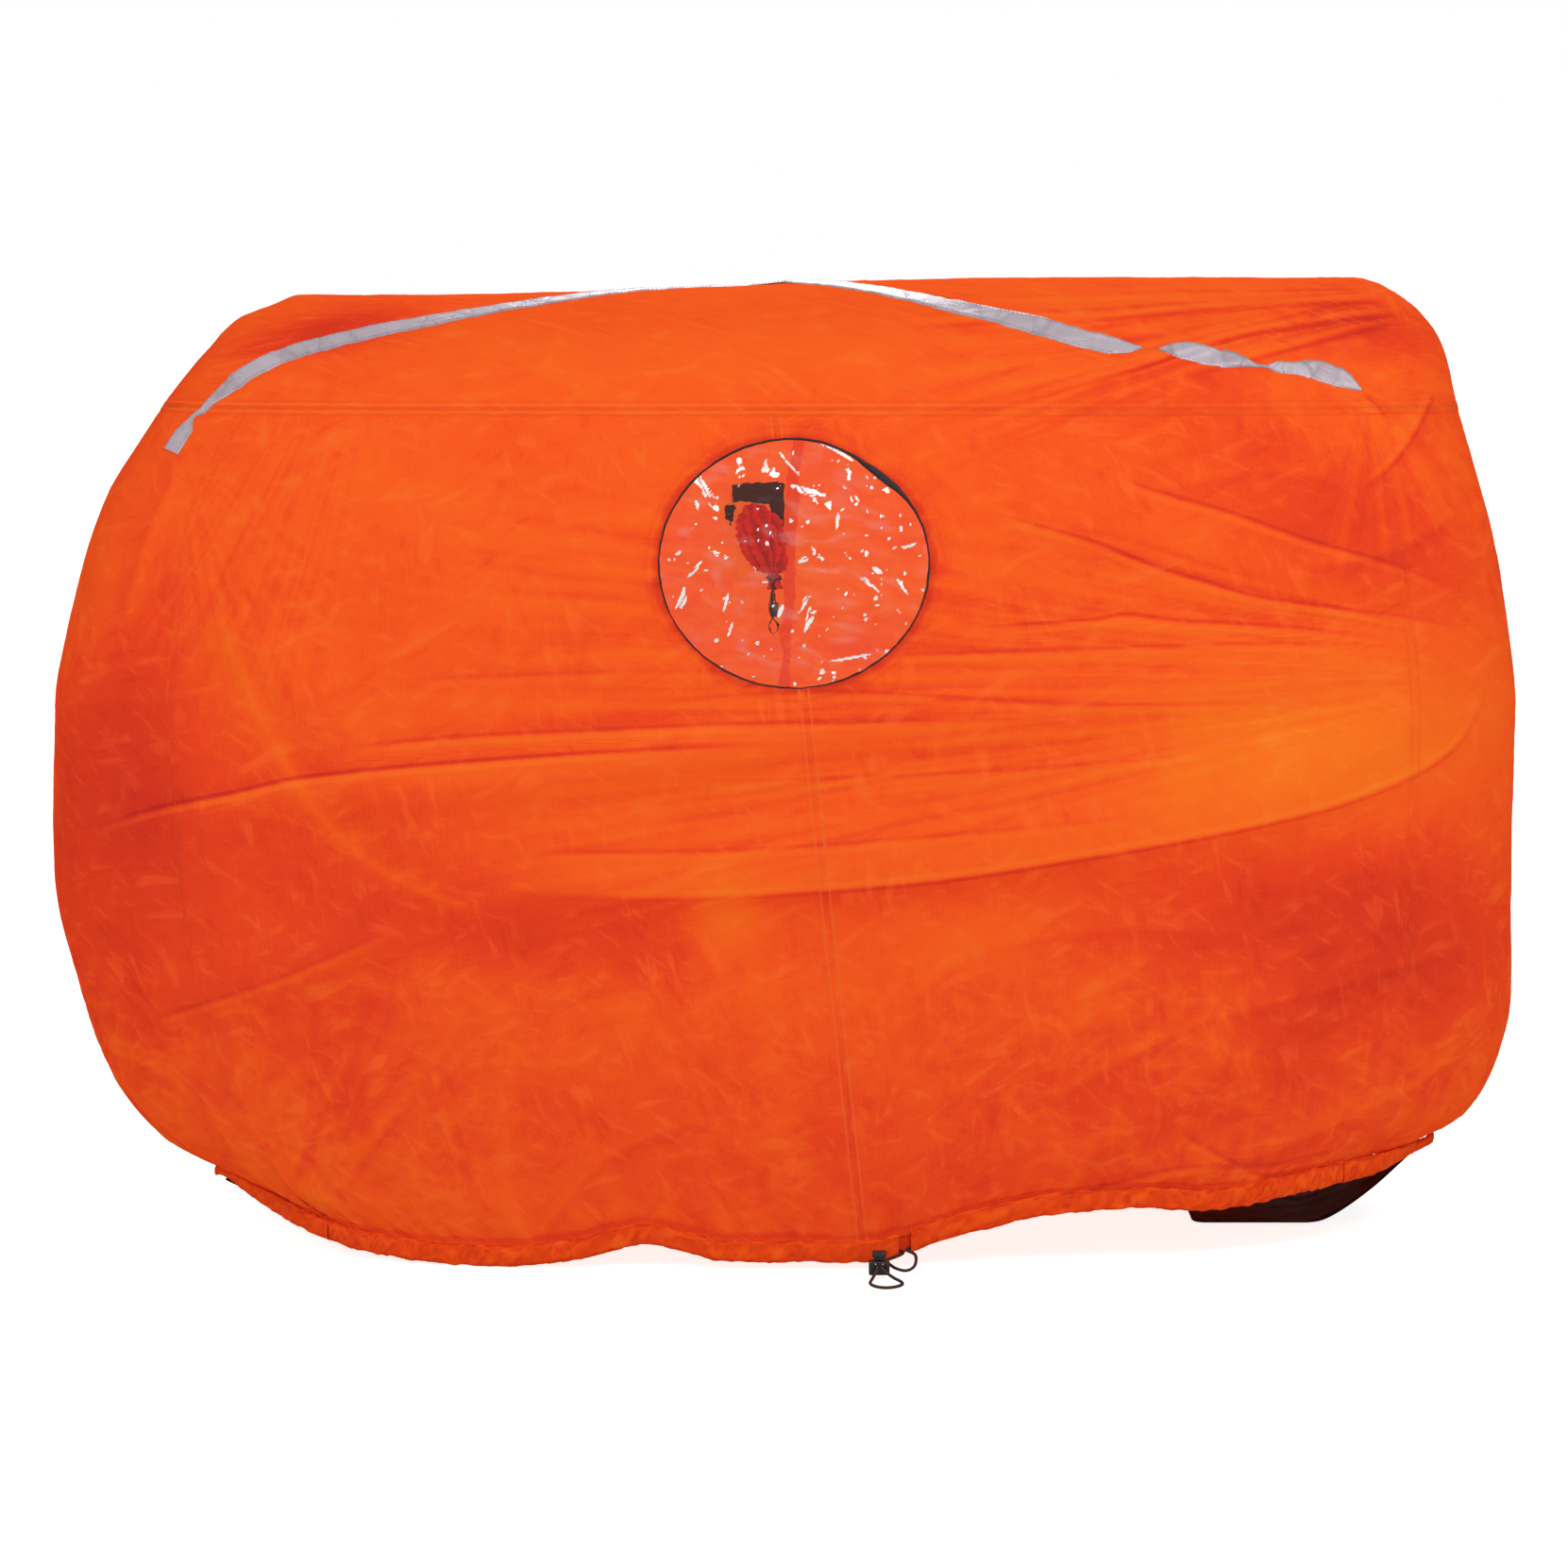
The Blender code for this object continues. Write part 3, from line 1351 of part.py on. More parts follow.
def make_seat(name, side):
    """A sheet that lies on the ground and rises to the hem at its outer side."""
    edge = seat_line(side)
    shift = abs(edge.x) - abs(seat_line(1).x)
    inner = SEAT_INNER_REACH + shift
    flat = SEAT_FLAT_REACH + shift
    ground = SEAT / 2
    reach = abs(edge.x) - flat
    rise = edge.z - ground
    profile = [(inner, ground), (flat, ground)]
    for share, lift in ((0.16, 0.045), (0.36, 0.21), (0.60, 0.47), (0.82, 0.76)):
        profile.append((flat + share * reach, ground + lift * rise))
    profile.append((abs(edge.x), edge.z))
    middles = [Vector((side * x, 0, z)) for x, z in profile]
    sides = []
    for i, point in enumerate(middles):
        before = middles[max(i - 1, 0)]
        after = middles[min(i + 1, len(middles) - 1)]
        along = (after - before).normalized()
        sides.append(Vector((-along.z, 0, along.x)) * side)
    along = (middles[-1] - middles[-2]).normalized()
    outline = [p - n * SEAT / 2 for p, n in zip(middles, sides)]
    for k in range(1, 6):
        a = math.pi * k / 6
        outline.append(edge + (along * math.sin(a) - sides[-1] * math.cos(a)) * SEAT / 2)
    outline += [p + n * SEAT / 2 for p, n in reversed(list(zip(middles, sides)))]
    outline = [Vector((p.x, 0, max(p.z, 0.0))) for p in outline]
    block = prism("seat_block", [(p.x, p.z) for p in outline], SEAT_FRONT_Y, SEAT_BACK_Y)
    block.name = name
    tip = abs(edge.x) + SEAT
    plan = [
        (inner + SEAT_CORNER, SEAT_FRONT_Y),
        (flat + 0.010, SEAT_FRONT_Y),
        (tip, SEAT_SEWN_FRONT_Y),
        (tip, SEAT_SEWN_BACK_Y),
        (flat + 0.055, SEAT_SEWN_BACK_Y + 0.018),
        (flat + 0.012, SEAT_BACK_Y - 0.025),
        (flat, SEAT_BACK_Y - 0.008),
        (flat - SEAT_CORNER, SEAT_BACK_Y),
        (inner + SEAT_CORNER, SEAT_BACK_Y),
        (inner, SEAT_BACK_Y - SEAT_CORNER),
        (inner, SEAT_FRONT_Y + SEAT_CORNER),
    ]
    count = len(plan)
    verts = [(side * x, y, z) for z in (-0.01, 0.2) for x, y in plan]
    faces = [list(range(count)), list(range(2 * count - 1, count - 1, -1))]
    for i in range(count):
        j = (i + 1) % count
        faces.append([i, count + i, count + j, j])
    cut(block, new_object("seat_plan", verts, faces), "INTERSECT")
    dress(block, "black_cloth")


def main():
    """Builds every piece."""
    make_panels()
    make_window()
    make_seam_tapes()
    make_reflective_tapes()
    left_mouth, right_mouth = make_hem()
    make_hem_lock(left_mouth, right_mouth)
    make_vent_tape()
    neck = make_sleeve()
    make_vent_lock(neck)
    make_toggle()
    make_seat("seat_panel_right", 1)
    make_seat("seat_panel_left", -1)


main()
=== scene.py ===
"""Looks of the bothy bag: its cloth, seams, tapes, window, vent, hem, cord and seats.

Metres. The window wall faces -Y, +X is to the right as one faces the window, and +Z is up.
"""

import logging
import math
from dataclasses import dataclass
from enum import Enum
from typing import Any, Callable, Optional, Sequence, Union

import bmesh
import bpy
import numpy as np
from mathutils import Matrix, Vector
from mathutils.bvhtree import BVHTree


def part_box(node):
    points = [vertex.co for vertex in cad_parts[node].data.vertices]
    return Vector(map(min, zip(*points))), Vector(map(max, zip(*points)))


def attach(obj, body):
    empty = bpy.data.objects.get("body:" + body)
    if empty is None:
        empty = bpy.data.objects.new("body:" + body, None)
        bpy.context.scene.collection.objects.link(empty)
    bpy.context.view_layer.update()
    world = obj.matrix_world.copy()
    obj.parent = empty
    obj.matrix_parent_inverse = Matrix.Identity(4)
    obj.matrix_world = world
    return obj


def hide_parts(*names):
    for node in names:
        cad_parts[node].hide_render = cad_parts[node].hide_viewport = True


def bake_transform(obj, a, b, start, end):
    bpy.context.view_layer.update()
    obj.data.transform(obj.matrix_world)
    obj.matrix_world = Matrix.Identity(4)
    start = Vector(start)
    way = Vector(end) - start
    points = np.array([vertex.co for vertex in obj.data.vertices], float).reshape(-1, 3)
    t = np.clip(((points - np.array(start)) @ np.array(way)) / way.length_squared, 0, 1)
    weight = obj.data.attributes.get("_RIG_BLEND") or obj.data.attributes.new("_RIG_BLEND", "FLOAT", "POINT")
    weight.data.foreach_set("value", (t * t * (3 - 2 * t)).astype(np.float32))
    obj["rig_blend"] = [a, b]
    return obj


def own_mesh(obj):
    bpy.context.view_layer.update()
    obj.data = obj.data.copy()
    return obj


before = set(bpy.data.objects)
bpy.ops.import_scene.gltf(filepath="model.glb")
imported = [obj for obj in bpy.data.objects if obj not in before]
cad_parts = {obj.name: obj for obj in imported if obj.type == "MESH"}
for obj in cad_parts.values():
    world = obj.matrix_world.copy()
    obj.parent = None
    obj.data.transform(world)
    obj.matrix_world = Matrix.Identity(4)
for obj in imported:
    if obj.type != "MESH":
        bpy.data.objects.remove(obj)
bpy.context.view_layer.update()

LOG = logging.getLogger("bothy_bag")

Array = np.ndarray
Colour = tuple[float, float, float]
Point = tuple[float, float, float]

# Camera: where it stands, what it looks at, and its lens for the square frame
EYE = (0.0, -4.0, 0.95)
LOOK_AT = (0.0, 0.0, 0.42)
FRAME_SIDE = 1661
FOCAL = 4473.04
SENSOR = 36.0

# The shelter's own sizes
LENGTH = 1.40
DEPTH = 0.46
HEIGHT = 0.90
ROOF_SEAM_HEIGHT = 0.785
CREST_DROP = 0.016
RISE_FADES_BY = 0.30
SEAM_FOOT_X = 0.074
SEAM_LEAN = -0.105
HEM_HEIGHT = 0.020
HEM_THICKNESS = 0.008
HEM_WALL = 0.0008
HEM_CORD = 0.003
FOOT = HEM_HEIGHT + 0.0004
SLIT = 0.012
COLUMN_OF_SLIT = 16
SIDE_COLUMNS = 30

# Metres of cloth in a metre of section height at the roof's seam, and the other way round
RUN_PER_HEIGHT = 1.35
HEIGHT_PER_RUN = 0.74

# Window and vent
WINDOW_X = 0.009
WINDOW_Z = 0.648
WINDOW_WIDTH = 0.243
WINDOW_HEIGHT = 0.222
WINDOW_LAP = 0.008
VENT_X = -0.029
VENT_Z = 0.657
VENT_HOLE = 0.024

# Share of the height, left and right reach, depth reach and squareness of each section
SECTIONS = [
    (0.000, 0.735, 0.858, 0.945, 3.2), (0.067, 0.848, 0.930, 0.985, 3.2),
    (0.145, 0.912, 0.968, 1.000, 3.2), (0.245, 0.952, 0.987, 1.000, 3.3),
    (0.390, 0.987, 0.983, 1.000, 3.4), (0.556, 0.979, 0.982, 0.990, 3.6),
    (0.689, 0.942, 0.960, 0.957, 3.8), (0.778, 0.901, 0.931, 0.900, 4.0),
    (0.872, 0.825, 0.896, 0.780, 4.0), (0.933, 0.773, 0.879, 0.630, 3.6),
    (0.972, 0.735, 0.842, 0.447, 3.0), (0.992, 0.679, 0.802, 0.234, 2.6),
    (1.000, 0.650, 0.764, 0.000, 2.4),
]

# How far the hem is off the ground at places round the shelter, in shares of the greatest rise
HEM_RISE = 0.078
HEM_RISES = [
    (0.000, 0.22), (0.067, 0.10), (0.133, 0.03), (0.200, 0.00), (0.267, 0.08), (0.333, 0.29),
    (0.400, 0.09), (0.500, 0.09), (0.533, 0.19), (0.567, 0.37), (0.600, 0.50), (0.667, 0.68),
    (0.733, 0.72), (0.800, 0.68), (0.867, 0.77), (0.933, 0.86), (1.000, 0.92), (1.250, 1.00),
    (1.440, 0.92), (1.560, 0.92), (2.000, 0.44), (2.200, 0.00), (2.500, 0.05), (2.800, 0.00),
    (3.000, 0.15), (3.250, 0.44), (3.440, 0.46), (3.560, 0.46), (3.750, 0.64), (3.875, 0.50),
    (4.000, 0.22),
]

# How far from a sharp fold its two lines of shade are kept, in units of the drawing
FOLD_REACH = 30.0

# Broad folds of the walls: both ends in shares of half the length and of the height, then
# height and width in shares of the tallest and widest fold
FOLD_HEIGHT = 0.010
FOLD_WIDTH = 0.060
FRONT_FOLDS = [
    (-0.880, 0.456, 0.024, 0.541, 0.8, 0.75),
    (-0.374, 0.391, 0.567, 0.454, 1.0, 1.00),
    (0.567, 0.454, 0.861, 0.578, 1.0, 1.00),
    (-0.157, 0.531, 0.880, 0.628, 0.6, 0.75),
    (0.229, 0.781, 0.880, 0.686, 0.7, 0.75),
    (-0.723, 0.676, -0.386, 0.367, 0.9, 1.00),
    (-0.807, 0.262, -0.494, 0.358, 0.7, 0.75),
    (-0.579, 0.839, -0.711, 0.628, 0.6, 0.75),
    (0.343, 0.100, 0.800, 0.333, 0.6, 0.83),
]
BACK_FOLDS = [
    (-0.800, 0.333, 0.143, 0.422, 0.8, 1.00),
    (0.071, 0.667, 0.857, 0.511, 0.8, 1.00),
    (-0.714, 0.711, -0.214, 0.333, 0.8, 1.00),
    (0.286, 0.133, 0.800, 0.311, 0.7, 1.00),
]

# The reflective tapes as seen from above, from a front corner to the far back corner, in
# shares of half the length and half the depth
TAPE_FROM_LEFT = [
    (-0.800, -0.609), (-0.777, -0.583), (-0.727, -0.574), (-0.679, -0.530), (-0.570, -0.470),
    (-0.460, -0.387), (-0.363, -0.274), (-0.264, -0.139), (-0.171, -0.013), (-0.043, 0.174),
    (0.114, 0.361), (0.357, 0.543), (0.629, 0.630), (0.779, 0.643),
]
TAPE_FROM_RIGHT = [
    (0.750, -0.622), (0.700, -0.613), (0.624, -0.635), (0.539, -0.626), (0.440, -0.617),
    (0.331, -0.552), (0.210, -0.417), (0.074, -0.130), (-0.043, 0.174), (-0.171, 0.383),
    (-0.400, 0.557), (-0.629, 0.617), (-0.743, 0.609),
]
TAPE_CROSSING = (-0.043, 0.174)


class Wall(Enum):
    """What a cloth of the shell is."""

    FRONT = "front"
    END = "end"
    BACK = "back"
    ROOF = "roof"


# Numbers
def smooth(t: Array) -> Array:
    """Goes from 0 to 1 without corners."""
    t = np.clip(t, 0.0, 1.0)
    return t * t * (3.0 - 2.0 * t)


def curve_through(knots: Sequence[float], values: Sequence[float], at: Array) -> Array:
    """Reads a curve that never overshoots the values at its rising knots.

    Args:
        knots: Where the values are given.
        values: The value at each knot.
        at: Where to read the curve.

    Returns:
        The curve's values.
    """
    x = np.asarray(knots, float)
    y = np.asarray(values, float)
    step = np.diff(x)
    rise = np.diff(y) / step
    slopes = np.empty_like(y)
    slopes[0] = rise[0]
    slopes[-1] = rise[-1]
    both = rise[:-1] * rise[1:]
    total = np.where(both > 0, rise[:-1] + rise[1:], 1.0)
    slopes[1:-1] = np.where(both > 0, 2.0 * both / total, 0.0)
    at = np.clip(at, x[0], x[-1])
    k = np.clip(np.searchsorted(x, at, side="right") - 1, 0, len(x) - 2)
    t = (at - x[k]) / step[k]
    start = slopes[k] * step[k]
    end = slopes[k + 1] * step[k]
    return (
        (2 * t**3 - 3 * t**2 + 1) * y[k]
        + (t**3 - 2 * t**2 + t) * start
        + (3 * t**2 - 2 * t**3) * y[k + 1]
        + (t**3 - t**2) * end
    )


def route_through(points: Sequence[Sequence[float]], step: float) -> Array:
    """Points about a step apart on a smooth curve through the chosen points.

    Args:
        points: The chosen points, in two or three coordinates.
        step: The distance between the points made.

    Returns:
        The points as rows.
    """
    given = [np.asarray(p, float) for p in points]
    out = []
    for i in range(len(given) - 1):
        before = given[max(i - 1, 0)]
        a, b = given[i], given[i + 1]
        after = given[min(i + 2, len(given) - 1)]
        count = max(1, round(float(np.linalg.norm(b - a)) / step))
        for k in range(count):
            t = k / count
            out.append(
                0.5
                * (
                    2 * a
                    + (b - before) * t
                    + (2 * before - 5 * a + 4 * b - after) * t**2
                    + (3 * a - before - 3 * b + after) * t**3
                )
            )
    out.append(given[-1])
    return np.array(out)


def unit(vectors: Array) -> Array:
    """The directions of some vectors."""
    return vectors / np.maximum(np.linalg.norm(vectors, axis=-1, keepdims=True), 1e-12)


def spots(x: Any, y: Any, z: Any) -> Array:
    """Points from coordinates, each given for all points, for some of them or once."""
    return np.stack(np.broadcast_arrays(x, y, z), -1)


def rounds(count: int) -> Array:
    """Even turns round a circle."""
    return 2 * math.pi * np.arange(count) / count


def steps_of(line: Array) -> Array:
    """The lengths between the points of a line."""
    return np.linalg.norm(np.diff(line, axis=0), axis=1)


def length_of(line: Array) -> float:
    """The length of a line."""
    return float(steps_of(line).sum())


def run_of(line: Array) -> Array:
    """How far along a line each of its points is."""
    return np.concatenate([[0.0], np.cumsum(steps_of(line))])


def evened(line: Array, width: int) -> Array:
    """A line or a row of directions, averaged over an odd number of neighbours."""
    padded = np.pad(line, ((width // 2, width // 2), (0, 0)), mode="edge")
    kernel = np.ones(width) / float(width)
    return np.stack([np.convolve(padded[:, k], kernel, "valid") for k in range(3)], -1)


def turned(points: Array, turn: float) -> tuple[Array, Array]:
    """How far points are along and over a way that is turned up from x."""
    c, s = math.cos(turn), math.sin(turn)
    return points[..., 0] * c + points[..., 2] * s, points[..., 2] * c - points[..., 0] * s


def beside(route: Array, x: Array, y: Array) -> tuple[Array, Array]:
    """Where places are beside a route on the drawing.

    Args:
        route: Points of the route.
        x: Places from the left.
        y: Places from the top.

    Returns:
        The distance from the route, more than 0 below it, and the share of its way.
    """
    best = np.full(x.shape, 1e9)
    signed, along = np.zeros_like(x), np.zeros_like(x)
    count = len(route) - 1
    for i in range(count):
        a, d = route[i], route[i + 1] - route[i]
        share = np.clip(((x - a[0]) * d[0] + (y - a[1]) * d[1]) / (d @ d), 0.0, 1.0)
        ex, ey = x - a[0] - share * d[0], y - a[1] - share * d[1]
        away = np.hypot(ex, ey)
        closer = away < best
        best = np.where(closer, away, best)
        signed = np.where(closer, away * np.sign(d[0] * ey - d[1] * ex), signed)
        along = np.where(closer, (i + share) / count, along)
    return signed, along


class Noise:
    """Repeatable noise over points in space."""

    def __init__(self, seed: int) -> None:
        """Keeps the seed, so that each noise is its own and the same in each run."""
        self.seed = seed

    def _scatter(self, cells: Array) -> Array:
        """Three values from 0 to 1 for each whole-numbered cell."""
        h = cells[..., 0] * 73856093 ^ cells[..., 1] * 19349663 ^ cells[..., 2] * 83492791
        h = (h ^ (self.seed * 2654435761)) & 0xFFFFFFFF
        h = ((h ^ (h >> 16)) * 0x45D9F3B) & 0xFFFFFFFF
        h = ((h ^ (h >> 16)) * 0x45D9F3B) & 0xFFFFFFFF
        h = h ^ (h >> 16)
        return np.stack([h & 1023, (h >> 10) & 1023, (h >> 20) & 1023], -1) / 1023.0

    def soft(self, points: Array) -> Array:
        """Soft noise from about -1 to 1, with features about one unit wide."""
        low = np.floor(points)
        share = points - low
        low = low.astype(np.int64)
        fade = share**3 * (share * (share * 6 - 15) + 10)
        total = np.zeros(points.shape[:-1])
        for i in (0, 1):
            for j in (0, 1):
                for k in (0, 1):
                    corner = np.array([i, j, k])
                    slope = self._scatter(low + corner) * 2.0 - 1.0
                    value = (slope * (share - corner)).sum(-1)
                    weight = np.prod(np.where(corner, fade, 1.0 - fade), axis=-1)
                    total += value * weight
        return total * 1.6

    def crumple(self, points: Array) -> Array:
        """Dished facets that meet in sharp ridges, from 0 to about 1."""
        low = np.floor(points).astype(np.int64)
        nearest = np.full(points.shape[:-1], 9.0)
        for i in (-1, 0, 1):
            for j in (-1, 0, 1):
                for k in (-1, 0, 1):
                    cell = low + np.array([i, j, k])
                    site = cell + 0.15 + 0.7 * self._scatter(cell)
                    away = ((points - site) ** 2).sum(-1)
                    nearest = np.minimum(nearest, away)
        return nearest


def ridge_lines(value: Array, width: float) -> Array:
    """Thin ridges where a noise passes through 0."""
    return np.clip(1.0 - np.abs(value) / width, 0.0, 1.0) ** 1.5


# The form of the shelter
class ShelterForm:
    """The smooth shape of the standing shelter, by place round it and section height.

    The place counts sides: 0 to 1 is the front from left to right, 1 to 2 the right end,
    2 to 3 the back from right to left, and 3 to 4 the left end.
    """

    def section(self, height: Array) -> tuple[Array, Array, Array, Array]:
        """Left, right and depth reach, and squareness, at section heights."""
        turns = [math.asin(min(s[0], 1.0)) for s in SECTIONS]
        at = np.arcsin(np.clip(height / HEIGHT, 0.0, 1.0))
        left, right, deep, square = (
            curve_through(turns, [s[k] for s in SECTIONS], at) for k in (1, 2, 3, 4)
        )
        return -left * LENGTH / 2, right * LENGTH / 2, deep * DEPTH / 2, square

    def _unit_point(self, place: Array, square: Array) -> tuple[Array, Array]:
        """The unit section's point at places round the shelter."""
        side = np.minimum(place.astype(int), 3)
        t = 2.0 * (place - side) - 1.0
        one = np.ones_like(t)
        x = np.choose(side, [t, one, -t, -one])
        y = np.choose(side, [-one, t, one, -t])
        reach = (np.abs(x) ** square + np.abs(y) ** square) ** (1.0 / square)
        return x / reach, y / reach

    def _lift(self, folds: Sequence[Sequence[float]], x: Array, z: Array) -> Array:
        """How far the broad folds lift a wall."""
        lift = np.zeros_like(x)
        for x0, z0, x1, z1, height, width in folds:
            ax, az = (x1 - x0) * LENGTH / 2, (z1 - z0) * HEIGHT
            bx, bz = x - x0 * LENGTH / 2, z - z0 * HEIGHT
            share = (bx * ax + bz * az) / (ax * ax + az * az)
            away = np.abs(ax * bz - az * bx) / math.hypot(ax, az)
            fade = smooth((share + 0.1) / 0.25) * smooth((1.1 - share) / 0.25)
            spread = away / (0.6 * width * FOLD_WIDTH)
            lift += height * FOLD_HEIGHT * fade * np.exp(-(spread**2))
        return lift

    def points(self, place: Array, height: Array) -> Array:
        """The middle of the cloth at places and section heights.

        Args:
            place: Places round the shelter, in sides.
            height: Section heights in metres.

        Returns:
            One point for each pair.
        """
        place = np.mod(np.asarray(place, float), 4.0)
        height = np.asarray(height, float)
        left, right, deep, square = self.section(height)
        x, y = self._unit_point(place, square)
        share = height / HEIGHT
        px = (left + right) / 2 + x * (right - left) / 2
        py = y * deep
        rise = curve_through([r[0] for r in HEM_RISES], [r[1] for r in HEM_RISES], place)
        rise = HEM_RISE * rise * np.maximum(0.0, 1.0 - (height - FOOT) / RISE_FADES_BY) ** 2
        over_roof = smooth((height - ROOF_SEAM_HEIGHT) / (HEIGHT - ROOF_SEAM_HEIGHT))
        pz = height + rise - CREST_DROP * over_roof * smooth((0.25 - px) / 0.6)
        facing = smooth((np.abs(y) - 0.55) / 0.35)
        below_crest = 1.0 - share**8
        to_roof = smooth((1.0 - share) / (1.0 - ROOF_SEAM_HEIGHT / HEIGHT))
        seam_x = SEAM_FOOT_X + SEAM_LEAN * height
        in_front = y < 0.0
        shift = (seam_x - (left + right) / 2) * (1.0 - x * x) * facing * to_roof
        px = px + np.where(in_front, shift, 0.0)
        out_front = self._lift(FRONT_FOLDS, px, pz) * facing * below_crest
        out_back = self._lift(BACK_FOLDS, px, pz) * facing * below_crest
        py = py + np.where(in_front, -out_front, out_back)
        return np.stack([px, py, pz], -1)

    def normals(self, place: Array, height: Array) -> Array:
        """Outward directions of the smooth form, by small steps to both sides."""
        step, rise = 0.004, 0.0016
        low = np.clip(height - rise, 0.0, HEIGHT - 2 * rise)
        high = np.clip(height + rise, 2 * rise, HEIGHT - 0.0002)
        along = self.points(place + step, (low + high) / 2) - self.points(
            place - step, (low + high) / 2
        )
        up = self.points(place, high) - self.points(place, low)
        return unit(np.cross(along, up))


FORM = ShelterForm()


def window_flat(turn: Array) -> Array:
    """How much of its full size the window has at turns: it is a little flat at one corner."""
    return 1.0 - 0.045 * np.exp(-(((turn - 0.9) / 0.35) ** 2))


def window_reach(x: Array, z: Array, grow: float = 0.0) -> Array:
    """How many metres points are outside the window's outline, less than 0 inside it."""
    turn = np.arctan2((z - WINDOW_Z) / WINDOW_HEIGHT, (x - WINDOW_X) / WINDOW_WIDTH)
    flat = window_flat(np.mod(turn, 2 * math.pi))
    rx = WINDOW_WIDTH / 2 * flat + grow
    rz = WINDOW_HEIGHT / 2 * flat + grow
    size = np.hypot((x - WINDOW_X) / rx, (z - WINDOW_Z) / rz)
    return (size - 1.0) * (rx + rz) / 2


def window_ring(grow: Union[float, Array], count: int) -> Array:
    """Points in x and z round the window's outline, grown by a distance."""
    turn = rounds(count)
    flat = window_flat(turn)
    x = WINDOW_X + (WINDOW_WIDTH / 2 * flat + grow) * np.cos(turn)
    z = WINDOW_Z + (WINDOW_HEIGHT / 2 * flat + grow) * np.sin(turn)
    return np.stack([x, z], -1)


# Creases and patches of painted light and shade on the cloth, placed on a drawing of the front as it is seen
# from the eye
def drawing_place(points: Array) -> tuple[Array, Array]:
    """Where points of the front come on the square front drawing.

    Args:
        points: Points in space.

    Returns:
        Units from the drawing's left and top edges. A unit is 0.84 mm on the front wall.
    """
    eye = np.array(EYE)
    ahead = np.array(LOOK_AT) - eye
    ahead /= np.linalg.norm(ahead)
    up = np.cross(np.array([1.0, 0.0, 0.0]), ahead)
    away = points - eye
    depth = away @ ahead
    return (
        FRAME_SIDE / 2 + FOCAL * away[..., 0] / depth,
        FRAME_SIDE / 2 - FOCAL * (away @ up) / depth,
    )


@dataclass(frozen=True)
class Crease:
    """One crease: its line on the drawing, its height in metres and its widths in units, with painted shade
    and highlight beside it.
    """

    line: tuple[tuple[float, float], ...]
    height: float
    above: float
    below: float
    # Tone painted on each side of the line, below 0 for painted shade and above 0 for a painted highlight,
    # and how far it reaches; edge sets how strongly thin painted dark and light lines show along the fold.
    shade_above: float = 0.0
    shade_below: float = 0.0
    shade_reach: float = 20.0
    edge: float = 0.0

    def _near(self, u: Array, v: Array, step: float, reach: float) -> tuple[Array, Array]:
        """The crease's route, and which drawing places are near it."""
        route = route_through(self.line, step)
        low, high = route.min(0) - reach, route.max(0) + reach
        return route, (u > low[0]) & (u < high[0]) & (v > low[1]) & (v < high[1])

    def read(self, u: Array, v: Array) -> tuple[Array, Array]:
        """The lift in metres, and the painted shade and highlight as a change of tone, that the crease gives
        at drawing places.
        """
        reach = max(self.above, self.below, self.shade_reach) * 4.5
        route, near = self._near(u, v, 25.0, reach)
        signed, along = beside(route, u[near], v[near])
        ends = smooth(along / 0.18) * smooth((1.0 - along) / 0.18)
        below = smooth(signed / 10.0 + 0.5)
        width = self.above + (self.below - self.above) * below
        shade = self.shade_above + (self.shade_below - self.shade_above) * below
        lift, tone = np.zeros_like(u), np.zeros_like(u)
        lift[near] = self.height * np.exp(-np.hypot(signed, 1.5) / width) * ends
        tone[near] = shade * np.exp(-np.abs(signed) / self.shade_reach) * ends
        return lift, tone

    def fold(self, u: Array, v: Array) -> tuple[Array, Array]:
        """Signed units from the line, below it more than 0, and how sharp the fold is there, which sets its
        painted dark and light lines.
        """
        route, near = self._near(u, v, 12.0, FOLD_REACH + 4.0)
        away, along = beside(route, u[near], v[near])
        signed, sharp = np.full_like(u, FOLD_REACH), np.zeros_like(u)
        signed[near] = np.clip(away, -FOLD_REACH, FOLD_REACH)
        strength = self.edge * smooth(along / 0.12) * smooth((1.0 - along) / 0.4)
        sharp[near] = strength * smooth((FOLD_REACH - np.abs(away)) / 12.0)
        return signed, sharp


@dataclass(frozen=True)
class Fan:
    """A bundle of fine creases that run towards a focus, between two directions."""

    focus: tuple[float, float]
    middle_turn: float
    half_turn: float
    near: float
    far: float
    height: float
    per_radian: float
    seed: int
    shade: float = 0.10

    def read(self, u: Array, v: Array) -> tuple[Array, Array]:
        """The lift in metres, and the painted shade along its fine creases as a change of tone, that the fan
        gives at drawing places.
        """
        x, y = u - self.focus[0], v - self.focus[1]
        away = np.hypot(x, y)
        turn = np.arctan2(y, x) - math.radians(self.middle_turn)
        turn = np.arctan2(np.sin(turn), np.cos(turn))
        half = math.radians(self.half_turn)
        mask = smooth((half - np.abs(turn)) / (0.5 * half))
        mask = mask * smooth((away - self.near) / (0.4 * self.near + 20))
        mask = mask * smooth((self.far - away) / (0.35 * self.far))
        noise = Noise(self.seed)
        at = spots(turn * self.per_radian, away / 260.0, 0.0)
        at[..., 0] += 0.35 * Noise(self.seed + 1).soft(at * np.array([0.25, 2.0, 1.0]))
        wave = noise.soft(at)
        fine = noise.soft(at * np.array([2.3, 1.4, 1.0]) + 7.0)
        lines = ridge_lines(wave, 0.16)
        shape = 0.55 * wave + 0.25 * fine + 0.45 * lines
        return self.height * shape * mask, self.shade * (0.7 * wave + 0.5 * fine) * mask


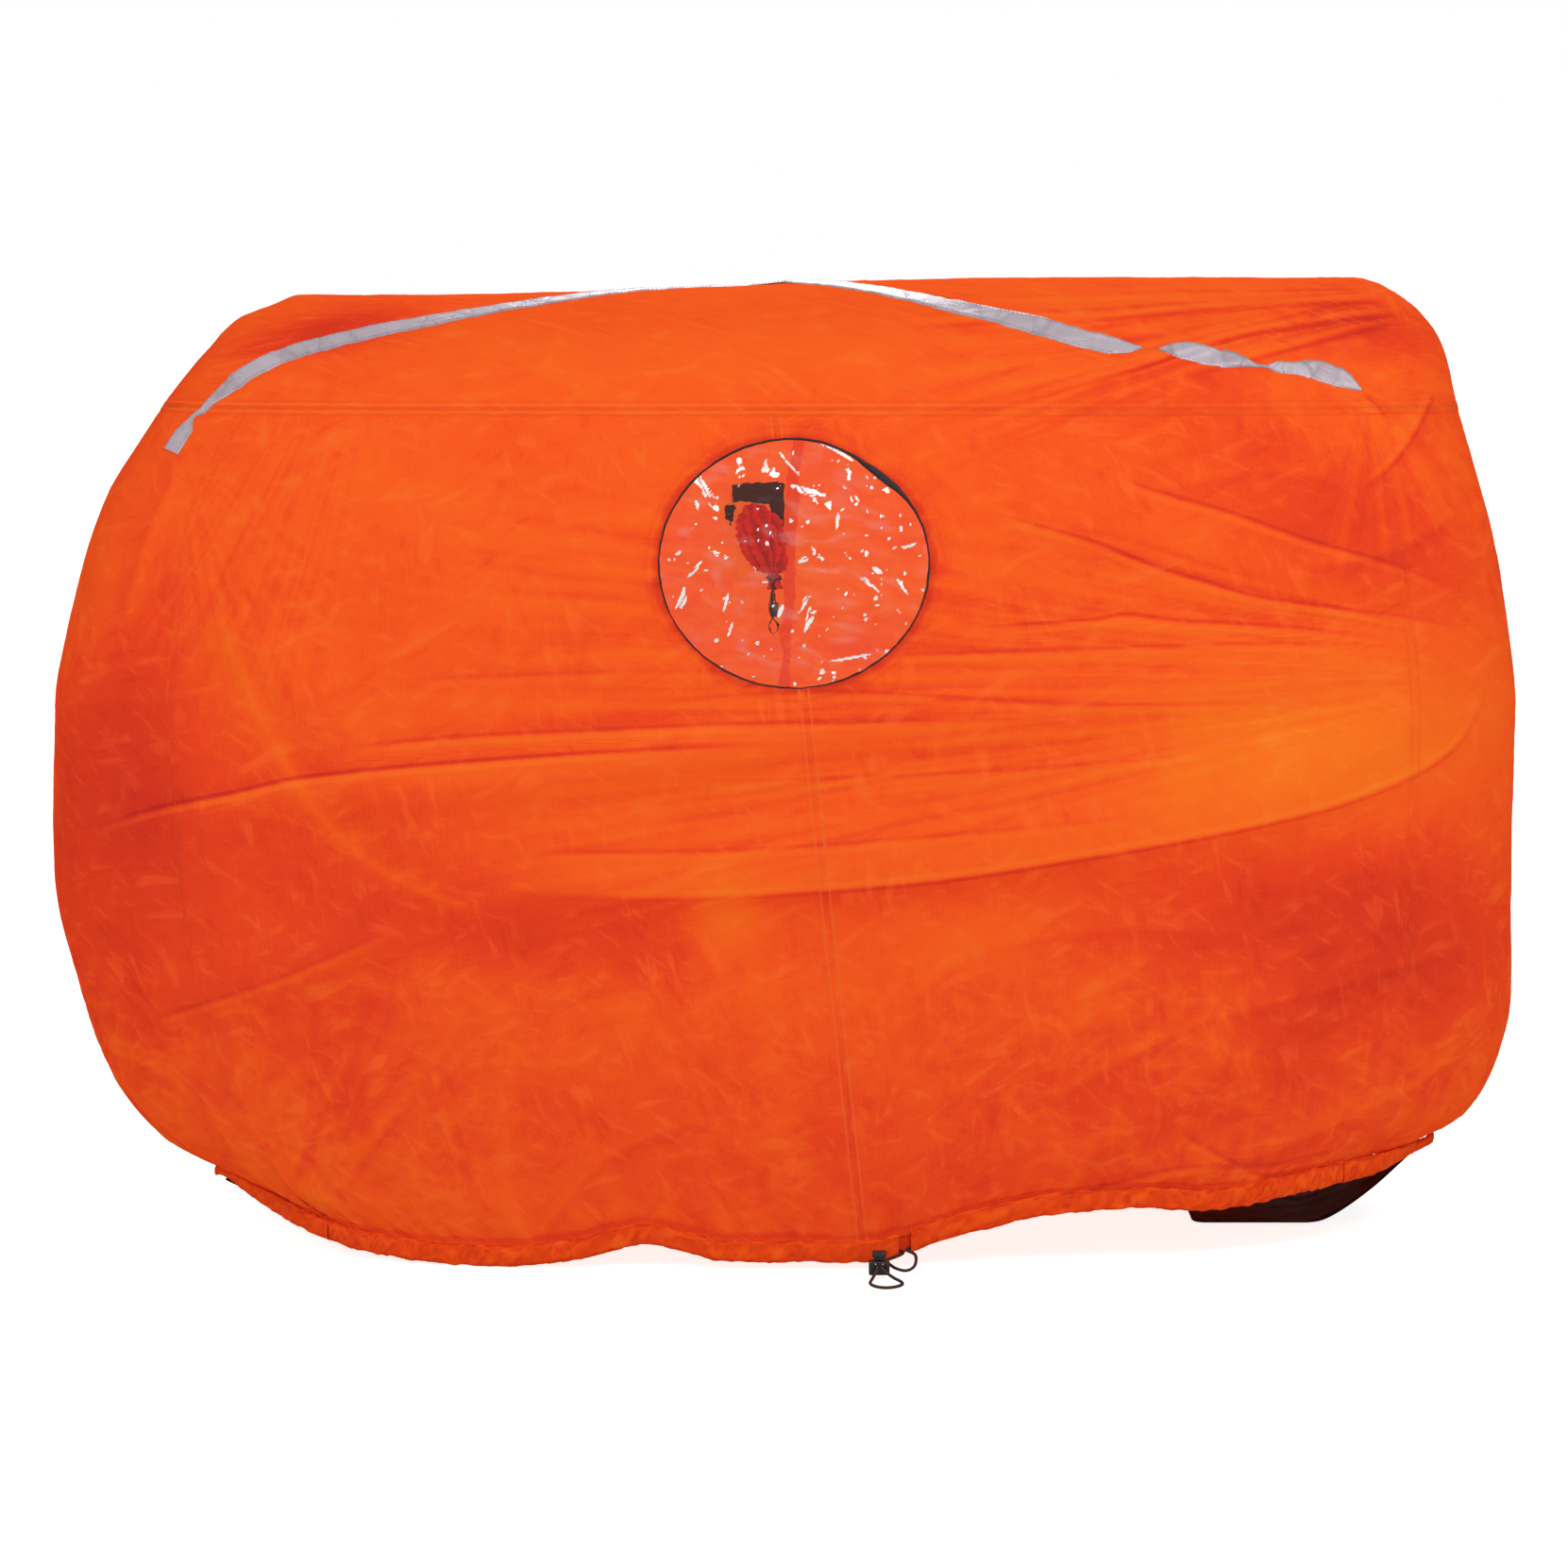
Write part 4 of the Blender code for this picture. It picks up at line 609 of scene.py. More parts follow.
@dataclass(frozen=True)
class Shade:
    """A soft patch of painted light (tone above 0) or painted shade (tone below 0), as an ellipse of the
    drawing.
    """

    centre: tuple[float, float]
    reach: tuple[float, float]
    turn: float
    tone: float

    def read(self, u: Array, v: Array) -> Array:
        """The painted light and shade at drawing places, as a change of tone."""
        a = math.radians(self.turn)
        x, y = u - self.centre[0], v - self.centre[1]
        p = (x * math.cos(a) + y * math.sin(a)) / self.reach[0]
        q = (-x * math.sin(a) + y * math.cos(a)) / self.reach[1]
        return self.tone * np.exp(-((p * p + q * q) ** 1.3))


# The window wall's creases; the one from (228, 640) is a pale band of painted light, lighter on both sides.
FRONT_CREASES = [
    Crease(
        ((92, 882), (162, 859), (250, 841), (320, 826), (445, 813), (640, 799), (850, 788)),
        0.0026, 5, 12, -0.12, 0.12, 10, 1.0,
    ),
    Crease(
        ((1580, 700), (1545, 785), (1450, 840), (1300, 880), (1120, 912), (1000, 930),
         (860, 943), (700, 950), (520, 945)),
        0.0040, 14, 16, -0.12, 0.09, 34, 0.75,
    ),
    Crease(
        ((1040, 542), (1099, 559), (1162, 577), (1218, 600), (1277, 618), (1336, 635),
         (1447, 650), (1560, 668)),
        0.0022, 6, 10, -0.10, 0.07, 12, 0.8,
    ),
    Crease(
        ((1182, 507), (1232, 525), (1299, 544), (1395, 577), (1484, 603), (1560, 636)),
        0.0020, 6, 9, -0.08, 0.06, 10, 0.6,
    ),
    Crease(((1040, 667), (1151, 659), (1195, 653), (1247, 659), (1373, 667), (1530, 690)),
           0.0016, 6, 9, -0.08, 0.05, 10, 0.7),
    Crease(((930, 697), (1188, 688), (1373, 684), (1484, 690), (1560, 704)),
           0.0015, 6, 9, -0.07, 0.05, 10, 0.5),
    Crease(
        ((690, 745), (880, 735), (1160, 748), (1500, 745)),
        0.0014, 6, 8, -0.07, 0.06, 10, 0.45,
    ),
    Crease(((362, 795), (479, 783), (640, 775), (820, 768), (1100, 764)),
           0.0016, 6, 9, -0.12, 0.05, 12, 0.6),
    Crease(((438, 722), (640, 714), (820, 716)), 0.0010, 7, 9, -0.06, 0.03, 12, 0.2),
    Crease(
        ((560, 905), (800, 902), (1080, 880), (1250, 862)),
        0.0014, 7, 8, -0.07, 0.05, 12, 0.4,
    ),
    Crease(
        ((700, 830), (900, 826), (1150, 812), (1400, 786)),
        0.0013, 6, 9, -0.06, 0.05, 12, 0.4,
    ),
    Crease(
        ((228, 640), (262, 730), (300, 805), (345, 872), (410, 925), (520, 972)),
        0.0016, 11, 11, 0.17, 0.17, 9,
    ),
    Crease(((160, 1082), (290, 1040), (420, 985)), 0.0020, 9, 12, -0.06, 0.09, 14, 0.3),
    Crease(((290, 1285), (330, 1200), (370, 1120)), 0.0013, 9, 9, 0.07, -0.05, 14),
    Crease(((340, 1300), (400, 1210), (450, 1150)), 0.0010, 8, 8, 0.06, -0.05, 12),
    Crease(
        ((1490, 330), (1380, 345), (1290, 362), (1120, 420)),
        0.0020, 6, 10, -0.14, 0.04, 12, 0.7,
    ),
    Crease(
        ((1480, 318), (1330, 325), (1150, 338), (930, 345)),
        0.0018, 6, 10, -0.10, 0.05, 10, 0.5,
    ),
    Crease(
        ((1480, 340), (1400, 360), (1310, 384), (1240, 400)),
        0.0018, 5, 8, -0.12, 0.04, 10, 0.6,
    ),
    Crease(
        ((1518, 414), (1499, 455), (1473, 492), (1440, 520)),
        0.0018, 7, 9, -0.12, 0.05, 12, 0.5,
    ),
    Crease(((1442, 420), (1458, 433), (1474, 455)), 0.0012, 5, 7, -0.12, 0.04, 8, 0.5),
    Crease(((1440, 520), (1350, 500), (1220, 520)), 0.0010, 8, 8, -0.07, 0.05, 12),
    Crease(((1545, 545), (1460, 590), (1380, 600)), 0.0014, 8, 10, -0.12, 0.04, 16),
    Crease(
        ((1090, 1180), (1260, 1090), (1400, 1050), (1560, 1000)),
        0.0012, 10, 10, 0.05, -0.06, 18,
    ),
    Crease(((940, 1080), (1040, 1010), (1180, 985), (1330, 990)), 0.0010, 9, 10, 0.04, -0.06, 16),
    Crease(
        ((1180, 1260), (1330, 1225), (1500, 1150), (1590, 1060)),
        0.0014, 10, 9, 0.05, -0.06, 16,
    ),
    Crease(((560, 1330), (640, 1230), (760, 1180)), 0.0011, 8, 9, 0.05, -0.05, 14),
    Crease(((600, 330), (560, 400), (470, 420)), 0.0008, 7, 7, 0.05, -0.04, 10),
    Crease(((490, 372), (560, 392), (660, 440)), 0.0010, 7, 7, 0.08, -0.03, 9),
    Crease(((975, 480), (1010, 520), (1090, 560)), 0.0010, 6, 7, 0.05, -0.05, 10),
    Crease(((205, 470), (160, 560), (130, 660)), 0.0014, 10, 10, 0.06, -0.08, 18),
    Crease(((1250, 1200), (1310, 1235), (1400, 1268)), 0.0014, 7, 8, -0.08, 0.05, 12, 0.4),
    Crease(
        ((1120, 1275), (1240, 1240), (1350, 1235), (1470, 1205)),
        0.0012, 7, 8, -0.08, 0.05, 12, 0.4,
    ),
]

FRONT_FANS = [
    Fan((1640, 720), 178, 17, 110, 1330, 0.0013, 60, 11, 0.19),
    Fan((1650, 700), 190, 8, 110, 720, 0.0013, 44, 12, 0.16),
    Fan((1500, 306), 171, 15, 20, 620, 0.0014, 30, 13, 0.20),
    Fan((420, 250), 113, 17, 180, 620, 0.0010, 40, 14, 0.10),
    Fan((190, 470), 70, 40, 12, 330, 0.0012, 14, 15, 0.10),
    Fan((828, 500), -90, 70, 46, 150, 0.0009, 10, 16, 0.06),
    Fan((310, 1330), -62, 34, 20, 360, 0.0012, 14, 17, 0.07),
    Fan((1450, 410), 60, 80, 14, 230, 0.0015, 8, 18, 0.10),
    Fan((1225, 372), 200, 60, 12, 300, 0.0010, 12, 19, 0.08),
]

# Painted light and shade of the window wall: lighter patches where more light comes through the cloth,
# redder ones where less does.
FRONT_SHADES = [
    Shade((115, 830), (90, 250), 4, -0.24),
    Shade((300, 900), (190, 130), 20, -0.13),
    Shade((300, 1100), (190, 110), 20, -0.12),
    Shade((350, 352), (100, 20), -12, -0.26),
    Shade((570, 985), (180, 52), 8, -0.16),
    Shade((770, 975), (36, 44), 0, 0.22),
    Shade((1395, 785), (180, 84), -8, 0.32),
    Shade((1255, 820), (26, 60), 10, 0.10),
    Shade((1460, 1000), (150, 110), -14, -0.26),
    Shade((1250, 975), (170, 60), -12, -0.12),
    Shade((1180, 1190), (330, 110), -8, -0.12),
    Shade((700, 1200), (260, 110), 0, -0.08),
    Shade((1440, 560), (150, 60), 22, -0.16),
    Shade((1270, 440), (190, 60), 10, -0.08),
    Shade((1450, 345), (90, 34), 16, -0.16),
    Shade((830, 380), (330, 46), -2, 0.07),
    Shade((640, 600), (200, 120), 0, 0.02),
    Shade((100, 640), (40, 120), 15, 0.10),
    Shade((1030, 1000), (60, 40), 0, 0.06),
]


# The back wall's, which the photo doesn't show, placed as if it were the front
BACK_FANS = [
    Fan((60, 760), 0, 18, 110, 1200, 0.0011, 55, 31, 0.10),
    Fan((1580, 640), 180, 16, 90, 900, 0.0011, 50, 32, 0.10),
    Fan((330, 320), 40, 40, 20, 480, 0.0012, 20, 33, 0.08),
    Fan((1400, 320), 140, 40, 20, 480, 0.0012, 20, 34, 0.08),
    Fan((862, 612), 0, 360, 34, 210, 0.0011, 7, 35, 0.08),
]

BACK_CREASES = [
    Crease(((120, 900), (420, 850), (760, 840), (1050, 800)), 0.0022, 6, 12, -0.1, 0.08, 10),
    Crease(((1500, 700), (1250, 760), (980, 900), (700, 960)), 0.0024, 9, 12, 0.06, -0.1, 18),
    Crease(((300, 1250), (480, 1100), (560, 980)), 0.0020, 9, 9, 0.06, -0.06, 14),
    Crease(((1100, 1260), (1260, 1120), (1480, 1020)), 0.0020, 9, 9, 0.06, -0.06, 14),
]

# Painted light and shade of the back wall; the last patch is painted light behind the window, which
# brightens what is seen through the film.
BACK_SHADES = [
    Shade((500, 700), (260, 160), 10, 0.06),
    Shade((1250, 950), (240, 160), -10, -0.10),
    Shade((300, 1100), (200, 120), 0, -0.08),
    Shade((850, 600), (210, 180), 0, 0.12),
]


def drawn(
    points: Array, items: Sequence[Union[Crease, Fan]], shades: Sequence[Shade]
) -> tuple[Array, Array]:
    """Lift, and tone with painted light and shade, that creases, fans and shades give to points of the
    front.
    """
    u, v = drawing_place(points)
    lift, tone = np.zeros_like(u), np.zeros_like(u)
    for item in items:
        more_lift, more_tone = item.read(u, v)
        lift += more_lift
        tone += more_tone
    for shade in shades:
        tone += shade.read(u, v)
    return lift, tone


class ClothRelief:
    """The fine folds and crinkles of the cloth, and the shade and highlights of them that are painted into
    its tone.
    """

    RING_CENTRE = (1172.0, 631.0)
    RING_RADIUS = 20.0

    def _front(self, points: Array) -> tuple[Array, Array]:
        """Lift and tone of the window wall and the roof above it; the tone holds painted light and shade."""
        lift, tone = drawn(points, [*FRONT_CREASES, *FRONT_FANS], FRONT_SHADES)
        u, v = drawing_place(points)
        away = np.hypot(u - self.RING_CENTRE[0], v - self.RING_CENTRE[1])
        ring = np.exp(-(((away - self.RING_RADIUS) / 2.4) ** 2))
        lift += 0.0009 * ring
        tone += 0.06 * ring
        reach = window_reach(points[..., 0], points[..., 2])
        turn = np.arctan2(points[..., 2] - WINDOW_Z, points[..., 0] - WINDOW_X)
        pucker = Noise(21).soft(spots(np.cos(turn) * 9.0, np.sin(turn) * 9.0, reach * 25.0))
        near = smooth((reach + 0.004) / 0.004) * np.exp(-np.maximum(reach - 0.010, 0.0) / 0.014)
        sewn = np.exp(-(((reach - 0.0115) / 0.0016) ** 2))
        lift += 0.0011 * pucker * near - 0.0004 * sewn
        # Painted light and shade over the puckers round the window, and painted shade in the sewn groove.
        tone += 0.08 * pucker * near - 0.03 * sewn
        return lift, tone

    def folds(self, points: Array, normals: Array) -> tuple[Array, Array]:
        """Signed units from the nearest sharp fold of the front, and how sharp it is."""
        u, v = drawing_place(points)
        signed, sharp = np.full_like(u, FOLD_REACH), np.zeros_like(u)
        for crease in [c for c in FRONT_CREASES if c.edge > 0.0]:
            more, strength = crease.fold(u, v)
            closer = (np.abs(more) < np.abs(signed)) & (strength > 0.0)
            signed = np.where(closer, more, signed)
            sharp = np.where(closer, strength, sharp)
        return signed, sharp * smooth(-normals[..., 1] / 0.3)

    def _crumple(self, points: Array) -> tuple[Array, Array]:
        """Lift of slack cloth that is crumpled at several sizes, and tone with painted sheen on its ridges
        and painted shade in its dishes.
        """
        warp = np.stack([Noise(s).soft(points * 14.0) for s in (51, 52, 53)], -1)
        bent = points + 0.012 * warp
        lift, tone = np.zeros(points.shape[:-1]), np.zeros(points.shape[:-1])
        for seed, size, rise in ((54, 0.064, 0.0022), (55, 0.028, 0.0010)):
            dish = Noise(seed).crumple(bent / size) - 0.3
            lift += rise * dish
            tone += 60.0 * rise * dish
        for seed, turn in ((61, 0.4), (62, 1.5), (63, 2.5)):
            along, over = turned(bent, turn)
            at = spots(along * 17.0, over * 75.0, bent[..., 1] * 20.0)
            at += 0.6 * Noise(seed + 5).soft(points * 40.0)[..., None]
            wave = Noise(seed).soft(at)
            crease = ridge_lines(wave, 0.22) * smooth(Noise(seed + 10).soft(points * 22.0) + 0.4)
            lift += 0.00055 * crease + 0.00022 * wave
            tone += 0.085 * crease + 0.030 * wave
        return lift, tone

    def _gathers(self, place: Array, height: Array) -> tuple[Array, Array]:
        """Lift of the small pleats that rise from the gathered hem, and the painted shading of them and
        painted shadow line above the hem that go into the tone.
        """
        above = np.maximum(height - FOOT, 0.0)
        count = np.where(np.mod(place, 2.0) < 1.0, 62.0, 22.0)
        at = spots(place * count, above * 16.0, 0.0)
        wave = Noise(71).soft(at)
        fade = np.exp(-above / 0.035) * smooth(above / 0.006 + 0.15)
        long = Noise(72).soft(at * np.array([0.45, 0.5, 1.0]))
        lift = 0.0020 * wave * fade + 0.0022 * long * np.exp(-above / 0.09)
        edge = np.exp(-(((above - 0.0035) / 0.0030) ** 2))
        # Painted shading of the pleats, and a line of painted shadow just above the hem.
        return lift - 0.0006 * edge, 0.12 * wave * fade + 0.06 * long * fade - 0.16 * edge

    def _behind(self, points: Array) -> tuple[Array, Array]:
        """Lift and tone of the back wall and the roof above it; the tone holds painted light and shade."""
        about = points * np.array([-1.0, -1.0, 1.0])
        return drawn(about, [*BACK_FANS, *BACK_CREASES], BACK_SHADES)

    def _end(self, points: Array) -> tuple[Array, Array]:
        """Lift and tone of the two end walls; the tone paints the shading of their folds and makes them a
        little darker.
        """
        sign = np.sign(points[..., 0])
        at = spots(points[..., 1] * 22, points[..., 2] * 4.0, 3.0 * sign)
        at[..., 0] += 0.8 * Noise(41).soft(points * 5.0)
        wave = Noise(42).soft(at)
        fine = Noise(43).soft(at * np.array([2.1, 1.5, 1.0]))
        lift = 0.0016 * wave + 0.0007 * fine + 0.0008 * ridge_lines(wave, 0.15)
        return lift, 0.10 * wave + 0.07 * fine - 0.05

    def read(
        self, points: Array, normals: Array, place: Array, height: Array
    ) -> tuple[Array, Array]:
        """The whole relief.

        Args:
            points: Points of the smooth form.
            normals: Its outward directions there.
            place: Their places round the shelter.
            height: Their section heights.

        Returns:
            Lift along the normals in metres, and tone, where 0.5 is the plain cloth; the tone holds painted
            light and shade besides the cloth's own patchiness.
        """
        facing = normals[..., 1]
        front = smooth(-facing / 0.45)
        back = smooth(facing / 0.45)
        end = smooth((np.abs(normals[..., 0]) - 0.45) / 0.4) * (1.0 - front) * (1.0 - back)
        lift = np.zeros(points.shape[:-1])
        tone = np.full(points.shape[:-1], 0.5)
        for weight, reader in ((front, self._front), (back, self._behind), (end, self._end)):
            if weight.max() > 0.0:
                more_lift, more_tone = reader(points)
                lift += weight * more_lift
                tone += weight * more_tone
        u, v = drawing_place(points)
        slack = smooth((v - 930.0) / 160.0) * front + 0.7 * (1.0 - front)
        slack = np.maximum(slack, 0.8 * front * smooth((u - 1080) / 200) * smooth((600 - v) / 150))
        slack = np.maximum(slack, 0.38 * front)
        slack = slack * (0.8 + 0.5 * Noise(56).soft(points * 6.0))
        more_lift, more_tone = self._crumple(points)
        lift += slack * more_lift
        tone += slack * more_tone + 0.035 * Noise(57).soft(points * 9.0)
        more_lift, more_tone = self._gathers(place, height)
        lift += more_lift
        tone += more_tone
        return lift, tone


RELIEF = ClothRelief()


# Meshes
def new_piece(name: str, verts: Array, faces: Sequence[Sequence[int]]) -> bpy.types.Object:
    """A smooth-shaded object at the origin from points and faces."""
    mesh = bpy.data.meshes.new(name)
    mesh.from_pydata([tuple(p) for p in np.asarray(verts).tolist()], [], list(faces))
    mesh.update()
    made = bpy.data.objects.new(name, mesh)
    bpy.context.scene.collection.objects.link(made)
    mesh.shade_smooth()
    return made


def grid_faces(rows: int, columns: int, closed: bool = False) -> Array:
    """Quads of a grid of points that is stored row by row, facing the way of a patch."""
    number = np.arange(rows * columns).reshape(rows, columns)
    if closed:
        number = np.hstack([number, number[:, :1]])
    return np.stack(
        [number[:-1, :-1], number[:-1, 1:], number[1:, 1:], number[1:, :-1]], -1
    ).reshape(-1, 4)


def keep_attributes(piece: bpy.types.Object, values: dict[str, Array]) -> None:
    """Stores a number for each point of a piece under each name."""
    for name, numbers in values.items():
        layer = piece.data.attributes.new(name, "FLOAT", "POINT")
        layer.data.foreach_set("value", np.asarray(numbers, np.float32).ravel())


def keep_uv(piece: bpy.types.Object, u: Array, v: Array) -> None:
    """Stores each point's place on the flat cloth, in metres, as the piece's UV map."""
    u, v = np.broadcast_arrays(u, v)
    mesh = piece.data
    layer = mesh.uv_layers.new(name="cloth")
    corner = np.empty(len(mesh.loops), np.int32)
    mesh.loops.foreach_get("vertex_index", corner)
    pairs = np.stack([np.ravel(u)[corner], np.ravel(v)[corner]], -1).astype(np.float32)
    layer.data.foreach_set("uv", pairs.ravel())


def area_of(piece: bpy.types.Object) -> float:
    """The area of a piece."""
    return sum(p.area for p in piece.data.polygons)


def points_of(piece: bpy.types.Object) -> Array:
    """The points of a piece as rows."""
    found = np.empty(len(piece.data.vertices) * 3)
    piece.data.vertices.foreach_get("co", found)
    return found.reshape(-1, 3)


def face_to(piece: bpy.types.Object, face: int, way: Vector) -> None:
    """Turns a piece's faces over if one of them looks away from where it should."""
    if piece.data.polygons[face].normal.dot(way) < 0:
        piece.data.flip_normals()


def dress(
    piece: bpy.types.Object, finish: bpy.types.Material, node: str, body: str = "shelter"
) -> None:
    """Paints a piece, hangs it on the body it moves with and hides the CAD node that it replaces.

    Args:
        piece: The piece.
        finish: Its material.
        node: The CAD node that it replaces.
        body: The body that it moves with.
    """
    paint(piece, finish)
    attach(piece, body)
    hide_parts(node)


def drop_loose(piece: bpy.types.Object) -> None:
    """Deletes the points that no face uses and joins points in the same place."""
    work = bmesh.new()
    work.from_mesh(piece.data)
    bmesh.ops.delete(work, geom=[v for v in work.verts if not v.link_faces], context="VERTS")
    bmesh.ops.remove_doubles(work, verts=work.verts[:], dist=2e-6)
    work.to_mesh(piece.data)
    work.free()
    piece.data.update()


def plain_mesh(piece: bpy.types.Object) -> bpy.types.Object:
    """Turns a piece's modifiers into its own mesh."""
    bpy.context.view_layer.update()
    evaluated = piece.evaluated_get(bpy.context.evaluated_depsgraph_get())
    mesh = bpy.data.meshes.new_from_object(evaluated)
    old = piece.data
    piece.modifiers.clear()
    piece.data = mesh
    mesh.name = old.name + "_made"
    return piece


def solid(piece: bpy.types.Object, thickness: float, inwards: bool = True) -> bpy.types.Object:
    """Gives a sheet a thickness and turns it into a plain mesh."""
    modifier = piece.modifiers.new("thickness", "SOLIDIFY")
    modifier.thickness = thickness
    modifier.offset = -1.0 if inwards else 1.0
    return plain_mesh(piece)


# Shader helpers
class Signal:
    """A number inside a shader. Arithmetic on it adds the Math nodes."""

    def __init__(self, tree: "ShaderTree", socket: bpy.types.NodeSocket) -> None:
        """Wraps a node's output socket."""
        self.tree = tree
        self.socket = socket

    def math(self, operation: str, *others: Any) -> "Signal":
        """The result of a Math node on this number and others."""
        node = self.tree.add(
            "ShaderNodeMath",
            {"operation": operation},
            {i: x for i, x in enumerate([self, *others])},
        )
        return Signal(self.tree, node.outputs[0])

    def __add__(self, other: Any) -> "Signal":
        """Adds."""
        return self.math("ADD", other)

    __radd__ = __add__

    def __mul__(self, other: Any) -> "Signal":
        """Multiplies."""
        return self.math("MULTIPLY", other)

    __rmul__ = __mul__

    def __sub__(self, other: Any) -> "Signal":
        """Subtracts."""
        return self.math("SUBTRACT", other)

    def __rsub__(self, other: Any) -> "Signal":
        """Subtracts this from a number."""
        return (self * -1.0) + other

    def __truediv__(self, other: Any) -> "Signal":
        """Divides."""
        return self.math("DIVIDE", other)

    def step(self, low: float, high: float) -> "Signal":
        """Goes smoothly from 0 at low to 1 at high."""
        node = self.tree.add(
            "ShaderNodeMapRange",
            {"interpolation_type": "SMOOTHSTEP"},
            {"Value": self, "From Min": low, "From Max": high},
        )
        return Signal(self.tree, node.outputs["Result"])


class ShaderTree:
    """A material under construction, with one Principled shader."""

    def __init__(self, name: str) -> None:
        """Starts an empty material."""
        self.material = bpy.data.materials.new(name)
        self.material.use_nodes = True
        self.nodes = self.material.node_tree.nodes
        self.links = self.material.node_tree.links
        self.nodes.clear()
        self.output = self.nodes.new("ShaderNodeOutputMaterial")
        self.shader = self.nodes.new("ShaderNodeBsdfPrincipled")
        self.links.new(self.shader.outputs[0], self.output.inputs[0])

    def add(
        self,
        kind: str,
        settings: Optional[dict[str, Any]] = None,
        inputs: Optional[dict[Union[str, int], Any]] = None,
    ) -> bpy.types.Node:
        """Adds a node.

        Args:
            kind: The node's type.
            settings: Its settings, which are set first.
            inputs: Values, signals or sockets for its inputs, by name or number.

        Returns:
            The node.
        """
        node = self.nodes.new(kind)
        for name, value in (settings or {}).items():
            if name == "stops":
                ramp = node.color_ramp
                while len(ramp.elements) < len(value):
                    ramp.elements.new(1.0)
                for stop, (at, colour) in zip(ramp.elements, value):
                    stop.position = at
                    stop.color = (*colour, 1.0)
            else:
                setattr(node, name, value)
        for name, value in (inputs or {}).items():
            self.feed(node.inputs[name], value)
        return node

    def feed(self, socket: bpy.types.NodeSocket, value: Any) -> None:
        """Links or sets an input."""
        if isinstance(value, Signal):
            self.links.new(value.socket, socket)
        elif isinstance(value, bpy.types.NodeSocket):
            self.links.new(value, socket)
        else:
            socket.default_value = value

    def surface(self, inputs: dict[str, Any]) -> None:
        """Links or sets inputs of the Principled shader."""
        for name, value in inputs.items():
            self.feed(self.shader.inputs[name], value)

    def attribute(self, name: str) -> Signal:
        """A number stored at the points of the mesh."""
        node = self.add("ShaderNodeAttribute", {"attribute_name": name})
        return Signal(self, node.outputs["Fac"])

    def object_place(self) -> bpy.types.NodeSocket:
        """The place in the object's own coordinates."""
        return self.add("ShaderNodeTexCoord").outputs["Object"]

    def cloth_place(self) -> bpy.types.NodeSocket:
        """The place on the flat cloth, in metres."""
        return self.add("ShaderNodeTexCoord").outputs["UV"]

    def noise(self, place: Any, scale: float, detail: float = 3.0) -> Signal:
        """A noise texture from 0 to 1."""
        node = self.add(
            "ShaderNodeTexNoise", None, {"Vector": place, "Scale": scale, "Detail": detail}
        )
        return Signal(self, node.outputs[0])

    def streaks(self, place: Any, turn: float, scale: float, stretch: float) -> Signal:
        """Noise that is drawn out one way, from 0 to 1."""
        turned = self.add(
            "ShaderNodeMapping",
            {"vector_type": "TEXTURE"},
            {0: place, "Rotation": (0.0, 0.0, turn), "Scale": (stretch, 1.0, 1.0)},
        )
        node = self.add(
            "ShaderNodeTexNoise",
            {"noise_dimensions": "2D"},
            {"Vector": turned.outputs[0], "Scale": scale, "Detail": 1.5, "Distortion": 0.35},
        )
        return Signal(self, node.outputs[0])

    def edges(self, place: Any, scale: float) -> Signal:
        """The distance to the edges of irregular facets."""
        node = self.add(
            "ShaderNodeTexVoronoi",
            {"feature": "DISTANCE_TO_EDGE"},
            {"Vector": place, "Scale": scale},
        )
        return Signal(self, node.outputs["Distance"])

    def bent(self, place: Any, scale: float, amount: float) -> bpy.types.NodeSocket:
        """A place moved about by noise."""
        noise = self.add(
            "ShaderNodeTexNoise", None, {"Vector": place, "Scale": scale, "Detail": 2.0}
        )
        centred = self.add(
            "ShaderNodeVectorMath",
            {"operation": "SUBTRACT"},
            {0: noise.outputs["Color"], 1: (0.5, 0.5, 0.5)},
        )
        scaled = self.add(
            "ShaderNodeVectorMath",
            {"operation": "SCALE"},
            {0: centred.outputs[0], "Scale": amount},
        )
        moved = self.add(
            "ShaderNodeVectorMath", {"operation": "ADD"}, {0: place, 1: scaled.outputs[0]}
        )
        return moved.outputs[0]

    def ramp(self, value: Signal, stops: Sequence[tuple[float, Colour]]) -> bpy.types.NodeSocket:
        """A colour for a number."""
        return self.add("ShaderNodeValToRGB", {"stops": stops}, {0: value}).outputs[0]

    def mix(self, share: Any, a: Any, b: Any) -> bpy.types.NodeSocket:
        """A mix of two colours."""
        node = self.add("ShaderNodeMix", {"data_type": "RGBA"})
        self.feed(node.inputs[0], share)
        for socket, value in ((node.inputs[6], a), (node.inputs[7], b)):
            self.feed(socket, (*value, 1.0) if isinstance(value, tuple) else value)
        return node.outputs[2]

    def bump(self, height: Signal, distance: float, strength: float = 1.0) -> None:
        """Feeds a relief in metres into the shader's normal."""
        node = self.add(
            "ShaderNodeBump", None, {"Strength": strength, "Distance": distance, "Height": height}
        )
        self.links.new(node.outputs[0], self.shader.inputs["Normal"])

    def weave(self, place: Any, pitch: float) -> Signal:
        """The threads of a plain weave, from 0 to 1."""
        parts = self.add("ShaderNodeSeparateXYZ", None, {0: place})
        both = []
        for axis in (0, 1):
            turn = Signal(self, parts.outputs[axis]) * (2.0 * math.pi / pitch)
            both.append(turn.math("SINE"))
        return both[0] * both[1] * 0.5 + 0.5

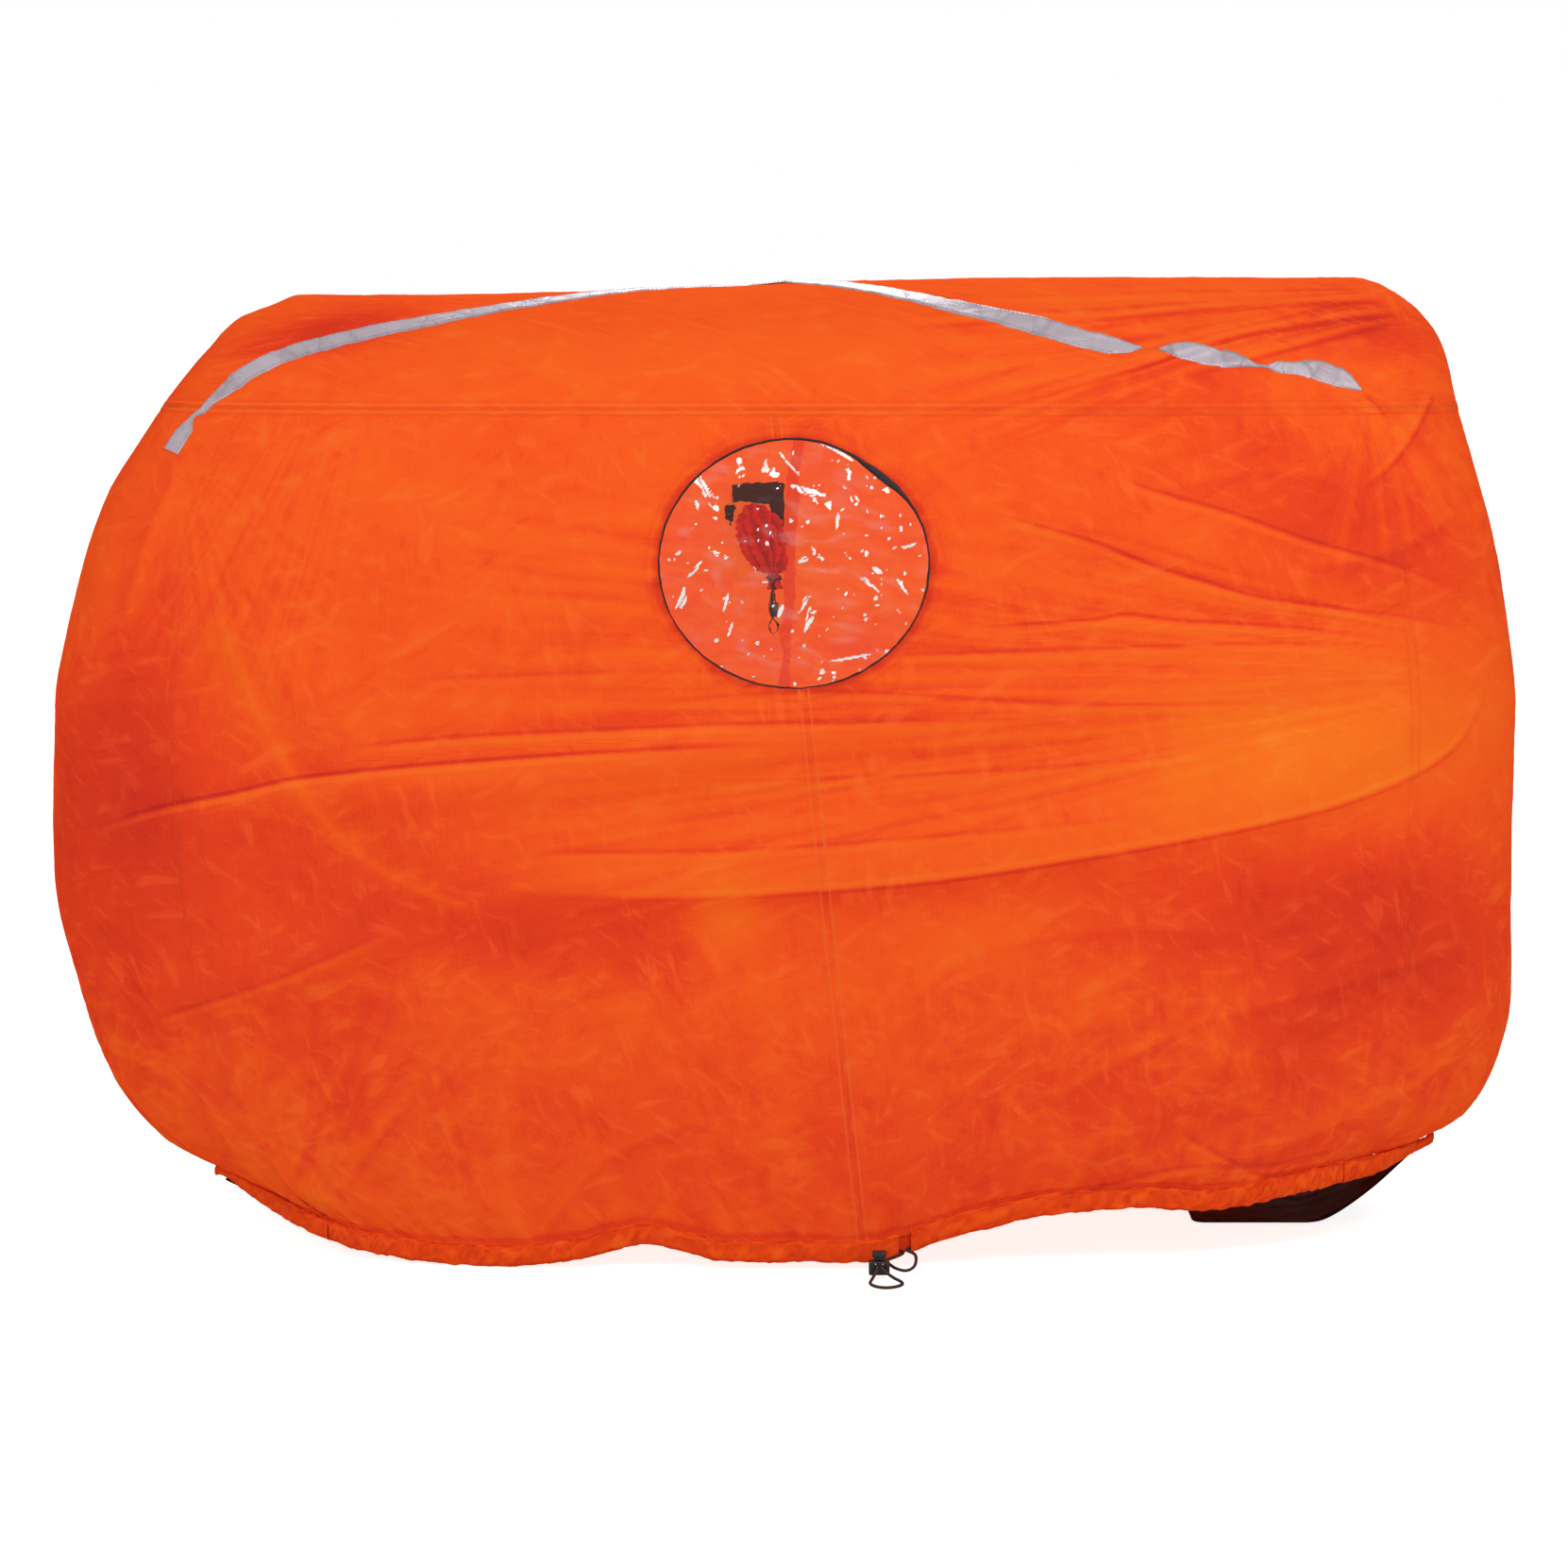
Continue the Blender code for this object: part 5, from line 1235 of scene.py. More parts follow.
    def ripstop(self, place: Any, pitch: float, width: float) -> Signal:
        """The thicker threads that run both ways through ripstop cloth, 1 on a thread."""
        parts = self.add("ShaderNodeSeparateXYZ", None, {0: place})
        lines = []
        for axis in (0, 1):
            share = (Signal(self, parts.outputs[axis]) / pitch).math("FRACT")
            away = (share - 0.5).math("ABSOLUTE")
            lines.append(away.step(width / pitch, 0.2 * width / pitch))
        return lines[0].math("MAXIMUM", lines[1])


def paint(piece: bpy.types.Object, material: bpy.types.Material) -> bpy.types.Object:
    """Puts one material on a whole piece."""
    if not piece.material_slots:
        piece.data.materials.append(material)
    for slot in piece.material_slots:
        slot.material = material
    return piece


@dataclass(frozen=True)
class ClothFinish:
    """Thin coated ripstop nylon that lets light through."""

    name: str
    stops: tuple[tuple[float, Colour], ...]
    # pale: the colour of the painted sheen and highlights and of the pale seam lines
    pale: Colour
    roughness: float
    through: float
    crinkle: float

    def build(self) -> bpy.types.Material:
        """Makes the material."""
        tree = ShaderTree(self.name)
        flat = tree.cloth_place()
        tone = tree.attribute("tone")
        seam, sewn = tree.attribute("seam"), tree.attribute("sewn")
        fold, sharp = tree.attribute("fold"), tree.attribute("sharp")
        patchy = tree.noise(flat, 13.0, 2.0)
        first = tree.streaks(flat, 0.35, 66.0, 3.4)
        second = tree.streaks(flat, 1.75, 84.0, 3.0)
        third = tree.streaks(flat, 2.6, 96.0, 3.2)
        here = patchy.step(0.40, 0.60)
        there = (1.0 - patchy).step(0.46, 0.62)
        # The crests of the crinkle streaks get a painted sheen and their dips painted shade.
        crest = first.step(0.56, 0.75) * here
        crest = crest.math("MAXIMUM", second.step(0.56, 0.75) * there)
        crest = crest.math("MAXIMUM", third.step(0.58, 0.80) * 0.8)
        dip = (first.step(0.40, 0.26) * here).math("MAXIMUM", second.step(0.40, 0.26) * there)
        grain = tree.noise(flat, 620.0, 1.0) - 0.5
        rip = tree.ripstop(flat, 0.0052, 0.0008)
        twin = (seam - 0.0042).math("ABSOLUTE").step(0.0017, 0.0004) * sewn
        inner = seam.step(0.0062, 0.0040) * sewn
        # A thin line of painted shade just above each sharp fold and a painted highlight just below it.
        painted_fold_shade = (fold + 2.6).math("ABSOLUTE").step(3.4, 0.6) * sharp
        painted_fold_highlight = (fold - 4.4).math("ABSOLUTE").step(4.4, 1.0) * sharp
        shade = tone + patchy * 0.06 - 0.03 + grain * 0.09 - rip * 0.022
        shade = shade + crest * 0.075 * self.crinkle - dip * 0.05 * self.crinkle
        shade = shade + twin * 0.16 - inner * 0.03 - painted_fold_shade * 0.20 + painted_fold_highlight * 0.12
        body = tree.ramp(shade, self.stops)
        # Mix towards the pale colour: painted sheen on the crests, painted highlights beside the sharp
        # folds, and the pale seam lines.
        marks = (crest * 0.09 * self.crinkle + twin * 0.14 + painted_fold_highlight * 0.06).math("MINIMUM", 0.5)
        tree.surface({
            "Base Color": tree.mix(marks, body, self.pale),
            "Roughness": patchy * 0.18 + (self.roughness - 0.09),
            "Specular IOR Level": 0.0,
        })
        height = (first * here + second * there + third * 0.6) * (0.9 * self.crinkle)
        height = height + grain * 0.08 + rip * 0.08 + twin * 0.35 + inner * 0.25 - painted_fold_shade * 0.5
        tree.bump(height, 0.0010, 0.5)
        lit = tree.add("ShaderNodeBsdfTranslucent", None, {"Color": body})
        blend = tree.add("ShaderNodeMixShader", None, {0: self.through})
        tree.links.new(tree.shader.outputs[0], blend.inputs[1])
        tree.links.new(lit.outputs[0], blend.inputs[2])
        tree.links.new(blend.outputs[0], tree.output.inputs[0])
        return tree.material


@dataclass(frozen=True)
class TapeFinish:
    """Retroreflective tape: a fine grey glass-bead face with soft creases."""

    name: str = "reflective_tape_finish"
    light: Colour = (0.55, 0.47, 0.52)
    dark: Colour = (0.33, 0.27, 0.31)

    def build(self) -> bpy.types.Material:
        """Makes the material."""
        tree = ShaderTree(self.name)
        place = tree.object_place()
        flat = tree.cloth_place()
        # The tone holds the painted shade and light of the tape's creases, bends, facets and edges.
        crease = tree.attribute("tone")
        cells = tree.edges(tree.bent(place, 20.0, 0.03), 60.0)
        marks = (1.0 - cells.step(0.0, 0.06)) * tree.noise(place, 30.0).step(0.45, 0.6)
        beads = tree.noise(place, 1500.0, 1.0) - 0.5
        weave = tree.weave(flat, 0.0013)
        shade = crease + beads * 0.25 - marks * 0.35 + weave * 0.10
        colour = tree.mix(shade.step(0.0, 1.0), self.dark, self.light)
        tree.surface({"Base Color": colour, "Roughness": beads * 0.2 + 0.42, "Metallic": 0.25})
        tree.bump(weave * 0.15 + beads * 0.3 - marks * 0.8, 0.0006, 0.6)
        return tree.material


@dataclass(frozen=True)
class WovenFinish:
    """A dull woven or braided finish: webbing, cord, binding or coated seat cloth."""

    name: str
    light: Colour
    dark: Colour
    roughness: float
    pitch: float
    relief: float
    on_cloth: bool = True
    sheen: float = 0.0
    gloss: float = 0.35

    def build(self) -> bpy.types.Material:
        """Makes the material."""
        tree = ShaderTree(self.name)
        place = tree.object_place()
        flat = tree.cloth_place() if self.on_cloth else place
        weave = tree.weave(flat, self.pitch)
        wear = tree.noise(place, 60.0, 3.0)
        fuzz = tree.noise(place, 1400.0, 1.0)
        shade = weave * 0.45 + wear * 0.35 + fuzz * 0.2
        colour = tree.mix(shade.step(0.15, 0.85), self.dark, self.light)
        tree.surface({
            "Base Color": colour,
            "Roughness": wear * 0.2 + (self.roughness - 0.1),
            "Sheen Weight": self.sheen,
            "Specular IOR Level": self.gloss,
        })
        tree.bump(weave + fuzz * 0.3, self.relief, 0.7)
        return tree.material


@dataclass(frozen=True)
class PlasticFinish:
    """Moulded plastic with a fine grain and a few scuffs."""

    name: str
    colour: Colour
    worn: Colour
    roughness: float

    def build(self) -> bpy.types.Material:
        """Makes the material."""
        tree = ShaderTree(self.name)
        place = tree.object_place()
        grain = tree.noise(place, 2600.0, 2.0)
        scuff = tree.noise(place, 300.0, 4.0).step(0.60, 0.72)
        tree.surface({
            "Base Color": tree.mix(scuff * 0.5, self.colour, self.worn),
            "Roughness": scuff * 0.2 + grain * 0.1 + self.roughness,
        })
        tree.bump(grain, 0.00008, 0.6)
        return tree.material


@dataclass(frozen=True)
class SteelFinish:
    """Drawn spring wire."""

    name: str = "spring_wire_finish"

    def build(self) -> bpy.types.Material:
        """Makes the material."""
        tree = ShaderTree(self.name)
        streak = tree.noise(tree.object_place(), 2400.0, 2.0)
        colour = tree.mix(streak, (0.36, 0.36, 0.37), (0.62, 0.61, 0.60))
        tree.surface({"Base Color": colour, "Roughness": streak * 0.2 + 0.2, "Metallic": 1.0})
        return tree.material


@dataclass(frozen=True)
class FilmFinish:
    """Clear flexible window film, a little hazy, with painted glints, bands of painted sheen and painted
    shade in its folds.
    """

    name: str = "window_film_finish"

    def build(self) -> bpy.types.Material:
        """Makes the material."""
        tree = ShaderTree(self.name)
        flat = tree.cloth_place()
        # Painted glints show white as a rough metal; the bright bands get a painted sheen as a little metal;
        # where they are low the film is tinted orange as painted shade in its folds.
        fleck = tree.attribute("fleck")
        ripple = tree.noise(flat, 160.0, 2.0)
        glare = (fleck + ripple * 0.3 - 0.15).step(0.35, 0.65)
        haze = tree.attribute("haze")
        fold = (1.0 - haze.step(0.26, 0.52)) * (1.0 - glare)
        tint = tree.mix(fold * 0.9, (0.97, 0.94, 0.92), (0.93, 0.70, 0.42))
        tree.surface({
            "Base Color": tint,
            "Metallic": glare * 0.96 + haze.step(0.50, 0.86) * 0.13 + 0.004,
            "Roughness": glare * 0.42 + 0.015,
            "Transmission Weight": 1.0,
            "IOR": 1.03,
            "Coat Weight": 1.0,
            "Coat IOR": 1.5,
            "Coat Roughness": 0.03,
        })
        tree.bump(ripple, 0.0012, 0.5)
        return tree.material


# Cloth colours by tone. The tone holds painted shade and painted light besides the cloth's own patchiness,
# so the red low end and pale high end of these ramps mostly show painted shade and light.
ORANGE_STOPS = (
    (0.00, (0.56, 0.034, 0.022)),
    (0.20, (0.70, 0.054, 0.022)),
    (0.36, (0.85, 0.082, 0.022)),
    (0.50, (0.94, 0.137, 0.021)),
    (0.82, (0.96, 0.228, 0.020)),
    (1.00, (0.97, 0.310, 0.026)),
)
HEM_STOPS = (
    (0.00, (0.52, 0.022, 0.010)),
    (0.50, (0.88, 0.078, 0.010)),
    (1.00, (0.96, 0.190, 0.012)),
)
# Paler than the cloth: painted light, so that the seam tapes inside show no darker where they cut the light
# that comes through the walls.
SEAM_STOPS = (
    (0.00, (0.92, 0.320, 0.110)),
    (0.50, (0.98, 0.500, 0.220)),
    (1.00, (0.99, 0.620, 0.300)),
)


class Finishes:
    """Every material of the shelter, made once."""

    def __init__(self) -> None:
        """Builds them."""
        self.cloth = ClothFinish(
            "shell_cloth", ORANGE_STOPS, (0.96, 0.26, 0.09), 0.50, 0.34, 1.0
        ).build()
        self.hem = ClothFinish(
            "hem_cloth", HEM_STOPS, (0.93, 0.20, 0.06), 0.52, 0.12, 1.0
        ).build()
        self.seam = ClothFinish(
            "seam_cloth", SEAM_STOPS, (0.99, 0.60, 0.34), 0.50, 0.60, 0.5
        ).build()
        self.sleeve = ClothFinish(
            "sleeve_cloth", HEM_STOPS, (0.90, 0.18, 0.06), 0.55, 0.15, 0.8
        ).build()
        self.stitch = WovenFinish(
            "stitch_thread", (0.93, 0.17, 0.03), (0.72, 0.07, 0.02), 0.6, 0.0006, 0.00005, False
        ).build()
        self.red_stitch = WovenFinish(
            "red_thread", (0.90, 0.095, 0.014), (0.78, 0.060, 0.012), 0.6, 0.0006, 0.00005, False
        ).build()
        self.grey_stitch = WovenFinish(
            "grey_thread", (0.46, 0.40, 0.43), (0.26, 0.22, 0.25), 0.6, 0.0006, 0.00005, False
        ).build()
        self.black_stitch = WovenFinish(
            "black_thread", (0.05, 0.05, 0.05), (0.015, 0.015, 0.015), 0.6, 0.0006, 0.00005, False
        ).build()
        self.reflective = TapeFinish().build()
        self.film = FilmFinish().build()
        self.binding = WovenFinish(
            "window_edge_cloth", (0.030, 0.020, 0.018), (0.008, 0.006, 0.006), 0.6, 0.0009, 0.0001
        ).build()
        # Near black and a little blue, which cancels the orange light that the cloth throws on the seats.
        self.seat = WovenFinish(
            "seat_cloth", (0.0062, 0.0104, 0.0120), (0.0028, 0.0048, 0.0055), 0.60, 0.0014, 0.00016,
            True, 0.0, 0.06,
        ).build()
        self.webbing = WovenFinish(
            "vent_webbing", (0.085, 0.070, 0.068), (0.030, 0.024, 0.024), 0.7, 0.0018, 0.0002
        ).build()
        self.cord = WovenFinish(
            "braided_cord", (0.050, 0.028, 0.020), (0.012, 0.008, 0.007), 0.6, 0.0016, 0.0002,
            False,
        ).build()
        self.plastic = PlasticFinish(
            "lock_plastic", (0.012, 0.012, 0.013), (0.05, 0.05, 0.05), 0.30
        ).build()
        self.steel = SteelFinish().build()


# Parts of the shelter
@dataclass
class Patch:
    """A piece of cloth cut from the form, between two places and two section heights."""

    name: str
    node: str
    places: tuple[float, float]
    heights: tuple[float, float]
    cell: float
    wall: Wall
    seams: tuple[float, ...] = ()
    offset: float = 0.0
    cut: tuple[float, float] = (0.0, 0.0)

    # The roof's way from its seam to the crest
    CLIMB = 0.30

    def _parameters(self) -> tuple[Array, Array]:
        """Even steps of place and of height over the patch."""
        place = np.linspace(*self.places, 60)
        middle = np.full_like(place, sum(self.heights) / 2)
        columns = max(8, round(length_of(FORM.points(place, middle)) / self.cell))
        if self.wall is Wall.ROOF:
            turns = np.arcsin(np.clip(np.array(self.heights) / HEIGHT, 0.0, 1.0))
            rows = max(8, round(self.CLIMB / self.cell))
            heights = HEIGHT * np.sin(np.linspace(turns[0], turns[1], rows + 1))
        else:
            rows = max(8, round((self.heights[1] - self.heights[0]) / self.cell))
            heights = np.linspace(*self.heights, rows + 1)
        return np.linspace(*self.places, columns + 1), heights

    def make(self) -> bpy.types.Object:
        """Builds the cloth with its folds, tone and flat place.

        Returns:
            The piece.
        """
        places, heights = self._parameters()
        place, height = np.meshgrid(places, heights)
        points = FORM.points(place, height)
        normals = FORM.normals(place, height)
        if self.wall is Wall.ROOF:
            normals[-1] = unit(normals[-1] * np.array([1.0, 0.0, 1.0]) + [0, 0, 0.2])
        lift, tone = RELIEF.read(points, normals, place, height)
        points = points + normals * (lift + self.offset)[..., None]
        across = np.linalg.norm(np.diff(points, axis=1), axis=2)
        upward = np.linalg.norm(np.diff(points, axis=0), axis=2)
        self.cut = self._cut(across.sum(axis=1), upward.sum(axis=0))
        u = np.hstack([np.zeros((len(heights), 1)), np.cumsum(across, axis=1)])
        v = np.vstack([np.zeros((1, len(places))), np.cumsum(upward, axis=0)])
        u = u - u[:, [len(places) // 2]]
        seam = np.abs(height - ROOF_SEAM_HEIGHT) * RUN_PER_HEIGHT
        for edge in self.seams:
            side = 0 if edge == self.places[0] else -1
            seam = np.minimum(seam, np.abs(u - u[:, [side]]))
        smooth_form = points - normals * lift[..., None]
        fold, sharp = RELIEF.folds(smooth_form, normals)
        piece = new_piece(self.name, points.reshape(-1, 3), grid_faces(*place.shape).tolist())
        sewn = self._sewn(smooth_form, seam, height)
        kept = {"tone": tone, "seam": np.minimum(seam, 0.05), "sewn": sewn}
        keep_attributes(piece, kept | {"fold": fold, "sharp": sharp})
        keep_uv(piece, u, v)
        return piece

    def _cut(self, across: Array, upward: Array) -> tuple[float, float]:
        """The greatest width and length of the cloth, measured along it.

        Args:
            across: The length of each row.
            upward: The length of each column.

        Returns:
            The width and the length.
        """
        if self.wall is not Wall.ROOF:
            return float(across.max()), float(upward.max())
        last = len(upward) - 1
        front, right, back, left = (upward[round(p / 4 * last)] for p in (0.5, 1.5, 2.5, 3.5))
        return float(across[-1] / 2 + right + left), float(front + back)

    def _sewn(self, points: Array, seam: Array, height: Array) -> Array:
        """How well the nearest seam's two pale lines show, from 0 to 1."""
        across, _ = drawing_place(points)
        seen = self.wall in (Wall.FRONT, Wall.ROOF)
        over = 1.0 - 0.9 * smooth((across - 940.0) / 180.0) if seen else np.full_like(seam, 0.5)
        middle = 0.10 if self.wall is Wall.END else 1.0
        upright = np.where(np.abs(points[..., 0]) > 0.25, 0.10, middle)
        upper = np.abs(height - ROOF_SEAM_HEIGHT) * RUN_PER_HEIGHT <= seam + 1e-6
        return np.where(upper, over, upright)


def cut_hole(piece: bpy.types.Object, outside: Callable[[Array, Array], Array]) -> None:
    """Opens a hole in a front or back cloth and draws the cut edge onto its outline.

    Args:
        piece: The cloth.
        outside: Metres that x and z are outside the hole.
    """
    mesh = piece.data
    points = points_of(piece)
    reach = outside(points[:, 0], points[:, 2])
    work = bmesh.new()
    work.from_mesh(mesh)
    work.verts.ensure_lookup_table()
    gone = [f for f in work.faces if sum(reach[v.index] < 0.0 for v in f.verts) >= 2]
    bmesh.ops.delete(work, geom=gone, context="FACES_ONLY")
    loose = [v for v in work.verts if not v.link_faces]
    bmesh.ops.delete(work, geom=loose, context="VERTS")
    step = 1e-4
    for v in work.verts:
        if not v.is_boundary:
            continue
        for _ in range(4):
            x, z = v.co.x, v.co.z
            here = float(outside(np.array(x), np.array(z)))
            if abs(here) > 0.006:
                break
            sx = (float(outside(np.array(x + step), np.array(z))) - here) / step
            sz = (float(outside(np.array(x), np.array(z + step))) - here) / step
            size = sx * sx + sz * sz
            v.co.x -= here * sx / size
            v.co.z -= here * sz / size
    work.to_mesh(mesh)
    work.free()
    mesh.update()


class Shell:
    """The cloth shell: two halves of each long wall, two ends and the roof."""

    LAP = 0.006

    def __init__(self, finishes: Finishes) -> None:
        """Keeps the materials."""
        self.finishes = finishes
        self.pieces: dict[str, bpy.types.Object] = {}
        self.cuts: dict[str, tuple[float, float]] = {}
        self.tree: Optional[BVHTree] = None

    def patches(self) -> list[Patch]:
        """Every cloth of the shell."""
        walls = (FOOT - 0.004, ROOF_SEAM_HEIGHT)
        quick = 1.0
        fine, plain, rough = 0.0026 * quick, 0.0034 * quick, 0.0042 * quick
        names = [
            ("front_cloth_left", "front_panel_left", (0.0, 0.5), fine, Wall.FRONT),
            ("front_cloth_right", "front_panel_right", (0.5, 1.0), fine, Wall.FRONT),
            ("end_cloth_right", "end_panel_right", (1.0, 2.0), plain, Wall.END),
            ("back_cloth_right", "back_panel_right", (2.0, 2.5), rough, Wall.BACK),
            ("back_cloth_left", "back_panel_left", (2.5, 3.0), rough, Wall.BACK),
            ("end_cloth_left", "end_panel_left", (3.0, 4.0), plain, Wall.END),
        ]
        made = [Patch(n, node, at, walls, cell, wall, at) for n, node, at, cell, wall in names]
        over = (ROOF_SEAM_HEIGHT - self.LAP, HEIGHT)
        roof = Patch("roof_cloth", "roof_panel", (0.0, 4.0), over, plain, Wall.ROOF, (), 0.0006)
        return [*made, roof]

    def make(self) -> None:
        """Builds and dresses every cloth, and opens the window and the vent."""
        for patch in self.patches():
            piece = patch.make()
            if patch.wall is Wall.FRONT:
                self._shade_round_window(piece)
            if patch.wall is Wall.ROOF:
                drop_loose(piece)
            dress(piece, self.finishes.cloth, patch.node)
            self.pieces[patch.name] = piece
            self.cuts[patch.name] = patch.cut
            LOG.info("%s: %d faces", piece.name, len(piece.data.polygons))
        self._index()
        cut_hole(self.pieces["front_cloth_left"], window_reach)
        cut_hole(self.pieces["front_cloth_right"], window_reach)
        cut_hole(self.pieces["back_cloth_left"], self._vent_reach)

    def _vent_reach(self, x: Array, z: Array) -> Array:
        """Metres outside the vent's hole."""
        return np.hypot(x - VENT_X, z - VENT_Z) - VENT_HOLE / 2

    def _shade_round_window(self, piece: bpy.types.Object) -> None:
        """Paints shade on the turned-under cloth round the window, where two layers let less light through.
        """
        x, _, z = points_of(piece).T
        tone = np.empty(len(x), np.float32)
        layer = piece.data.attributes["tone"].data
        layer.foreach_get("value", tone)
        reach = window_reach(x, z)
        turn = np.arctan2(z - WINDOW_Z, x - WINDOW_X)
        round_it = spots(np.cos(turn) * 1.6, np.sin(turn) * 1.6, 0.0)
        wide = 0.0085 + 0.0045 * Noise(23).soft(round_it) + 0.002 * Noise(24).soft(round_it * 6.0)
        band = smooth((wide - reach) / 0.006) * smooth((z - 0.3) / 0.1)
        near = np.exp(-np.maximum(reach - 0.010, 0.0) / 0.012)
        # Painted shade: a ragged band round the window, and a little more near its edge.
        tone -= (0.20 * band + 0.04 * near).astype(np.float32)
        layer.foreach_set("value", tone)

    def _index(self) -> None:
        """Makes the shell ready for finding points on its surface."""
        verts: list[Vector] = []
        faces: list[tuple[int, ...]] = []
        for piece in self.pieces.values():
            first = len(verts)
            verts += [v.co.copy() for v in piece.data.vertices]
            faces += [tuple(first + i for i in p.vertices) for p in piece.data.polygons]
        self.tree = BVHTree.FromPolygons(verts, faces)

    def outermost(self, start: Vector, way: Vector) -> Optional[tuple[Vector, Vector]]:
        """The first point of the shell from a start outside it, and its outward direction."""
        hit, normal, _, _ = self.tree.ray_cast(start, way)
        if hit is None:
            return None
        return hit, (normal if normal.dot(way) < 0 else -normal)


class StitchRows:
    """Rows of lockstitch, spread along lines by a Geometry Nodes tree."""

    LENGTH = 0.0029
    PITCH = 0.0040
    THREAD = 0.00042

    # Along a stitch: the share of its length, its lift and its thickness in threads
    STATIONS = ((-0.5, -0.5, 0.5), (-0.3, 0.5, 1.0), (0.3, 0.5, 1.0), (0.5, -0.5, 0.5))

    def __init__(self) -> None:
        """Makes the stitch and the tree that repeats it."""
        self.stitch = self._stitch()
        self.tree, self.names = self._grow_tree()

    def _stitch(self) -> bpy.types.Object:
        """One stitch: a short thread that dips into the cloth at both ends."""
        rings = []
        for share, lift, size in self.STATIONS:
            for k in range(5):
                a = 2 * math.pi * k / 5
                rings.append(
                    (
                        share * self.LENGTH,
                        size * self.THREAD / 2 * math.cos(a),
                        (lift * 0.6 + size * math.sin(a) / 2) * self.THREAD,
                    )
                )
        faces = grid_faces(4, 5, True).tolist() + [[4, 3, 2, 1, 0], [15, 16, 17, 18, 19]]
        stitch = new_piece("stitch_pattern", np.array(rings), faces)
        bpy.context.scene.collection.objects.unlink(stitch)
        return stitch

    def _grow_tree(self) -> tuple[bpy.types.NodeTree, dict[str, str]]:
        """The tree, and the identifier of each of its named inputs."""
        tree = bpy.data.node_groups.new("stitch_rows", "GeometryNodeTree")
        names = {}
        for name, kind in (
            ("Geometry", "NodeSocketGeometry"),
            ("Stitch", "NodeSocketObject"),
            ("Least Size", "NodeSocketFloat"),
            ("Seed", "NodeSocketInt"),
            ("Finish", "NodeSocketMaterial"),
        ):
            socket = tree.interface.new_socket(name, in_out="INPUT", socket_type=kind)
            names[name] = socket.identifier
        tree.interface.new_socket("Geometry", in_out="OUTPUT", socket_type="NodeSocketGeometry")
        nodes, links = tree.nodes, tree.links
        source = nodes.new("NodeGroupInput")
        result = nodes.new("NodeGroupOutput")
        info = nodes.new("GeometryNodeObjectInfo")
        turn = nodes.new("GeometryNodeInputNamedAttribute")
        turn.data_type = "FLOAT_VECTOR"
        turn.inputs["Name"].default_value = "turn"
        size = nodes.new("FunctionNodeRandomValue")
        size.data_type = "FLOAT"
        size.inputs[3].default_value = 1.08
        spread = nodes.new("GeometryNodeInstanceOnPoints")
        real = nodes.new("GeometryNodeRealizeInstances")
        finish = nodes.new("GeometryNodeSetMaterial")
        links.new(source.outputs["Stitch"], info.inputs["Object"])
        links.new(source.outputs["Least Size"], size.inputs[2])
        links.new(source.outputs["Seed"], size.inputs["Seed"])
        links.new(source.outputs["Geometry"], spread.inputs["Points"])
        links.new(info.outputs["Geometry"], spread.inputs["Instance"])
        links.new(turn.outputs[0], spread.inputs["Rotation"])
        links.new(size.outputs[1], spread.inputs["Scale"])
        links.new(spread.outputs[0], real.inputs[0])
        links.new(real.outputs[0], finish.inputs["Geometry"])
        links.new(source.outputs["Finish"], finish.inputs["Material"])
        links.new(finish.outputs[0], result.inputs[0])
        return tree, names

    def _read(self, at: Array, far: Array, line: Array) -> Array:
        """Points of a line at distances along it."""
        return np.stack([np.interp(at, far, line[:, k]) for k in range(3)], -1)

    def sew(
        self, name: str, rows: Sequence[tuple[Array, Array]], finish: bpy.types.Material, seed: int
    ) -> bpy.types.Object:
        """Sews along lines.

        Args:
            name: The piece's name.
            rows: For each line, its points and the outward direction at each.
            finish: The thread's material.
            seed: What the small differences of size start from.

        Returns:
            One mesh with every stitch.
        """
        places, turns = [], []
        for line, out in rows:
            far = run_of(line)
            at = np.arange(self.PITCH / 2, far[-1], self.PITCH)
            up = unit(self._read(at, far, out))
            along = unit(self._read(at + 0.001, far, line) - self._read(at - 0.001, far, line))
            up = unit(up - along * (up * along).sum(-1, keepdims=True))
            side = np.cross(up, along)
            for p, x, y, z in zip(self._read(at, far, line), along, side, up):
                turn = Matrix((x, y, z)).transposed().to_euler()
                places.append(p)
                turns.append((turn.x, turn.y, turn.z))
        piece = new_piece(name, np.array(places), [])
        layer = piece.data.attributes.new("turn", "FLOAT_VECTOR", "POINT")
        layer.data.foreach_set("vector", np.array(turns, np.float32).ravel())
        modifier = piece.modifiers.new("stitches", "NODES")
        modifier.node_group = self.tree
        modifier[self.names["Stitch"]] = self.stitch
        modifier[self.names["Least Size"]] = 0.86
        modifier[self.names["Seed"]] = seed
        modifier[self.names["Finish"]] = finish
        plain_mesh(piece)
        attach(piece, "shelter")
        return piece


def on_cloth(place: Array, height: Array, offset: Array) -> tuple[Array, Array]:
    """Points of the finished cloth, with its folds.

    Args:
        place: Places round the shelter.
        height: Section heights.
        offset: Metres out from the middle of the cloth.

    Returns:
        The points and the smooth form's outward directions.
    """
    place = np.asarray(place, float)
    height = np.minimum(np.asarray(height, float), HEIGHT - 0.0005)
    points = FORM.points(place, height)
    normals = FORM.normals(place, height)
    lift, _ = RELIEF.read(points, normals, place, height)
    return points + normals * (lift + offset)[..., None], normals


def place_step(place: float, height: float) -> float:
    """How much place one metre of cloth is, at a place and a height."""
    both = FORM.points(np.array([place, place + 0.002]), np.array([height, height]))
    return 0.002 / float(np.linalg.norm(both[1] - both[0]))


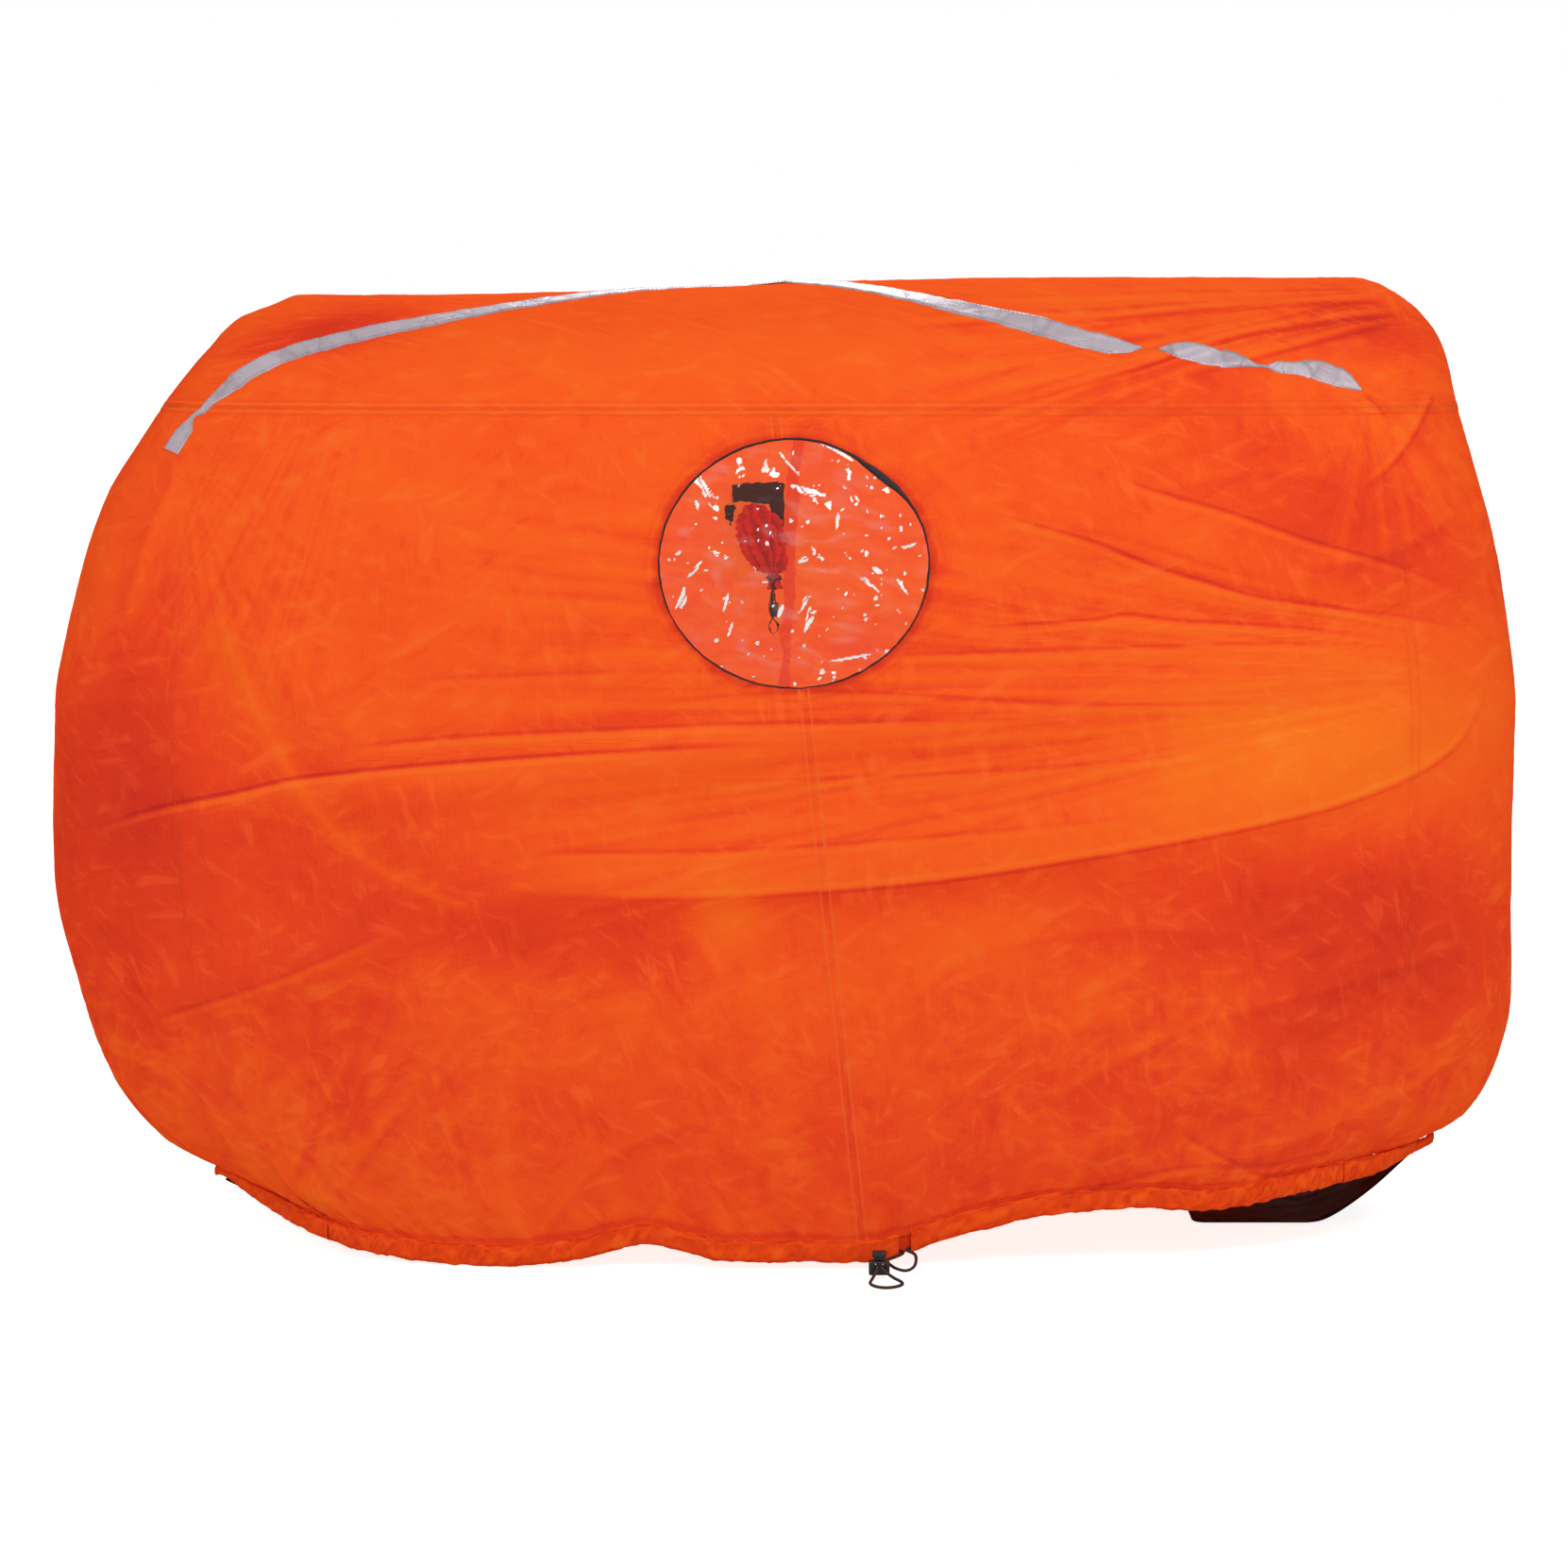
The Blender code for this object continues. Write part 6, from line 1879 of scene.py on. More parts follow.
@dataclass
class SeamLine:
    """A seam between two cloths, with the tape inside that seals it."""

    name: str
    node: str
    places: tuple[float, float]
    heights: tuple[float, float]
    cloth: str

    STITCH_AWAY = 0.0042
    TAPE_WIDTH = 0.012

    def _stations(self, step: float) -> tuple[Array, Array, Array, bool]:
        """Places and heights along the seam, the place step of a metre, and if it is upright."""
        upright = self.places[0] == self.places[1]
        if upright:
            count = max(2, round((self.heights[1] - self.heights[0]) / step))
        else:
            count = max(2, round((self.places[1] - self.places[0]) * 0.85 / step))
        place = np.linspace(*self.places, count + 1)
        height = np.linspace(*self.heights, count + 1)
        sizes = np.array([place_step(p, h) for p, h in zip(place, height)])
        return place, height, sizes, upright

    def line(self, across: float, offset: float, step: float = 0.003) -> tuple[Array, Array]:
        """A line beside the seam, a distance across from it and out from the cloth."""
        place, height, sizes, upright = self._stations(step)
        if upright:
            place = place + across * sizes
        else:
            height = height + across * HEIGHT_PER_RUN
        return on_cloth(place, height, np.full_like(place, offset))

    def make_tape(self, finish: bpy.types.Material) -> bpy.types.Object:
        """The tape on the inside."""
        across = np.linspace(-self.TAPE_WIDTH / 2, self.TAPE_WIDTH / 2, 5)
        columns = [self.line(a, -0.0013 - 0.0002 * (abs(a) < 0.005), 0.004)[0] for a in across]
        grid = np.stack(columns, 1)
        faces = grid_faces(*grid.shape[:2])
        faces = faces if self.places[0] == self.places[1] else faces[:, ::-1]
        piece = new_piece(self.name, grid.reshape(-1, 3), faces.tolist())
        length = length_of(grid[:, 2])
        keep_uv(piece, across[None, :], np.linspace(0, length, len(grid))[:, None])
        plain = np.ones(grid.shape[:2])
        keep_attributes(piece, {"tone": 0.5 * plain, "seam": 0.05 * plain})
        dress(piece, finish, self.node)
        return piece


class Seams:
    """Every seam: its tape inside and its two rows of stitches outside."""

    FOOT_GAP = 0.0045

    def lines(self) -> list[SeamLine]:
        """The seams of the shell."""
        low, high = FOOT + 0.004, ROOF_SEAM_HEIGHT - self.FOOT_GAP
        window = WINDOW_HEIGHT / 2 + WINDOW_LAP + 0.0015
        front, side, back = "front_cloth_left", "end_cloth_right", "back_cloth_left"
        rows = [
            ("front_seam_lower", "front_seam_tape_lower", (0.5, 0.5),
             (low, WINDOW_Z - window), front),
            ("front_seam_upper", "front_seam_tape_upper", (0.5, 0.5),
             (WINDOW_Z + window, high), front),
            ("corner_seam_front_right", "front_right_corner_tape", (1.0, 1.0), (low, high), side),
            ("corner_seam_back_right", "back_right_corner_tape", (2.0, 2.0), (low, high), side),
            ("back_seam", "back_seam_tape", (2.5, 2.5), (low, high), back),
            ("corner_seam_back_left", "back_left_corner_tape", (3.0, 3.0), (low, high), back),
            ("corner_seam_front_left", "front_left_corner_tape", (4.0, 4.0), (low, high), front),
            ("roof_seam", "roof_seam_tape", (0.0, 4.0), (ROOF_SEAM_HEIGHT,) * 2, "roof_cloth"),
        ]
        return [SeamLine(*row) for row in rows]

    def make(self, finishes: Finishes, stitches: StitchRows) -> None:
        """Builds the tapes and the stitches."""
        rows, corners = [], []
        for seam in self.lines():
            seam.make_tape(finishes.seam)
            lift = 0.0013 if seam.name == "roof_seam" else 0.0004
            away = SeamLine.STITCH_AWAY
            reach = (0.0, 2 * away) if seam.name == "roof_seam" else (-away, away)
            sewn = [seam.line(a, lift) for a in reach]
            if seam.name.startswith("corner"):
                corners += sewn
            else:
                rows += sewn
        stitches.sew("seam_stitches", rows, finishes.stitch, 3)
        stitches.sew("corner_stitches", corners, finishes.red_stitch, 4)


@dataclass(frozen=True)
class ReflectiveTape:
    """A reflective tape sewn over the roof, with its width along the way."""

    name: str
    node: str
    route: tuple[tuple[float, float], ...]
    widths: tuple[tuple[float, float], ...]
    sunk: tuple[float, float]
    over: bool
    seed: int
    bends: tuple[tuple[float, float], ...] = ((0.0, 0.0), (1.0, 0.0))

    WIDTH = 0.0240

    def _spine(self, shell: Shell) -> tuple[Array, Array]:
        """Points along the middle of the tape and outward directions, both evened out."""
        plan = [(x * LENGTH / 2, y * DEPTH / 2) for x, y in self.route]
        found_at, outs = [], []
        for x, y in route_through(plan, 0.0026):
            found = shell.outermost(Vector((x, y, 2.0)), Vector((0, 0, -1)))
            if found:
                found_at.append(found[0])
                outs.append(found[1])
        spine = np.array([tuple(s) for s in found_at])
        middle = evened(spine, 5)
        middle[:2], middle[-2:] = spine[:2], spine[-2:]
        return middle, unit(evened(np.array([tuple(o) for o in outs]), 9))

    def make(self, shell: Shell, finish: bpy.types.Material) -> list[tuple[Array, Array]]:
        """Builds the tape on the folded cloth.

        Args:
            shell: The cloth that it lies on.
            finish: Its material.

        Returns:
            The lines of its two rows of stitches.
        """
        spine, outs = self._spine(shell)
        ahead = unit(np.gradient(spine, axis=0))
        across = unit(np.cross(outs, ahead))
        x = spine[:, 0]
        share = np.interp(x, *np.array(self.widths).T)
        run = run_of(spine)
        at = spots(run * 55.0, 0.0, float(self.seed))
        edge_a, edge_b = (
            0.0014 * Noise(seed).soft(at) + 0.0008 * Noise(seed + 5).soft(at * 2.6)
            for seed in (self.seed, self.seed + 1)
        )
        chance = np.random.default_rng(self.seed + 20)
        pleats = np.cumsum(chance.uniform(0.020, 0.055, 90))
        pleats = pleats[pleats < run[-1] - 0.012]
        slants = chance.uniform(-0.9, 0.9, len(pleats))
        depths = chance.uniform(0.15, 1.0, len(pleats))
        # Painted light and shade for each flat facet between the cross creases.
        shades = np.append(chance.normal(0.0, 0.10, len(pleats)), 0.0)
        behind = run[:, None] - pleats[None, :]
        saw = np.where(behind >= 0.0, np.exp(-np.maximum(behind, 0.0) / 0.014), 0.0)
        edge_a = edge_a + saw @ chance.normal(0.0, 0.0014, len(pleats))
        edge_b = edge_b + saw @ chance.normal(0.0, 0.0014, len(pleats))
        moved = np.interp(x, *np.array(self.bends).T)
        columns = np.linspace(-0.5, 0.5, 11)
        rows, tones = [], []
        crossing = np.array(TAPE_CROSSING) * np.array([LENGTH / 2, DEPTH / 2])
        for i in range(len(spine)):
            half = share[i] * self.WIDTH / 2
            row, tone = [], []
            for c in columns:
                edge = (edge_a[i] if c > 0 else edge_b[i]) * min(1.0, 1.4 * share[i])
                shift = moved[i] + 2 * c * half + edge * abs(2 * c) ** 3
                start = Vector(spine[i] + across[i] * shift + outs[i] * 0.03)
                found = shell.outermost(start, Vector(-outs[i]))
                point = np.array(found[0]) if found else spine[i] + across[i] * shift
                bend, crack = self._bend(run[i], shift)
                past = run[i] - pleats - slants * (shift - moved[i])
                crack = max(crack * 0.6, float(np.max(np.exp(-((past / 0.0017) ** 2)) * depths)))
                facet = float(shades[int(np.sum(past > 0.0)) - 1])
                lift = 0.0011 + 0.0009 * bend - 0.0009 * crack if abs(c) < 0.49 else 0.0001
                if self.over:
                    away = math.hypot((point[0] - crossing[0]) / 2.0, point[1] - crossing[1])
                    lift += 0.0012 * float(smooth(np.array(2.0 - away / 0.035)))
                if self.sunk[0] < x[i] < self.sunk[1]:
                    lift = -0.0022
                row.append(point + outs[i] * lift)
                # Painted shadow line on the turned-down edges and painted shade just inside them, painted
                # shade in the creases, and painted light and shade of the bends and facets.
                rim_shadow = 0.42 if abs(c) > 0.49 else (0.06 if abs(c) > 0.39 else 0.0)
                tone.append(0.58 + 0.24 * bend + facet - 0.46 * crack - rim_shadow)
            rows.append(row)
            tones.append(tone)
        grid = np.array(rows)
        piece = new_piece(self.name, grid.reshape(-1, 3), grid_faces(*grid.shape[:2]).tolist())
        face_to(piece, len(piece.data.polygons) // 2, Vector(outs[len(outs) // 2]))
        keep_attributes(piece, {"tone": np.array(tones)})
        keep_uv(piece, columns[None, :] * self.WIDTH, run[:, None])
        dress(piece, finish, self.node)
        return [(grid[:, k] + outs * 0.0002, outs) for k in (1, -2)]

    def _bend(self, along: float, across: float) -> tuple[float, float]:
        """The soft bends of the tape, from -1 to 1, and its cross creases, from 0 to 1."""
        slant = 0.5 * math.sin(self.seed + along * 9.0)
        spot = np.array([along * 44.0 + across * 44.0 * slant, across * 16.0, float(self.seed)])
        wave = float(Noise(self.seed + 3).soft(spot))
        crease = float(ridge_lines(np.array(wave), 0.10))
        fine = float(Noise(self.seed + 4).soft(spot * 2.7))
        least = float(smooth(np.array(Noise(self.seed + 7).soft(spot * 0.7) + 0.75)))
        return 0.6 * wave + 0.3 * fine, crease * least


class ReflectiveTapes:
    """The two tapes that cross on the roof."""

    def make(self, shell: Shell, finishes: Finishes, stitches: StitchRows) -> None:
        """Builds both tapes, their stitches and the short fold over one of them."""
        left = ReflectiveTape(
            "tape_from_left", "reflective_tape_left", tuple(TAPE_FROM_LEFT),
            (
                (-0.562, 0.85), (-0.551, 0.90), (-0.544, 0.66), (-0.5405, 0.22), (-0.536, 0.20),
                (-0.531, 0.42), (-0.522, 0.38), (-0.513, 0.66), (-0.500, 0.86), (-0.47, 1.0),
                (-0.1, 0.96), (0.56, 1.0),
            ),
            (9.0, 9.0), False, 81,
            ((-0.562, 0.0), (-0.545, -0.001), (-0.5385, 0.0030), (-0.532, -0.0028), (-0.520, 0.0)),
        )
        right = ReflectiveTape(
            "tape_from_right", "reflective_tape_right", tuple(TAPE_FROM_RIGHT),
            (
                (-0.53, 1.0), (0.05, 1.0), (0.270, 0.98), (0.296, 0.90), (0.312, 0.62),
                (0.323, 0.16), (0.343, 0.14), (0.351, 0.60), (0.362, 0.86), (0.378, 0.92),
                (0.392, 0.98), (0.408, 0.72), (0.422, 0.34), (0.434, 0.10), (0.441, 0.22),
                (0.449, 0.58), (0.461, 0.50), (0.474, 0.66), (0.487, 0.98), (0.503, 1.0),
                (0.514, 0.62), (0.526, 0.08),
            ),
            (0.325, 0.341), True, 91,
            ((-0.5, 0.0), (0.25, 0.0), (0.31, 0.0008), (0.36, -0.0012), (0.40, 0.0012),
             (0.44, 0.0008), (0.48, -0.0012), (0.526, 0.0)),
        )
        rows = []
        for tape in (left, right):
            rows += tape.make(shell, finishes.reflective)
        stitches.sew("tape_stitches", rows, finishes.grey_stitch, 5)


class Hem:
    """The gathered casing round the foot, with the drawcord inside."""

    SECTION = 22

    # How much longer the casing was cut than it is when gathered
    GATHER = 1.08

    def frame(self, place: Array) -> tuple[Array, Array, Array]:
        """The middle of the casing, its outward direction and its share of the full size."""
        foot = np.full_like(place, FOOT)
        out = FORM.normals(place, foot + 0.002)
        out[..., 2] = 0.0
        end = np.minimum(np.abs(place - 1.5), np.abs(place - 3.5))
        size = 1.0 - 0.55 * smooth((0.46 - end) / 0.2)
        middle = FORM.points(place, foot)
        middle[..., 2] -= size * HEM_HEIGHT / 2 + 0.0004
        return middle, unit(out), size

    def mouths(self) -> tuple[float, float]:
        """The places where the casing is open beside the lock."""
        step = 1.0 / SIDE_COLUMNS
        middle = COLUMN_OF_SLIT * step
        ends = self.frame(np.array([middle, middle + step]))[0]
        share = SLIT / 2 / float(np.linalg.norm(ends[1] - ends[0]))
        return middle - share * step, middle + share * step

    def casing(
        self, name: str, node: str, start: float, end: float, finish: bpy.types.Material
    ) -> None:
        """One stretch of casing between two places."""
        length = length_of(self.frame(np.linspace(start, end, 80))[0])
        count = round(length / (0.0030))
        place = np.linspace(start, end, count + 1)
        middle, out, size = self.frame(place)
        turn = math.pi / 2 + 0.02 + (2 * math.pi - 0.04) * np.linspace(0.0, 1.0, self.SECTION + 1)
        level = np.sign(np.cos(turn)) * np.abs(np.cos(turn)) ** 0.75
        upright = np.sign(np.sin(turn)) * np.abs(np.sin(turn)) ** 0.62
        run = np.linspace(0.0, length, count + 1)
        at = spots(run[:, None] * 95.0, 1.2 * np.cos(turn), 1.2 * np.sin(turn) + start * 10.0)
        at[..., 0] += 0.9 * Noise(101).soft(at * np.array([0.2, 1.0, 1.0]))
        wave = Noise(102).soft(at)
        fine = Noise(103).soft(at * np.array([2.2, 1.6, 1.6]))
        crease = ridge_lines(wave, 0.2)
        swell = 0.0011 * wave + 0.0006 * fine - 0.0009 * crease
        low = np.maximum(-np.sin(turn), 0.0)[None, :] ** 4
        scallop = 0.0014 * Noise(104).soft(spots(run * 38.0, 0.0, start))
        scallop += 0.0008 * Noise(105).soft(spots(run * 110.0, 0.0, start))
        a = level[None, :] * (HEM_THICKNESS / 2 - 0.0003) + np.cos(turn)[None, :] * swell
        b = upright[None, :] * HEM_HEIGHT / 2 + np.sin(turn)[None, :] * swell
        b = (b + low * scallop[:, None]) * size[:, None]
        a = a * (0.35 + 0.65 * size)[:, None]
        points = middle[:, None, :] + out[:, None, :] * a[..., None]
        points[..., 2] += b
        points[..., 2] = np.maximum(points[..., 2], 0.0004)
        faces = grid_faces(count + 1, self.SECTION + 1)
        piece = new_piece(name, points.reshape(-1, 3), faces.tolist())
        face = self.SECTION // 2
        face_to(piece, face, piece.data.polygons[face].center - Vector(middle[0]))
        # Painted shade in the creases and along the top of the casing; the wave terms paint the shading of
        # its gathers.
        top = np.exp(-(((b / (HEM_HEIGHT / 2) - 0.86) / 0.08) ** 2))
        tone = 0.50 + 0.20 * wave + 0.12 * fine - 0.24 * crease - 0.16 * top
        keep_attributes(piece, {"tone": tone, "seam": np.full(tone.shape, 0.05)})
        keep_uv(piece, run[:, None], turn[None, :] * 0.008)
        if name == "hem_front_left":
            self._back_layer(piece, end)
        dress(piece, finish, node)

    def _back_layer(self, piece: bpy.types.Object, start: float) -> None:
        """Carries the casing's inner layer on behind the mouths beside the lock."""
        place = np.linspace(start - 0.001, self.mouths()[1] + 0.002, 7)
        middle, out, _ = self.frame(place)
        heights = np.linspace(-0.5, 0.5, 8) * (HEM_HEIGHT - 0.001)
        work = bmesh.new()
        work.from_mesh(piece.data)
        uv = work.loops.layers.uv.verify()
        tone = work.verts.layers.float["tone"]
        seam = work.verts.layers.float["seam"]
        rows = []
        for i in range(len(place)):
            back = middle[i] - out[i] * (HEM_THICKNESS / 2 - 0.0009)
            row = [work.verts.new(back + np.array([0.0, 0.0, h])) for h in heights]
            for vert in row:
                vert[tone], vert[seam] = 0.34, 0.05
            rows.append(row)
        for i in range(len(place) - 1):
            for j in range(len(heights) - 1):
                corners = (rows[i][j], rows[i + 1][j], rows[i + 1][j + 1], rows[i][j + 1])
                face = work.faces.new(corners)
                face.smooth = True
                for loop in face.loops:
                    loop[uv].uv = (loop.vert.co.x, loop.vert.co.z)
        work.to_mesh(piece.data)
        work.free()

    def drawcord(self, start: float, end: float, finish: bpy.types.Material) -> None:
        """The cord inside the casing, from one mouth round the shelter to the other."""
        place = np.linspace(start, end, 900)
        line, _, size = self.frame(place)
        low = HEM_HEIGHT / 2 - HEM_WALL - HEM_CORD / 2 - 0.0012
        line[..., 2] -= low * size - 0.0014 * (1 - size)
        dress(round_cord("drawcord", line, HEM_CORD / 2, 8), finish, "hem_drawcord")

    def make(self, finishes: Finishes, stitches: StitchRows) -> None:
        """Builds the five stretches, the cord and the row of stitches above."""
        left, right = self.mouths()
        gap = 0.0004
        for name, node, start, end in (
            ("hem_front_left", "front_left_hem", gap, left),
            ("hem_front_right", "front_right_hem", right, 1 - gap),
            ("hem_right_end", "right_end_hem", 1 + gap, 2 - gap),
            ("hem_back", "back_hem", 2 + gap, 3 - gap),
            ("hem_left_end", "left_end_hem", 3 + gap, 4 - gap),
        ):
            self.casing(name, node, start, end, finishes.hem)
        self.drawcord(right, 4.0 + left, finishes.cord)
        place = np.linspace(0.0, 4.0, 1600)
        row = on_cloth(place, np.full_like(place, FOOT + 0.0036), np.full_like(place, 0.0005))
        stitches.sew("hem_stitches", [row], finishes.stitch, 7)


def round_cord(
    name: str, line: Array, radius: float, sides: int, closed: bool = False
) -> bpy.types.Object:
    """A round cord along a line, with its place along and around kept as UV.

    Args:
        name: The piece's name.
        line: Points along its middle.
        radius: Its radius.
        sides: How many sides it has.
        closed: Whether the end joins the start.

    Returns:
        The piece.
    """
    count = len(line)
    if closed:
        ahead = unit(np.roll(line, -1, axis=0) - np.roll(line, 1, axis=0))
    else:
        ahead = unit(np.gradient(line, axis=0))
    side = np.zeros_like(line)
    first = np.cross(ahead[0], [0.0, 0.0, 1.0])
    side[0] = unit(first if np.linalg.norm(first) > 0.1 else np.array([1.0, 0.0, 0.0]))
    for i in range(1, count):
        moved = side[i - 1] - ahead[i] * (side[i - 1] @ ahead[i])
        side[i] = moved / np.linalg.norm(moved)
    up = np.cross(ahead, side)
    turn = rounds(sides)
    c, s = np.cos(turn)[None, :, None], np.sin(turn)[None, :, None]
    ring = line[:, None, :] + radius * (c * side[:, None, :] + s * up[:, None, :])
    faces = grid_faces(count, sides, True)[:, ::-1].tolist()
    last = (count - 1) * sides
    if closed:
        best = min(range(sides), key=lambda k: float(np.linalg.norm(ring[-1, 0] - ring[0, k])))
        for i in range(sides):
            j = (i + 1) % sides
            faces.append([(j + best) % sides, (i + best) % sides, last + i, last + j])
    else:
        faces += [list(range(sides))[::-1], [last + k for k in range(sides)]]
    piece = new_piece(name, ring.reshape(-1, 3), faces)
    work = bmesh.new()
    work.from_mesh(piece.data)
    bmesh.ops.recalc_face_normals(work, faces=work.faces[:])
    work.to_mesh(piece.data)
    work.free()
    keep_uv(piece, turn[None, :] * radius, run_of(line)[:, None])
    return piece


@dataclass(frozen=True)
class LockSpring:
    """The coil under a cord lock's plunger, which shortens as the plunger is pressed; it is wound here as it
    stands at rest.
    """

    name: str
    node: str
    body: str
    joint: str
    along: int
    anchored_high: bool
    wire: float
    travel: float

    TURNS = 3
    PER_TURN = 20

    def make(self, finish: bpy.types.Material) -> None:
        """Winds the coil where the lock has it."""
        low, high = (np.array(corner, dtype=float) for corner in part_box(self.node))
        middle, size = (low + high) / 2, high - low
        first, second = (k for k in range(3) if k != self.along)
        turn = np.linspace(0.0, 2 * math.pi * self.TURNS, self.TURNS * self.PER_TURN + 1)
        share = turn / turn[-1]
        share = share - 0.5 * np.sin(2 * math.pi * share) / (2 * math.pi)
        reach = (max(size[first], size[second]) - self.wire) / 2
        line = np.zeros((len(turn), 3))
        line[:, first] = middle[first] + reach * np.cos(turn)
        line[:, second] = middle[second] + reach * np.sin(turn)
        first_at, climb = low[self.along] + self.wire / 2, size[self.along] - self.wire
        line[:, self.along] = first_at + climb * share
        coil = round_cord(self.name, line, self.wire / 2, 8)
        dress(coil, finish, self.node, self.body)
        anchor = middle.copy()
        anchor[self.along] = high[self.along] if self.anchored_high else low[self.along]
        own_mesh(coil)


class HemCord:
    """The loop of drawcord that comes out of the hem and through its lock."""

    SPRING = LockSpring(
        "hem_lock_coil", "hem_lock_spring", "hem_lock", "hem_plunger_press",
        2, False, 0.0005, 0.0030
    )
    BEND_START = (0.0865, -0.2245, 0.0134)
    BEND_END = (0.0865, -0.2430, 0.0134)

    POINTS = (
        (0.10505, -0.22081, 0.01732),
        (0.10721, -0.22081, 0.01776),
        (0.10905, -0.22501, 0.01692),
        (0.10405, -0.23061, 0.01533),
        (0.09150, -0.24030, 0.01355),
        (0.08545, -0.24210, 0.01335),
        (0.08485, -0.24450, 0.01335),
        (0.08485, -0.26150, 0.01335),
        (0.08345, -0.26510, 0.00935),
        (0.07990, -0.26970, 0.00380),
        (0.07790, -0.27700, 0.00180),
        (0.08150, -0.28750, 0.00180),
        (0.09000, -0.29350, 0.00180),
        (0.09950, -0.29100, 0.00180),
        (0.10650, -0.28250, 0.00180),
        (0.10600, -0.27300, 0.00200),
        (0.09850, -0.26750, 0.00480),
        (0.09035, -0.26470, 0.01075),
        (0.08815, -0.26150, 0.01335),
        (0.08815, -0.24450, 0.01335),
        (0.08875, -0.24230, 0.01335),
        (0.09350, -0.24170, 0.01235),
        (0.10150, -0.24750, 0.00815),
        (0.11150, -0.25050, 0.00675),
        (0.11900, -0.24650, 0.01035),
        (0.12000, -0.23379, 0.01685),
        (0.11281, -0.22699, 0.01956),
        (0.11374, -0.22080, 0.01961),
        (0.11581, -0.22079, 0.02036),
    )

    def make(self, finishes: Finishes) -> None:
        """Builds the loop and the lock's spring."""
        self.SPRING.make(finishes.steel)
        line = route_through(self.POINTS, 0.0011)
        loop = round_cord("hem_loop", line, HEM_CORD / 2, 12)
        paint(loop, finishes.cord)
        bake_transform(loop, "shelter", "hem_lock", start=self.BEND_START, end=self.BEND_END)
        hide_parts("hem_cord_loop")


